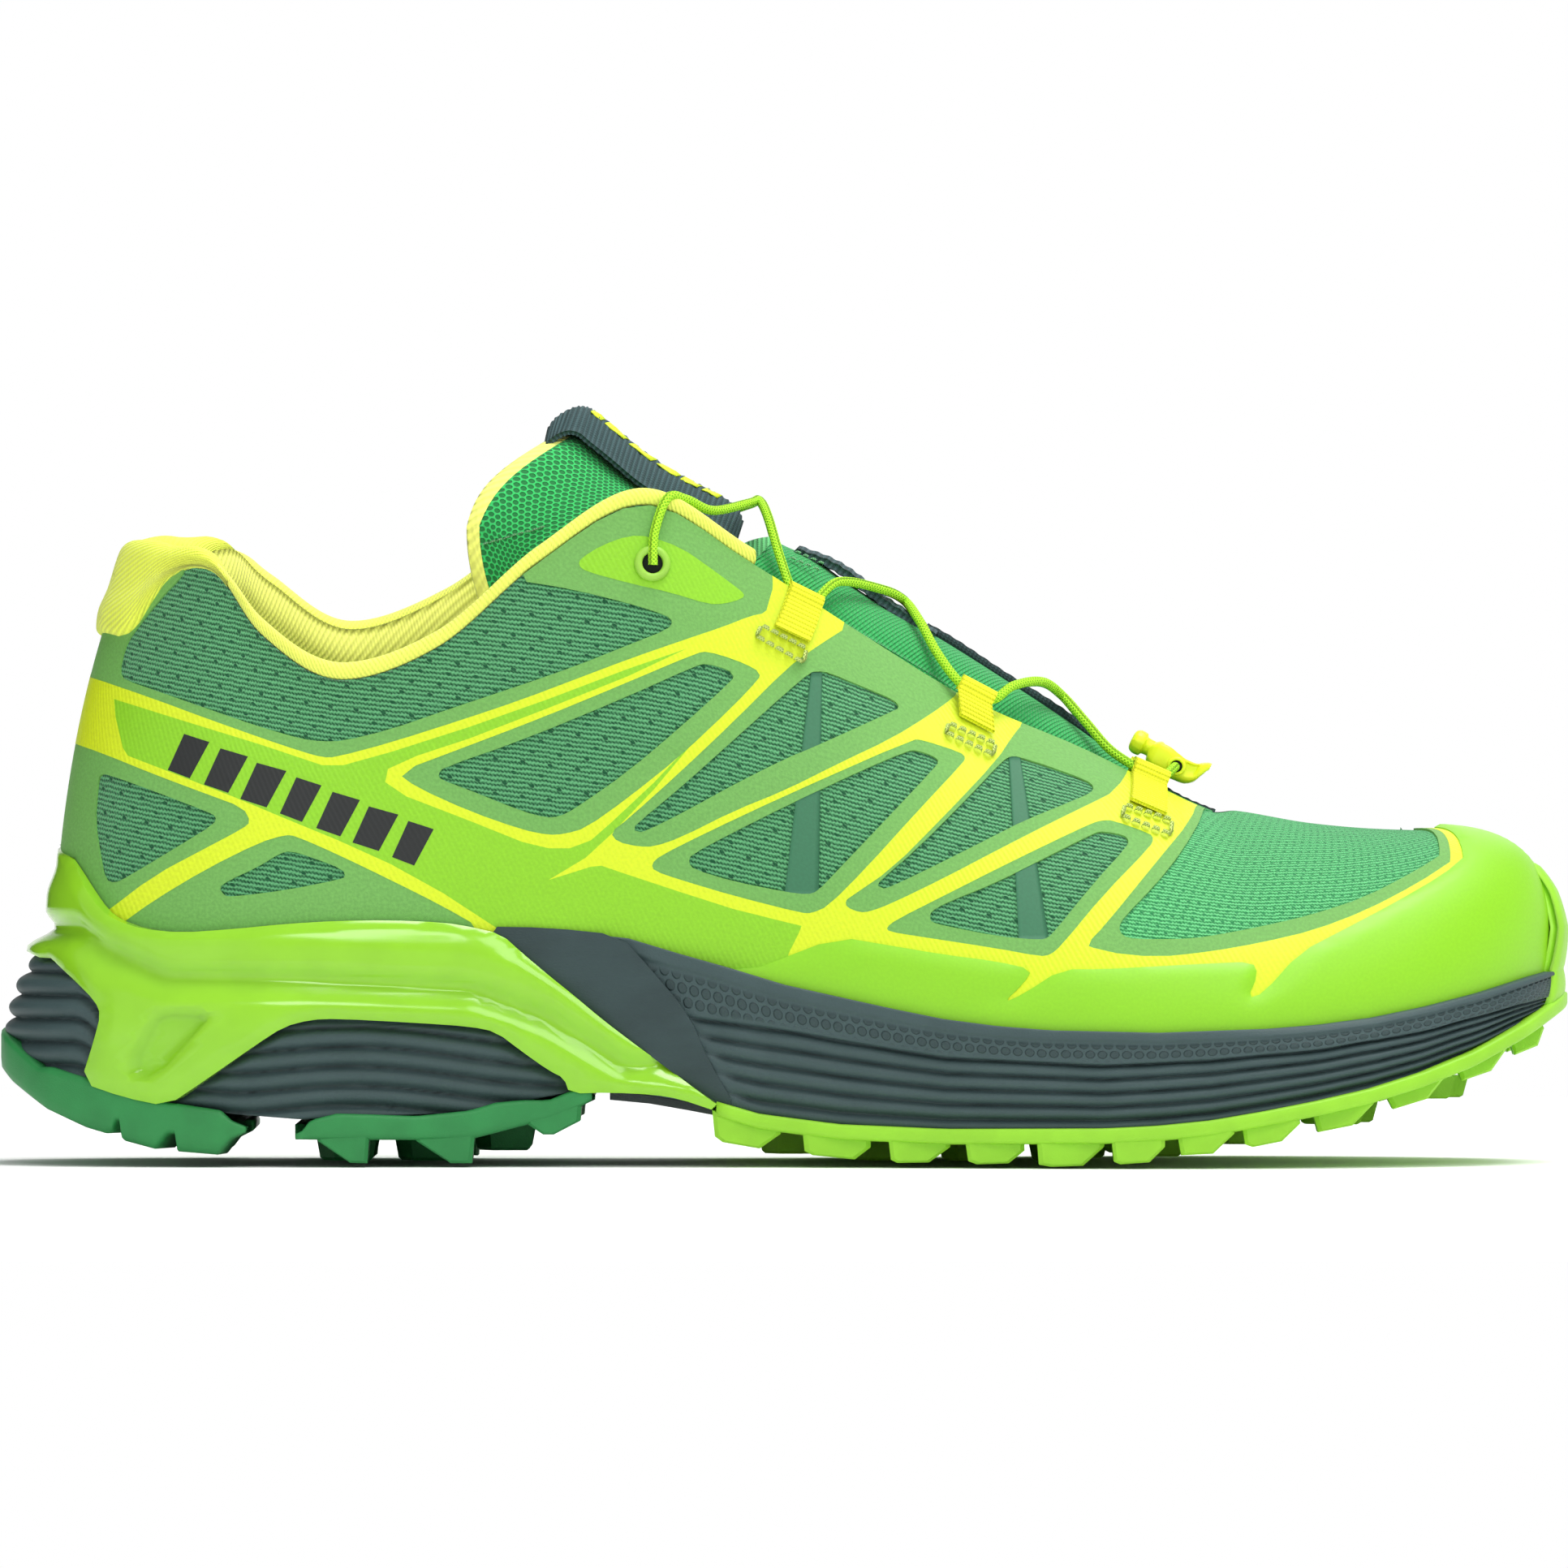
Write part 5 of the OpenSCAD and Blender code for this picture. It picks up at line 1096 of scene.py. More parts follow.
def facet_side(sd):
    """Outline of one side's facet in its flat domain, and the way from there to the shoe."""
    out = []
    for x, z in resample(chaikin(FACET, 1), 1.3):
        n = len(FKW)
        xs = facet_xz(np.full(n, sd), FKW, np.full(n, z), np.zeros(n))[:, 0]
        out.append((sd * DU * float(np.interp(x, xs, FKW)), z))

    def put(q, lift):
        return facet_xz(np.full(len(q), sd), np.abs(q[:, 0]) / DU, q[:, 1], np.broadcast_to(lift, (len(q),)))

    return np.array(out), put


for sd, tag in SIDES:
    line, put = facet_side(float(sd))
    PQ, TQ = filled(line, [], (line[:, 0].min() - 1, line[:, 0].max() + 1, 8., 47.), 1.6)
    skin_piece("midsole_facet_" + tag, PQ, TQ, put, EVA, lambda q: q, 0., 1.8, .5, slot="midsole")


def heel_cols(k1, n):
    """Columns round the heel (inner side, heel, outer side) from station k1."""
    k = np.linspace(k1, 0, n)
    return np.concatenate([np.ones(n), -np.ones(n - 1)]), np.concatenate([k, k[::-1][1:]])


sdh, kh = heel_cols(7.55, 120)
wv = np.linspace(0, 1, 80)
SD, W = np.meshgrid(sdh, wv, indexing="ij")
K = np.broadcast_to(kh[:, None], W.shape)
x = sole(SD, K)[..., 0]
zu = look(UNDER, x)
Z = zu + (41 - zu) * W
rear = smooth(-x, 118, 136)
# level ribs round the heel, flowing ones along the sides
zr = Z + (1 - rear) * (1.3 * np.sin((x + 62) / 11.) * smooth(x, -118, -100) + .03 * (x + 80))
groove = ribs((zr - 23.2) / 4.35 * rear + (zr - 10) / 3.7 * (1 - rear), .55)
ins = np.interp(Z, [8, 20, 26, 30, 35, 41], [1.2, .5, .4, 1.2, 2.9, 7.]) + .9 * (1 - rear)
wall = sole(SD, K, ins + 2.2 * groove - .7)
wall[..., 2] = Z
# it draws in under the frame
low_f = look(FRAME_LOW, np.maximum(x, -141.5))
covered = smooth(Z, low_f - 1.6, low_f + .2) * (x > -146)
wall = wall + (frame_pt(SD, K, Z, -2.7) - wall) * covered[..., None]
# the groove attribute also sets the painted shade in the foam's grooves
foam_piece("midsole_heel_foam", sdh, kh, wall, np.concatenate([[-12, -4], wv * 30, [32, 40, 42, 60]]),
           {"groove": groove}, "midsole_heel")

# glossy heel frame: outline seen from the side, set on the wall of the heel
F_TOP = [(-13, 11.6), (-15, 13), (-20, 16.6), (-25, 20.3), (-30, 24), (-35, 27.8), (-40, 32), (-45, 36),
         (-50, 40.2), (-54, 43.8), (-60, 45.2), (-65, 46), (-75, 46.4), (-85, 46.3), (-95, 45.7),
         (-105, 44.7), (-115, 44), (-122, 44.7), (-127, 46.3), (-130, 48.3), (-133, 52), (-135.5, 55.5),
         (-137.5, 58)]
F_LOW = [(-14, 10.6), (-20, 12.6), (-25, 13.4), (-33, 13.8), (-41, 13.6), (-42, 16.5), (-45, 18), (-50, 21.5),
         (-55, 25.3), (-60, 26.3), (-70, 27), (-85, 27.8), (-90, 27.6), (-95, 26.3), (-100, 23), (-105, 19.5),
         (-110, 16), (-117, 11.2), (-125, 12.8), (-133.2, 15.6), (-130.6, 24), (-129.5, 28.5), (-130.5, 31),
         (-134.5, 35), (-139, 39)]
FK = np.linspace(0, 8.7, 175)


def frame_dom(sd, pts, step=1.3, closed=False):
    """Side-view line to the frame's flat domain."""
    p = resample(chaikin(pts, 1, closed), step, closed)
    return np.array([(sd * DU * float(np.interp(x, frame_pt(sd, FK, z)[:, 0], FK)), z) for x, z in p])


fa, fb = frame_dom(-1, F_TOP), frame_dom(-1, F_LOW)
ga, gb = frame_dom(1, F_TOP), frame_dom(1, F_LOW)
outline = thin(np.concatenate([fa, [[0, 60.6]], ga[::-1], gb, [[0, 39.6]], fb[::-1]]), .3)
recess = [(-125.5, 17), (-119.6, 28.2), (-117, 29.8), (-109.6, 29.6), (-108.4, 28.2), (-110.8, 25.2),
          (-120, 15)]
rec_dom = [frame_dom(s, recess, .9, True) for s in (-1, 1)]
rec_in = [r.mean(0) + (r - r.mean(0)) * .8 for r in rec_dom]
PF, TF = filled(outline, rec_dom + rec_in, (-84, 84, 9., 62.), 1.25)


def near(p, line):
    return np.sqrt(near2(p, line))


def frame_place(p, lift):
    """The frame's relief: a crease along it, a hollow at the heel, and a recess in each pillar."""
    sd = np.where(p[:, 0] < 0, -1., 1.)
    k, z = np.abs(p[:, 0]) / DU, p[:, 1]
    d = near(p, outline)
    x = cr(SP, k)[:, 0]
    crease = np.interp(x, [-140, -134, -120, -90, -60, -45, -30], [45, 41, 35.8, 35.2, 33.6, 28, 19])
    up, down = z - crease, crease - z
    o = 1.35 * smooth(up, 0., 3.2) * (1 - smooth(up, 6, 12)) + 1.9 * smooth(down, .2, 5.2)
    o -= .75 * np.exp(-(up / 1.3)**2)
    o -= 2.1 * np.exp(-(k / 1.3)**2) * smooth(z, 41, 45)
    o += .9 * np.exp(-((z - 41.6) / 1.6)**2) * np.exp(-(k / 1.6)**2)
    for r, r_in in zip(rec_dom, rec_in):
        dr, di = near(p, r), near(p, r_in)
        o -= np.where(inside(r, p), 2.3 * np.where(inside(r_in, p) | (di < .05), 1, dr / (dr + di + 1e-6)), 0)
    o -= .9 * (1 - np.clip(d / 1.5, 0, 1))**2
    return frame_pt(sd, k, z, np.where(lift < 0, lift, o + lift))


skin_piece("heel_frame_shell", PF, TF, frame_place, FRAME, lambda p: p, .25, 2.2, 0.,
           cover=("heel_frame",), slot="frame")

# outsole plates with a rolled rim, and the lugs under them
HR_TOP = [(-150, 25.8), (-148, 23.8), (-145, 21.2), (-141.5, 18.2), (-139.5, 18.2), (-134, 16.6),
          (-117, 11.7), (-107, 10.2), (-105, 8.4), (-102, 7.2)]
HR_LOW = [(-150, 18), (-147, 15), (-140, 10), (-133, 7), (-129, 5.9), (-127.7, 6.2), (-126.9, 8.2),
          (-126, 8.2), (-125.7, 4.6), (-119.5, 3), (-117, 5.9), (-115.6, 5.9), (-115.2, 2.6), (-107.5, 2),
          (-105, 5), (-102, 6.4)]
HF_TOP = [(-92, 6), (-90, 8.5), (-85, 9.7), (-78, 9.5), (-70, 9.2), (-60, 10.2), (-55, 11.7), (-50, 12.2),
          (-45, 12.2), (-40, 14.3), (-36, 14.5)]
HF_LOW = [(-92, 4.9), (-85, 4.8), (-60, 4.8), (-50, 7.4), (-45, 8.6), (-40, 10.6), (-36, 12.6)]
FO_TOP = [(x, z + 1.0) for x, z in UNDER if x >= -20]
FO_LOW = [(x, z - 1.9) for x, z in UNDER if x >= -20]


# a plate's section: inset from the sole's outline, and height as a part of its rim
PLATE = [(12.5, 0), (12, 0), (.6, 0), (-.5, .05), (-1., .14), (-1.1, .3), (-1.1, .86), (-.95, .96),
         (-.5, 1.02), (.4, 1.03), (2., 1.), (2.6, .8)]
MIDDLE = 12  # rows inset by this much or more lie in the middle of the plate


def plate(name, sdv, kv, top, low, mat, cover, slot):
    x = sole(sdv, kv)[:, 0]
    zt, zb = look(top, x), look(low, x)
    rows = []
    for ins, f in PLATE:
        p = sole(sdv, kv, ins)
        p[:, 2] = zb + (zt - zb) * f
        if ins >= MIDDLE:
            p[:, 2] = np.minimum(zb + (2.6 if ins > MIDDLE else 0), look(UNDER, p[:, 0]) - 1.2)
        rows.append(p)
    p = sole(sdv, kv, PLATE[0][0])
    p[:, 2] = np.minimum(zb + 4.2, zt - .2)
    rows.append(p)
    g = np.stack(rows, 1)
    solid_loop(name, g, mat, run_length(sole(sdv, kv)), np.linspace(0, 20, g.shape[1]), cover=(cover,),
               slot=slot)


plate("outsole_heel_rear_plate", *heel_cols(3.88, 190), HR_TOP, HR_LOW, GREEN, "outsole_heel_rear",
      "outsole_green")
kf = np.linspace(4.42, 7.4, 40)
s2, k2 = np.concatenate([-np.ones(40), np.ones(40)]), np.concatenate([kf, kf[::-1]])
plate("outsole_heel_front_plate", s2, k2, HF_TOP, HF_LOW, GREEN, "outsole_heel_front", "outsole_green")
plate("outsole_forefoot_plate", *sides(8.5, TOE, 90), FO_TOP, FO_LOW, LIME, "outsole_forefoot",
      "outsole_lime")
_sp = cr(SP, np.linspace(0, TOE, 400))


def edge_y(sd, x):
    """y of the sole's outline at x."""
    return float(np.interp(x, _sp[:, 0], _sp[:, 1 if sd < 0 else 2]))


def capped(n, m, flip=False):
    """Faces of n rings of m points, closed at both ends."""
    ends = [list(range(m)), [(n - 1) * m + j for j in range(m)][::-1]]
    return grid_faces(n, m, 0, flip, wrap_m=True) + ends


def lathed(n, m):
    """Faces of an m-point profile carried round in n steps, closed along its open side."""
    return grid_faces(n, m, wrap_n=True) + [[i * m, (i + 1) % n * m, (i + 1) % n * m + m - 1, i * m + m - 1]
                                            for i in range(n)]


def lug(line, y0, y1, sd):
    """Tread block: a side-view outline carried across from y0 to y1, with bevelled rims."""
    o = np.array(line, float)
    c = o.mean(0)
    g = []
    for f, s in [(0, .86), (.05, 1.), (.93, 1.), (1, .88)]:
        q = c + (o - c) * s
        g.append(np.stack([q[:, 0], np.full(len(q), y0 + (y1 - y0) * f), np.maximum(q[:, 1], 0)], -1))
    g = np.stack(g)
    uv = np.stack([g[..., 0], g[..., 1] + g[..., 2]], -1).reshape(-1, 2)
    return g.reshape(-1, 3), capped(*g.shape[:2], sd > 0), uv


def join(name, parts, mat, **kw):
    """One piece of several closed parts, each given as points, faces and pattern coordinates."""
    f, first = [], 0
    for points, faces, _ in parts:
        f += [[i + first for i in q] for q in faces]
        first += len(points)
    v, uv = np.concatenate([p[0] for p in parts]), np.concatenate([p[2] for p in parts])
    outward(make(name, v, f, mat, uv, **kw))


HF_L = [[(-89, 6), (-88.6, 4.6), (-82.5, .5), (-79.3, .4), (-78.8, 7)],
        [(-70.4, 7), (-70, 4.6), (-63.5, .4), (-59.5, .4), (-58.8, 7)],
        [(-49.4, 11), (-49, 7.8), (-46, 5.8), (-44, 5.8), (-39, 8.4), (-38.6, 13)]]
FO_L = [[(-14, 10.5), (-13.5, 5.5), (-12, 4.4), (-5, 3.2), (-1, 6), (-1, 8)],
        [(3, 7.5), (3.5, 2.8), (5, 2), (13, 1.2), (16, 3.5), (16, 7)],
        [(19.2, 6.5), (19.8, 1.2), (21, .6), (27, .7), (31, 3.6), (31, 6.5)],
        [(33.6, 6.3), (34.4, 1), (36, .4), (42, .6), (45, 3), (45, 6.4)],
        [(47.2, 6.5), (47.7, .4), (50, 0), (56, .2), (60, 3.8), (60, 6.8)],
        [(61.2, 6.6), (61.8, 1), (63, .5), (68.5, .9), (71.4, 3.8), (71.4, 7)],
        [(73.5, 7.4), (74.5, 2.2), (80.5, 2.5), (84.5, 6.3), (84.3, 9)],
        [(85.8, 8.7), (86.6, 4.2), (88, 3.7), (93.5, 4.8), (97, 8.2), (96.6, 11)],
        [(99.3, 11), (100.5, 6.4), (107, 7.7), (111, 11.8), (110.5, 14)],
        [(113, 14.4), (115, 10.6), (121.5, 12.6), (125, 17), (124, 19)],
        [(127, 19.5), (128.5, 15.8), (134, 17.7), (137, 22), (136, 24.5)],
        [(137.5, 24.8), (139, 20.5), (143.4, 22.3), (144.6, 25.6), (143.4, 28.5)]]


def tread(outlines, sd, depth, proud=1.):
    """Rim blocks that reach inwards by depth."""
    parts = []
    for o in outlines:
        xs = [p[0] for p in o]
        y0 = min(abs(edge_y(sd, x)) for x in (min(xs), np.mean(xs), max(xs))) + proud
        parts.append(lug(o, sd * y0, sd * max(y0 - depth, 1.), sd))
    return parts


heel_rear, heel_front, fore = [], [], []
for sd in (-1, 1):
    heel_front += tread(HF_L, sd, 13)
    fore += tread(FO_L, sd, 11.5, .9)


def chevron(x, y, l, w, z0, z1, way=1):
    """Arrow-shaped inner block."""
    o = np.array([(-l / 2, -w / 2), (l * .22, -w / 2), (l / 2, 0), (l * .22, w / 2), (-l / 2, w / 2),
                  (-l * .18, 0)])
    o = o * [way, 1]
    g = np.stack([np.stack([x + o[:, 0] * s, y + o[:, 1] * s, np.full(len(o), z1 + (z0 - z1) * f)], -1)
                  for f, s in ((0, 1.15), (.9, .98), (1, .86))])
    return g.reshape(-1, 3), capped(*g.shape[:2]), g[..., :2].reshape(-1, 2)


for i in range(8):
    x = 1 + i * 17.2
    zl = float(np.interp(x, [-20, 0, 15, 60, 80, 100, 120, 140], [5, 1.6, .3, .2, 2, 6, 11.4, 20]))
    for sd in (-1, 1):
        yy = 2.5 + sd * float(np.interp(i, [0, 3, 5, 7], [9, 12.5, 12.5, 6.5]))
        fore.append(chevron(x + (3 if sd > 0 else 0), yy, 11.5, 10.5, zl, float(look(UNDER, x)) - .9, -1))
for x, y in ((-138, 0), (-126, -8.5), (-126, 8.5), (-112.5, -9), (-112.5, 9)):
    zl = float(np.interp(x, [-145, -135, -126, -119, -112], [15.5, 11, 7, 4.4, 2.9]))
    heel_rear.append(chevron(x, y, 9.5, 11, zl, float(look(HR_TOP, x)) - 1.2, 1))
for x in (-84, -69, -54):
    for y in (-8.5, 8.5):
        zl = float(np.interp(x, [-90, -60, -50], [.3, .3, 3.5]))
        heel_front.append(chevron(x, y, 10.5, 11, zl, float(look(HF_LOW, x)) + 1, -1))
join("outsole_heel_rear_lugs", heel_rear, GREEN, smooth=False)
join("outsole_heel_front_lugs", heel_front, GREEN, smooth=False)
join("outsole_forefoot_lugs", fore, LIME, smooth=False)

# rubber that climbs the toe: on the foam's wall below, on the upper above
ut = np.linspace(0, 1, 41)[:, None]
tb = np.linspace(0, 1, 40)[None]
half = .42 + .75 * (1 - tb)**1.2 + .3 * np.sqrt(np.clip(1 - tb, 0, 1))
half = half * np.where(tb > .9, np.sqrt(np.clip(1 - ((tb - .9) / .1)**2, 0, 1)) * .75 + .25, 1)
u = TOE + (ut * 2 - 1) * half
zt = 26.5 + 30.5 * tb + 0 * u
hi = surf(u, v_z(u, np.maximum(zt, 34)), np.interp(zt, [34, 38, 44.5, 51, 57], [2.6, 3.6, 4.1, 3.2, 1.5]))
lo, away = fore_wall(np.where(u <= TOE, -1., 1.), np.where(u <= TOE, u, ROUND - u),
                     np.clip((zt - 26.5) / 10.5, 0, 1))
lo = lo + away * .8
rubber = lo + (hi - lo) * smooth(zt, 35, 41)[..., None]
from_edge = np.minimum(np.minimum(ut, 1 - ut) * half * 2 * DU, (1 - tb) * 30) + 0 * u
n = unit(np.cross(np.gradient(rubber, axis=0), np.gradient(rubber, axis=1)))
n = n * np.sign(n[..., :1] + 1e-9)
drop = (1 - np.clip(from_edge / 1.6, 0, 1))**2
shell("toe_bumper_rubber", rubber - n * drop[..., None], rubber - n * 2.4, LIME, np.stack([u * DU, zt], -1),
      cover=("toe_bumper",), slot="outsole_lime")


# ---------------------------------------------------------------- collar
def pad_depth(k, v):
    """How far the collar's padding stands in from the upper."""
    a, b = np.clip((v - .58) / .2, 0, 1), np.clip((1.02 - v) / .07, 0, 1)
    c = np.where(k < 6, 1, np.clip(1 - (k - 6) / 1.6, 0, 1))
    h = np.where(k < 4.5, 1, np.clip(1 - (k - 4.5) / .5, 0, 1))
    return 6 * c * np.sin(a * np.pi / 2) * np.sqrt(b) + 1.7 * h * np.clip((.62 - v) / .08, 0, 1)


def arc_uv(g):
    """Pattern coordinates of a grid, by the mean lengths of its rows and columns."""
    n, m = g.shape[:2]
    s = np.concatenate([np.zeros((1, m)), np.cumsum(np.linalg.norm(np.diff(g, axis=0), axis=-1), 0)])
    t = np.concatenate([np.zeros((n, 1)), np.cumsum(np.linalg.norm(np.diff(g, axis=1), axis=-1), 1)], 1)
    return np.stack([np.broadcast_to(s.mean(1)[:, None], (n, m)), np.broadcast_to(t.mean(0), (n, m))], -1)


for sd, tag in SIDES:
    k, v = np.meshgrid(np.linspace(0, 9, 100), np.linspace(.04, 1, 64), indexing="ij")
    u = side_u(sd, k)
    pd = pad_depth(k, v)
    fold = .22 * np.sin(k * 5.2 + 3 * v) * np.sin(v * 9 + k) * smooth(pd, .5, 3)
    top_in = smooth(v, .9, 1.)
    pd = pd * (1 - top_in) + np.maximum(pd, 1.75) * top_in
    back = surf(u, v, -(1.42 + pd * (1 - smooth(v, .965, 1.))))
    face = surf(u, v, -(2.15 + pd * 1.02 + fold)) + [0, 0, 2.1] * smooth(v, .93, 1.)[..., None]
    ob = shell("collar_lining_" + tag, back, face, TWILL, uv_at(u, v), flip=sd > 0,
               cover=("lining_" + tag,), slot="lining")
    # the bound edge over it, thinner where it runs under the heel tab
    ks = np.linspace(3.05, 9.05, 110)
    us = side_u(sd, ks)
    c = base(us, np.ones_like(us))
    n = normal(us, np.ones_like(us))
    th = np.linspace(np.pi, 3 * np.pi, 20, endpoint=False)
    grow = (1 - .4 * smooth(-ks, -3.7, -3.1))[:, None, None]
    out, rise = -1.45 + 2.15 * np.cos(th), 1.75 + (1.65 * np.sin(th) + .25 * np.sin(2 * th))
    ring = c[:, None] + n[:, None] * out[None, :, None] * grow + UP * rise[None, :, None] * grow
    uv = np.stack(np.broadcast_arrays(run_length(c)[:, None], th[None] * 2.), -1)
    n, m = len(ks), len(th)
    ends = [list(range(m))[::-1], [(n - 1) * m + j for j in range(m)]]
    f = grid_faces(n, m, 0, sd < 0, wrap_m=True) + [q[::-1] if sd < 0 else q for q in ends]
    make("collar_edge_" + tag, ring.reshape(-1, 3), f, PIPE, uv.reshape(-1, 2),
         cover=("piping_" + tag,), slot="edge")

TAB_LOW = [(-140, 100.4), (-130, 100.7), (-127, 100.2), (-125, 100.9), (-123, 102.7), (-121, 105.7),
           (-118, 110), (-115, 112.1), (-112, 113.3), (-100, 116)]
kt = np.concatenate([np.linspace(3.3, 0, 40), np.linspace(0, 3.3, 40)[1:]])
st = np.concatenate([-np.ones(40), np.ones(39)])
utab = side_u(st, kt)
vlo = np.minimum(v_at(utab, TAB_LOW), .985)
c = base(utab, np.ones_like(utab))
n = normal(utab, np.ones_like(utab))
h = 6.2 * (1 - (kt / 3.45)**3) + .6


def over(o, z):
    """A line of the tab's section above the top line: o out from it, z up it."""
    return c + n * np.reshape(o, (-1, 1)) + UP * (h * z)[:, None]


def on(f, o):
    """A line of the section on the upper: f from the tab's lower edge up, o out."""
    return surf(utab, vlo + (1 - vlo) * f, o + 0 * utab)


fat = np.clip((1 - vlo) / .1, .15, 1)
prof = [on(0, .15), on(.02, .9 + .2 * fat), on(.12, 1.1 + .75 * fat), on(.4, 1.1 + 1.25 * fat),
        on(.75, .9 + 1. * fat), over(1.2 + .3 * fat, .32), over(.4, .72), over(-1.4, .97), over(-3.8, 1.04),
        over(-6.2, .93), over(-8., .62), over(-9.1, .12), over(-9.2, -.25), over(-8., -.42), over(-5., -.25),
        over(-2., .02), on(.6, -.6), on(.1, -.5)]
g = np.stack(prof, 1)
fine = np.stack([cr(np.concatenate([row, row[:1]]), np.linspace(0, len(prof), 61)[:-1]) for row in g])
crease = .28 * np.sin(np.linspace(0, 1, fine.shape[1]) * 9 + kt[:, None] * 2.2 * st[:, None])
crease = crease * smooth(3 - kt, 0, 1)[:, None]
cen = fine.mean(1, keepdims=True)
fine = fine + unit(fine - cen) * crease[..., None]
# both ends shrink onto the bound edge
end = (c + n * -1.45 + UP * 1.75)[:, None]
to = fine - end
w = smooth(kt, 1.7, 3.2)[:, None, None]
fine = fine * (1 - w) + (end + unit(to) * np.minimum(np.linalg.norm(to, axis=-1, keepdims=True), 2.25)) * w
n, m = fine.shape[:2]
f = grid_faces(n, m, wrap_m=True) + [list(range(m))[::-1], [(n - 1) * m + j for j in range(m)]]
ob = make("heel_tab_padded", fine.reshape(-1, 3), f, TABFAB, arc_uv(fine).reshape(-1, 2),
          cover=("heel_tab",), slot="edge")

# ---------------------------------------------------------------- tongue
TC = [[84, 64], [70, 70.6], [50, 84.4], [28, 98.5], [10, 108.5], [-8, 117], [-22, 125], [-32, 132],
      [-42, 140.5]]
TE = [[80, 6, 60], [66, 13, 62], [44, 17, 73.6], [21, 20.4, 88], [3, 22.4, 98], [-18, 23.6, 106],
      [-37, 23.2, 112], [-50, 22, 117], [-59, 20.5, 122]]


def tongue_pt(a, b, o=0.):
    """Point of the tongue: a from its sewn end up, b across (-1..1, and a wing beyond), o inwards."""
    a, b, o = np.broadcast_arrays(np.asarray(a, float), np.asarray(b, float), np.asarray(o, float))
    m, e = cr(np.array(TC, float), a), cr(np.array(TE, float), a)
    bb = np.clip(b, -1, 1)
    r = np.radians(80 * bb)
    s, d = np.sin(r) / math.sin(math.radians(80)), (1 - np.cos(r)) / (1 - math.cos(math.radians(80)))
    tx, tz = m[..., 0] - e[..., 0] + 6, m[..., 1] - e[..., 2] + 4
    q = np.hypot(tx, tz)
    nn = unit(np.stack([tx / q * (1 - np.abs(bb) * .4), bb * .9, tz / q * (1 - np.abs(bb) * .4)], -1))
    w = smooth(a, 5.6, 8)
    ext = np.clip(np.abs(b) - 1, 0, 1) / .5
    x = m[..., 0] + (e[..., 0] - m[..., 0]) * d - 3.4 * np.sin(np.pi * np.clip(d, 0, 1)) * w + 3 * ext**2 * w
    y = mid_y(m[..., 0]) + e[..., 1] * s + np.sign(b) * ext * 1.2
    z = m[..., 1] + (e[..., 2] - m[..., 1]) * d - ext * (12.5 * w + 3)
    return np.stack([x, y, z], -1) - nn * o[..., None]


def t_depth(a, b):
    """Thickness of the tongue's padding."""
    return np.where(a < 3, 1.6 + .6 * a, 3.4 + .55 * (a - 3)) * (1 - .55 * np.minimum(b * b, 1))


A, B_ = np.meshgrid(np.linspace(.25, 8, 96), np.linspace(-1, 1, 80), indexing="ij")
B_ = B_ * (1 + .5 * smooth(A, 5, 7.6))
P = tongue_pt(A, B_)
step_a = np.linalg.norm(np.gradient(P, axis=0), axis=-1)
da = np.cumsum(step_a[::-1], 0)[::-1] - step_a
step_b = np.linalg.norm(np.gradient(P, axis=1), axis=-1)
left = np.cumsum(step_b, 1) - step_b
right = np.cumsum(step_b[:, ::-1], 1)[:, ::-1] - step_b
db = np.minimum(left, right)
ROLL = 3.2  # how far in from its edge the tongue is rounded
ta, tb = np.clip(1 - da / ROLL, 0, 1), np.clip(1 - db / ROLL, 0, 1)
tt = np.clip(np.hypot(ta, tb), 0, 1)
along, across = unit(np.gradient(P, axis=0)), unit(np.gradient(P, axis=1)) * np.sign(B_)[..., None]
outw = unit(along * ta[..., None]**2 + across * tb[..., None]**2 + 1e-9)
H = 2. + t_depth(A, B_)
vert = H / 2 * (1 - np.sqrt(np.clip(1 - tt**2, 0, 1)))
puff = smooth(tt, 0, 1)
quilt = .25 * np.sin(A * 3.1) * np.cos(B_ * 4)
seam = 1.5 * np.exp(-((A - 5.55 - .2 * B_**2) / .16)**2)
top = tongue_pt(A, B_, .25 + vert + quilt * .4) + outw * puff[..., None]
bot = tongue_pt(A, B_, .25 + H - vert + quilt - seam) + outw * puff[..., None]
ob = shell("tongue_lining_roll", top, bot, TWILL, arc_uv(P), flip=True, body="tongue",
           cover=("tongue_lining", "tongue_pad"), slot="lining")
# spacer mesh face, a little inside the rolled edge
keep = 1 - .045 * smooth(A, 5, 7)
A2, B2 = .25 + (A - .25) * (7.86 - .25) / 7.75, B_ * keep
top = tongue_pt(A2, B2, -.55 + vert * .55 * tt + quilt * .4)
bot = tongue_pt(A2, B2, .35 + vert * .55 * tt)
shell("tongue_spacer_face", top, bot, SPACER, arc_uv(P), flip=True, body="tongue",
      cover=("tongue_face",), slot="tongue_mesh")


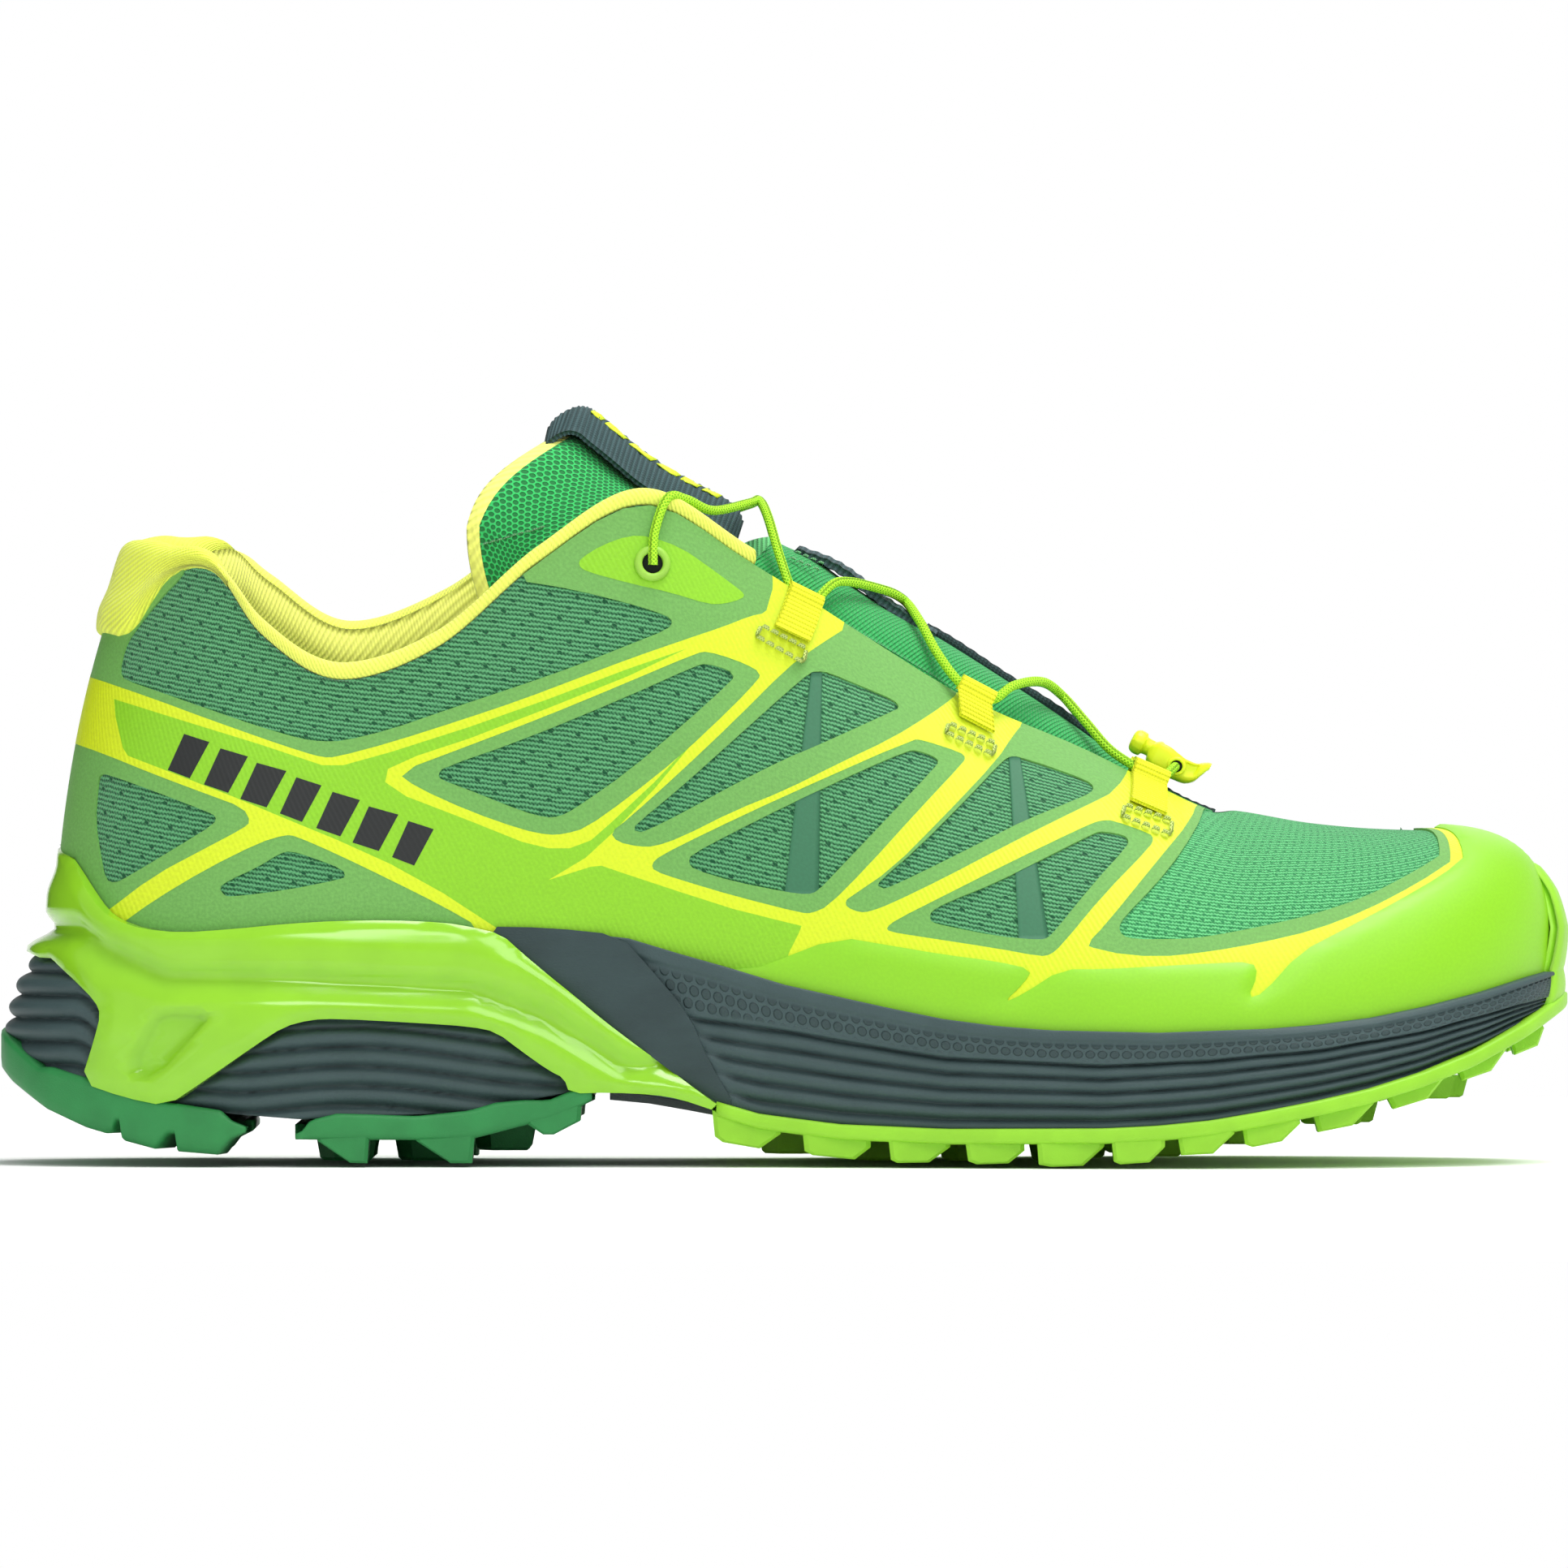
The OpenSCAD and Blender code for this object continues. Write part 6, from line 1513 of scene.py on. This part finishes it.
def stitches(name, rows, mat, r, n=8, **kw):
    """Short rounded thread lengths; each row is (points, outward directions, number)."""
    parts = []
    for pts, outs, count in rows:
        pts, outs = np.asarray(pts, float), np.asarray(outs, float)
        length = run_length(pts)
        for i in range(count):
            t = np.linspace(i + .08, i + .92, 9) / count * length[-1]
            p = np.stack([np.interp(t, length, pts[:, j]) for j in range(3)], -1)
            o = unit(np.stack([np.interp(t, length, outs[:, j]) for j in range(3)], -1))
            s = np.linspace(-1, 1, 9)
            p = p + o * (.05 + .38 * (1 - s**4) - .5 * (np.abs(s) > .99))[:, None]
            d = unit(np.gradient(p, axis=0))
            w = unit(np.cross(d, o))
            rr = r * np.sqrt(np.clip(1.04 - np.abs(s)**5, .05, 1))
            a = np.linspace(0, 2 * np.pi, n, endpoint=False)
            ring = np.cos(a)[None, :, None] * o[:, None] + np.sin(a)[None, :, None] * w[:, None]
            g = p[:, None] + rr[:, None, None] * ring
            uv = np.stack(np.broadcast_arrays(s[:, None] * 1.2, a[None] * r), -1).reshape(-1, 2)
            parts.append((g.reshape(-1, 3), capped(9, n, True), uv))
    join(name, parts, mat, slot="thread", **kw)


# the seam that shows on each side of the spacer mesh, found where the side view has it
rows = []
ga, gb = np.meshgrid(np.linspace(4.6, 7.9, 90), np.linspace(.3, 1.48, 90), indexing="ij")
grid = tongue_pt(ga, gb, -.62)
seam_a, seam_b = np.array([-58.3, 117.6]), np.array([-46, 121.2])
for s in (-1, 1):
    line = seam_a + (seam_b - seam_a) * np.linspace(0, 1, 24)[:, None]
    idx = [int(np.argmin((grid[..., 0] - x)**2 + (grid[..., 2] - z)**2)) for x, z in line]
    a, b = ga.ravel()[idx], gb.ravel()[idx] * s
    p = tongue_pt(a, b, -.68)
    for _ in range(3):
        p[1:-1] = p[:-2] * .25 + p[1:-1] * .5 + p[2:] * .25
    rows.append((p, p - tongue_pt(a, b, .5), 9))
stitches("tongue_seam_thread", rows, THREADG, .2, 6, body="tongue")

# webbing strap over the top of the tongue
T_TOP = [(-46, 138), (-45.4, 141), (-43.3, 143.2), (-40.3, 144.6), (-38, 144.5), (-36, 143.3), (-32, 140),
         (-27, 135.9), (-22, 132.6), (-18, 130.4), (-14, 128.4), (-11, 126.6), (-9, 124.8), (-8.2, 122.4)]
T_EDGE = [(-46.5, 134), (-46.3, 136.6), (-44.6, 138.6), (-42, 139.8), (-39.6, 139.4), (-37.6, 137.8),
          (-33.6, 134.6), (-28.6, 130.4), (-23.8, 127.2), (-19.8, 125), (-15.8, 123.2), (-12.8, 121.6),
          (-10.8, 120), (-9.6, 118)]
nt, ns = 90, 25  # points along and across the strap
tt = np.linspace(0, len(T_TOP) - 1, nt)
ct, et = cr(np.array(T_TOP, float), tt), cr(np.array(T_EDGE, float), tt)
S = np.linspace(-1, 1, ns)
fall = np.abs(S)**2.1
gx = ct[:, 0, None] + (et[:, 0] - ct[:, 0])[:, None] * fall
gz = ct[:, 1, None] + (et[:, 1] - ct[:, 1])[:, None] * fall
gy = mid_y(gx) + S[None] * 8.6
top = np.stack([gx, gy, gz], -1)
nr = unit(np.cross(np.gradient(top, axis=0), np.gradient(top, axis=1)))
nr = nr * np.sign(nr[..., 2:3] + 1e-9)
rib = .16 * np.sin(np.arange(nt)[:, None] / nt * 2 * np.pi * 34)
thick = 1.7 - .5 * np.abs(S)[None]**6
top = top + nr * (rib * (1 - np.abs(S)[None]**8))[..., None]
shell("tongue_webbing", top, top - nr * (thick + rib)[..., None], WEB, arc_uv(top), flip=True, body="tongue",
      cover=("tongue_strap",), slot="webbing")
# six plain yellow bars on it
marks = []
LEFT, RIGHT = -.42, -.2
rim = [0, 6, 12, 18, 19, 20, 21, 22, 23, 17, 11, 5, 4, 3, 2, 1]
for i in range(6):
    row = 30 + i * 7
    t, across = np.meshgrid(np.linspace(row, row + 5.6, 4), np.linspace(LEFT, RIGHT, 6), indexing="ij")
    ii = np.clip(t + (across - LEFT) * 6, 0, nt - 1.001)
    kk = (across + 1) / 2 * (ns - 1)
    i0, k0 = ii.astype(int), kk.astype(int)
    fi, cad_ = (ii - i0)[..., None], (kk - k0)[..., None]
    q = top[i0, k0] * (1 - fi) * (1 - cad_) + top[i0 + 1, k0] * fi * (1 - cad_)
    q = q + top[i0, k0 + 1] * (1 - fi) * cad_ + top[i0 + 1, k0 + 1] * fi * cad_
    nq = nr[i0, k0]
    v = np.concatenate([(q + nq * .22).reshape(-1, 3), (q + nq * .04).reshape(-1, 3)])
    f = grid_faces(4, 6) + grid_faces(4, 6, 24, True)
    f += [[a, a + 24, b + 24, b] for a, b in zip(rim, rim[1:] + rim[:1])]
    marks.append((v, f, np.concatenate([q[..., :2].reshape(-1, 2)] * 2)))
join("tongue_webbing_bars", marks, YELLOW, body="tongue")

# pocket for the lace, its webbing and edge binding
Ap, Bp = np.meshgrid(np.linspace(.35, 4.85, 90), np.linspace(-.62, .62, 40), indexing="ij")
lip = smooth(Ap, 3.5, 4.75)
rise = 1.5 + 2.5 * lip
crown = 1 - (np.abs(Bp) / .62)**2.6
top = tongue_pt(Ap, Bp, -(.7 + rise * crown + .25 * np.sin(Ap * 9 + 4 * Bp) * lip))
bot = tongue_pt(Ap, Bp, -(.5 + (rise - .9) * crown * .9))
shell("lace_pocket_cloth", top, bot, POCKET, arc_uv(top), flip=True, body="tongue",
      cover=("lace_pocket",), slot="tongue_mesh")
a = np.linspace(3.05, 4.62, 60)
lift = 2.35 + 2.6 * smooth(a, 3.5, 4.4) + .9 * np.sin(np.pi * np.clip((a - 3.05) / 1.5, 0, 1))
ww = np.linspace(-1, 1, 9)
AA, WW = np.meshgrid(a, ww, indexing="ij")
LL = np.broadcast_to(lift[:, None], AA.shape) + .12 * np.sin(np.arange(60)[:, None] * 1.35)
top = tongue_pt(AA, WW * .16, -(LL + .9 - .35 * WW**2))
bot = tongue_pt(AA, WW * .16, -(LL - .5 - .35 * WW**2))
shell("pocket_webbing", top, bot, WEB, arc_uv(top), flip=True, body="tongue", slot="webbing")
a = np.linspace(.3, 3.15, 150)
# it lies lower under the lock, which tips down over it
p = tongue_pt(a, 0., -(2.55 + .12 * np.sin(a * 7) - 1.15 * (1 - smooth(a, 1.15, 1.75))))
tube("pocket_binding", p, .95 + .06 * np.sin(np.arange(150) * 1.1), BIND, squash=1.15,
     ups=[[.5, 0, .86]] * 150,
     body="tongue", slot="webbing")
ex = np.linspace(0, 1, 14)[:, None]
ey = np.linspace(-1, 1, 22)[None]
exx = -9.6 + 7.4 * ex + 0 * ey
ez = 117.6 + 2.0 * ex + .5 * np.sin(ex * np.pi) - 4.2 * np.abs(ey)**2.2 + .15 * np.sin(ey * 40)
top = np.stack([exx, mid_y(exx) + ey * 9.5, ez], -1)
shell("pocket_elastic", top, top - [-.3, 0, 1.3], ELASTIC, arc_uv(top), body="tongue", slot="tongue_mesh")
rows = []
for y0 in (-6.5, -3.2, 3.2, 6.5):
    a = np.linspace(4.62, 4.3, 10)
    p = tongue_pt(a, y0 / 19., -(1.0 + rise[80, 20] * .98))
    rows.append((p, p - tongue_pt(a, y0 / 19., 0), 4))
stitches("pocket_bar_tacks", rows, THREADG, .26, 6, body="tongue")

# ---------------------------------------------------------------- lacing
LR = [[-25.3, -30.2, 113.8], [-25, -29.6, 120], [-22.5, -27.4, 126.6], [-19, -23.5, 126.4], [-14, -17, 124.4],
      [-7, -6, 126], [-5.2, 2.1, 126.6], [-3.5, 11, 123.5], [-1, 19.2, 115], [1.5, 23.2, 108.6],
      [5, 22.2, 106.9], [10, 17, 110.8], [18, 8, 109.6], [22.5, 2.6, 107.6], [25.5, -7, 103.5],
      [29, -13.6, 97], [33.5, -18, 91.2], [39, -17.6, 88.3], [43.5, -13, 91], [49, -5, 91.8], [53, 2.8, 89.2],
      [57.5, 9.4, 84], [62, 13, 78.8], [67.4, 16.4, 75.2], [71.5, 15.6, 73.4], [74.4, 10.6, 75.4],
      [74.8, 3.3, 75.6]]
LR = np.array(LR, float)
t = np.linspace(0, 26, 420)
half_a = cr(LR, t)
half_b = half_a[::-1][1:].copy()
half_b[:, 1] = 2 * mid_y(half_b[:, 0]) - half_b[:, 1]
tube("lace_cord", np.concatenate([half_a, half_b]), .9, CORD, n=16, cover=("lace",), slot="lace")


def across_foot(p, sd):
    """p as floats, moved across the middle line where it isn't on the side sd."""
    x, y, z = p
    return np.array([x, y if y * sd > 0 else 2 * mid_y(x) - y, z], float)


# webbing loops: where the lace enters and leaves, the middle of the foot, and the box of stitches
LOOP_HALF = 3.7  # half the width of a loop
rows = []
LOOPS = (("1", (1.5, 23.2, 108.6), (5, 22.2, 106.9), (.75, 100.4),
          ((-5, 102), (3.5, 97.5), (3, 94.8), (-6, 100))), ("2", (33.5, -18, 91.2), (39, -17.6, 88.3),
                                                            (35.9, 82.8),
                                                            ((30.5, 83), (39.5, 79), (39, 77), (30, 81.3))),
         ("3", (67.4, 16.4, 75.2), (71.5, 15.6, 73.4), (68.5, 66.9),
          ((64, 67.3), (73, 64.3), (72.7, 61.7), (63.5, 65.3))))
for num, p0, p1, foot, box in LOOPS:
    for sd, tag in SIDES:
        p0_, p1_ = across_foot(p0, sd), across_foot(p1, sd)
        d = unit(p1_ - p0_)
        mid = (p0_ + p1_) / 2
        s = np.linspace(-1, 1, 13)
        C = mid + s[:, None] * LOOP_HALF * d
        upv = unit(UP - d * d[2])
        outv = np.cross(upv, d)
        outv = outv * np.sign(outv[1] * sd)
        run = s[:, None] * LOOP_HALF * d[[0, 2]] / math.hypot(d[0], d[2])
        q = find(sd, foot + run)
        ub = side_u(sd, q[:, 0])
        foot_out, foot_in = surf(ub, q[:, 1], np.full(13, 1.75)), surf(ub, q[:, 1], np.full(13, 1.0))
        ro, ri = 1.95, 1.2
        e_out = C + outv * ro - upv * .8
        e_in = C + outv * ri - upv * .8
        face, back = [], []
        for t in np.linspace(0, 1, 9):
            bow = .35 * math.sin(math.pi * t)
            face.append(foot_out + (e_out - foot_out) * t + outv * bow)
            back.append(foot_in + (e_in - foot_in) * t + outv * bow)
        for t in np.radians(np.linspace(5, 215, 16)):
            turn = math.cos(t) * outv + math.sin(t) * upv
            face.append(C + ro * turn)
            back.append(C + ri * turn)
        face, back = np.stack(face, 1), np.stack(back, 1)
        shell(f"lace_loop_{num}_{tag}", face, back, LOOPM, arc_uv(face)[..., ::-1], flip=sd > 0,
              cover=(f"loop_{num}_{tag}",), slot="edge")
        c0, c1, c2, c3 = (np.array(corner) for corner in box)
        for a, b, count in ((c0, c1, 5), (c3, c2, 5), (c0, c3, 1), (c1, c2, 1)):
            q = find(sd, a + (b - a) * np.linspace(0, 1, 16)[:, None])
            u = side_u(sd, q[:, 0])
            rows.append((surf(u, q[:, 1], np.full(16, 1.05)), normal(u, q[:, 1]), count))
stitches("loop_stitch_rows", rows, THREAD, .42, cover=("loop_stitching",))


def disc(top, low):
    """Flat plug between two matching rings."""
    n = len(top)
    f = [list(range(n)), list(range(n, 2 * n))[::-1]] + [[i, n + i, n + (i + 1) % n, (i + 1) % n]
                                                         for i in range(n)]
    v = np.concatenate([top, low])
    return v, f, v[:, :2]


# near-black discs painted as the shade inside the eyelet and cord lock holes
HOLE_SHADE = rubber_mat("shadowed_hole", (.004, .008, .004), rough=.9, grain=.05)
for sd, tag in SIDES:
    q = find(sd, np.array([[-25.5, 114.]]))
    u = side_u(sd, q[:, 0])
    c = surf(u, q[:, 1], .4)[0]
    n = normal(u, q[:, 1])[0]
    e1 = unit(np.cross(n, [0, 0, 1.]))
    e2 = np.cross(n, e1)
    prof = [(2.0, -.2), (1.95, .3), (2.05, .75), (2.35, 1.02), (2.75, 1.08), (3.15, .92), (3.42, .55),
            (3.45, .1), (3.4, -.2)]
    prof = cr(np.array(prof, float), np.linspace(0, 8, 25))
    a = np.linspace(0, 2 * np.pi, 56, endpoint=False)
    ring = np.cos(a)[:, None] * e1 + np.sin(a)[:, None] * e2
    g = (c + prof[None, :, :1] * ring[:, None] + prof[None, :, 1:] * n).reshape(-1, 3)
    join("eyelet_ring_" + tag, [(g, lathed(56, 25), g[:, :2])], EYE, cover=("eyelet_" + tag,), slot="eyelet")
    # a dark disc in the eyelet, painted shade of the hole
    hole = c + n * .38 + 2.02 * ring
    join("eyelet_hole_" + tag, [disc(hole, hole - n * .3)], HOLE_SHADE, slot="eyelet")

# ---------------------------------------------------------------- cord lock
LOCK_AT, LEAN = np.array([74.8, 3.3, 75.6]), math.radians(27)


def lock_at(x, y, z):
    """Points given along, across and up the lock, on the lace where it is threaded."""
    x, y, z = np.broadcast_arrays(x, y, z)
    c, s = math.cos(LEAN), math.sin(LEAN)
    return (LOCK_AT + np.stack([x * c + z * s, y, -x * s + z * c], -1)).reshape(-1, 3)


def lock_piece(name, parts, mat=LOCKM, body="lock", **kw):
    join(name, [(v, f, v[:, :2]) for v, f in parts], mat, body=body, slot="lock", **kw)


# the body's sections from the button's end: x, top z, bottom z, half width
LOCK = np.array([(-6.1, 1.2, -.2, 3.3), (-5.7, 2.2, -1.4, 4.6), (-4.6, 3., -2.4, 5.5), (-3, 3.3, -2.7, 6),
                 (-1, 2.9, -2.6, 6.05), (1, 2.5, -2.5, 5.8), (3, 2.6, -2.2, 5.6), (4.4, 3., -1.1, 5.8),
                 (5.3, 3.5, .9, 6.15), (5.9, 3.6, 2.1, 6.2)])
x = np.linspace(-6.1, 5.9, 64)
zt, zb, hw = cr(LOCK, np.interp(x, LOCK[:, 0], np.arange(10.)))[:, 1:].T[..., None]
x = x[:, None]
an = np.linspace(0, 2 * np.pi, 72, endpoint=False)[None]
ROUNDED = .42  # how square the section is; 1 would be an ellipse
cy, cz = (np.sign(v) * np.abs(v)**ROUNDED for v in (np.cos(an), np.sin(an)))
y, zc = hw * cy, (zt + zb) / 2
z = zc + (zt - zb) / 2 * cz
dish = smooth(1 - np.abs(y) / hw, .1, .3) * smooth(4.4 - np.abs(x), 0, 1.)
z = z - np.where(np.sin(an) > .2, dish * (.75 - .22 * np.cos(x * 2 * np.pi / 1.9)), 0)
slit = smooth(1.2 - np.abs(z - zc - .6), 0, .5) * smooth(x, .9, 1.6) * smooth(-x, -4.4, -3.6)
y = y - np.sign(y) * smooth(np.abs(np.cos(an)), .55, .9) * slit * .7
lock_piece("cord_lock_body", [(lock_at(x, y, z), capped(64, 72))], cover=("lock_body",))
a = np.linspace(0, 2 * np.pi, 40, endpoint=False)
prof = np.array([(1.15, 5.3), (1.15, 6.25), (1.35, 6.42), (1.7, 6.35), (1.85, 6.05), (1.85, 5.3)])
ca, sa = np.cos(a)[:, None], np.sin(a)[:, None]
lock_piece("cord_lock_rims", [(lock_at(prof[:, 0] * ca, s * prof[:, 1], prof[:, 0] * sa), lathed(40, 6))
                              for s in (-1, 1)])
# dark discs in the lace holes, painted shade of the holes
holes = [disc(*(lock_at(1.18 * np.cos(a), s * y, 1.18 * np.sin(a)) for y in (6.12, 5.6)))[:2]
         for s in (-1, 1)]
lock_piece("cord_lock_holes", holes, HOLE_SHADE)
prof = np.array([(0, 0), (1.6, 0), (1.62, 1.6), (1.7, 3.1), (2.2, 3.5), (2.34, 4.1), (2.3, 4.9), (1.95, 5.6),
                 (1.2, 5.95), (0, 6.0)])
prof = cr(prof, np.linspace(0, 9, 46))
flute = 1 + .02 * np.cos(a * 12)[:, None] * (prof[:, 1] > 3.3)
button = lock_at(-3.9 - prof[:, 1], prof[:, 0] * ca * flute, .9 + prof[:, 0] * sa * flute)
lock_piece("cord_lock_button", [(button, grid_faces(40, 46, wrap_n=True))], body="lock_button",
           cover=("lock_button",))


# ---------------------------------------------------------------- floor, lights, camera
def studio():
    m = Mat("studio_floor", rough=.9, spec=0., uv=False)
    m.colour(m.mix(m.noise(.002), rgb(.93, .93, .93), rgb(.95, .95, .95)))
    me = bpy.data.meshes.new("floor")
    s, z = .62, -.0004  # half the floor's side and its height, in metres
    me.from_pydata([(-s, -s, z), (s, -s, z), (s, s, z), (-s, s, z)], [], [(0, 1, 2, 3)])
    floor = bpy.data.objects.new("floor", me)
    me.materials.append(m.m)
    # dark card beside the heel: it keeps the white surroundings out of the glossy frame
    dark = Mat("studio_card", rough=.9, spec=0., uv=False)
    dark.colour(dark.mix(dark.noise(.002), rgb(.015, .02, .015), rgb(.02, .025, .02)))
    mc = bpy.data.meshes.new("card")
    mc.from_pydata([(-.36, -.02, .03), (-.5, .95, .03), (-.5, .95, .42), (-.36, -.02, .42)], [],
                   [(0, 1, 2, 3)])
    card = bpy.data.objects.new("card", mc)
    mc.materials.append(dark.m)
    card.visible_camera = False
    for o in (floor, card):
        bpy.context.scene.collection.objects.link(o)
    world = bpy.data.worlds.new("studio")
    bpy.context.scene.world = world
    world.use_nodes = True
    wt = world.node_tree
    bg = wt.nodes["Background"]
    # white round the horizon and dimmer above it, so that the lamps shape the object
    tc = wt.nodes.new("ShaderNodeTexCoord")
    sep = wt.nodes.new("ShaderNodeSeparateXYZ")
    ramp = wt.nodes.new("ShaderNodeMapRange")
    ramp.inputs["From Min"].default_value, ramp.inputs["From Max"].default_value = .18, .4
    ramp.inputs["To Min"].default_value, ramp.inputs["To Max"].default_value = 1., .45
    wt.links.new(tc.outputs["Generated"], sep.inputs[0])
    wt.links.new(sep.outputs["Z"], ramp.inputs["Value"])
    wt.links.new(ramp.outputs["Result"], bg.inputs["Color"])
    bg.inputs[1].default_value = 1.0
    for name, loc, size, power in (("key", (.55, -1.0, 1.1), .7, 5), ("fill", (-.9, -1.1, .6), 1.1, 1.2),
                                   ("strip", (-.12, -1.15, 1.05), .38, 2.6),
                                   ("top", (.35, -.05, 1.5), 1., 22),
                                   ("rim", (.2, 1.1, .8), .9, 2)):
        li = bpy.data.lights.new(name, "AREA")
        li.shape = "DISK"
        li.size = size
        li.energy = power
        ob = bpy.data.objects.new(name, li)
        ob.location = loc
        d = Vector((0, 0, .06)) - Vector(loc)
        ob.rotation_euler = d.to_track_quat("-Z", "Y").to_euler()
        bpy.context.scene.collection.objects.link(ob)
    cam = bpy.data.cameras.new("camera")
    cam.lens = 359
    cam.clip_end = 50
    co = bpy.data.objects.new("camera", cam)
    co.location = (-.0004, -3., .0722)
    co.rotation_euler = (math.pi / 2, 0, 0)
    bpy.context.scene.collection.objects.link(co)
    bpy.context.scene.camera = co
    bpy.context.scene.view_settings.view_transform = "Standard"


studio()
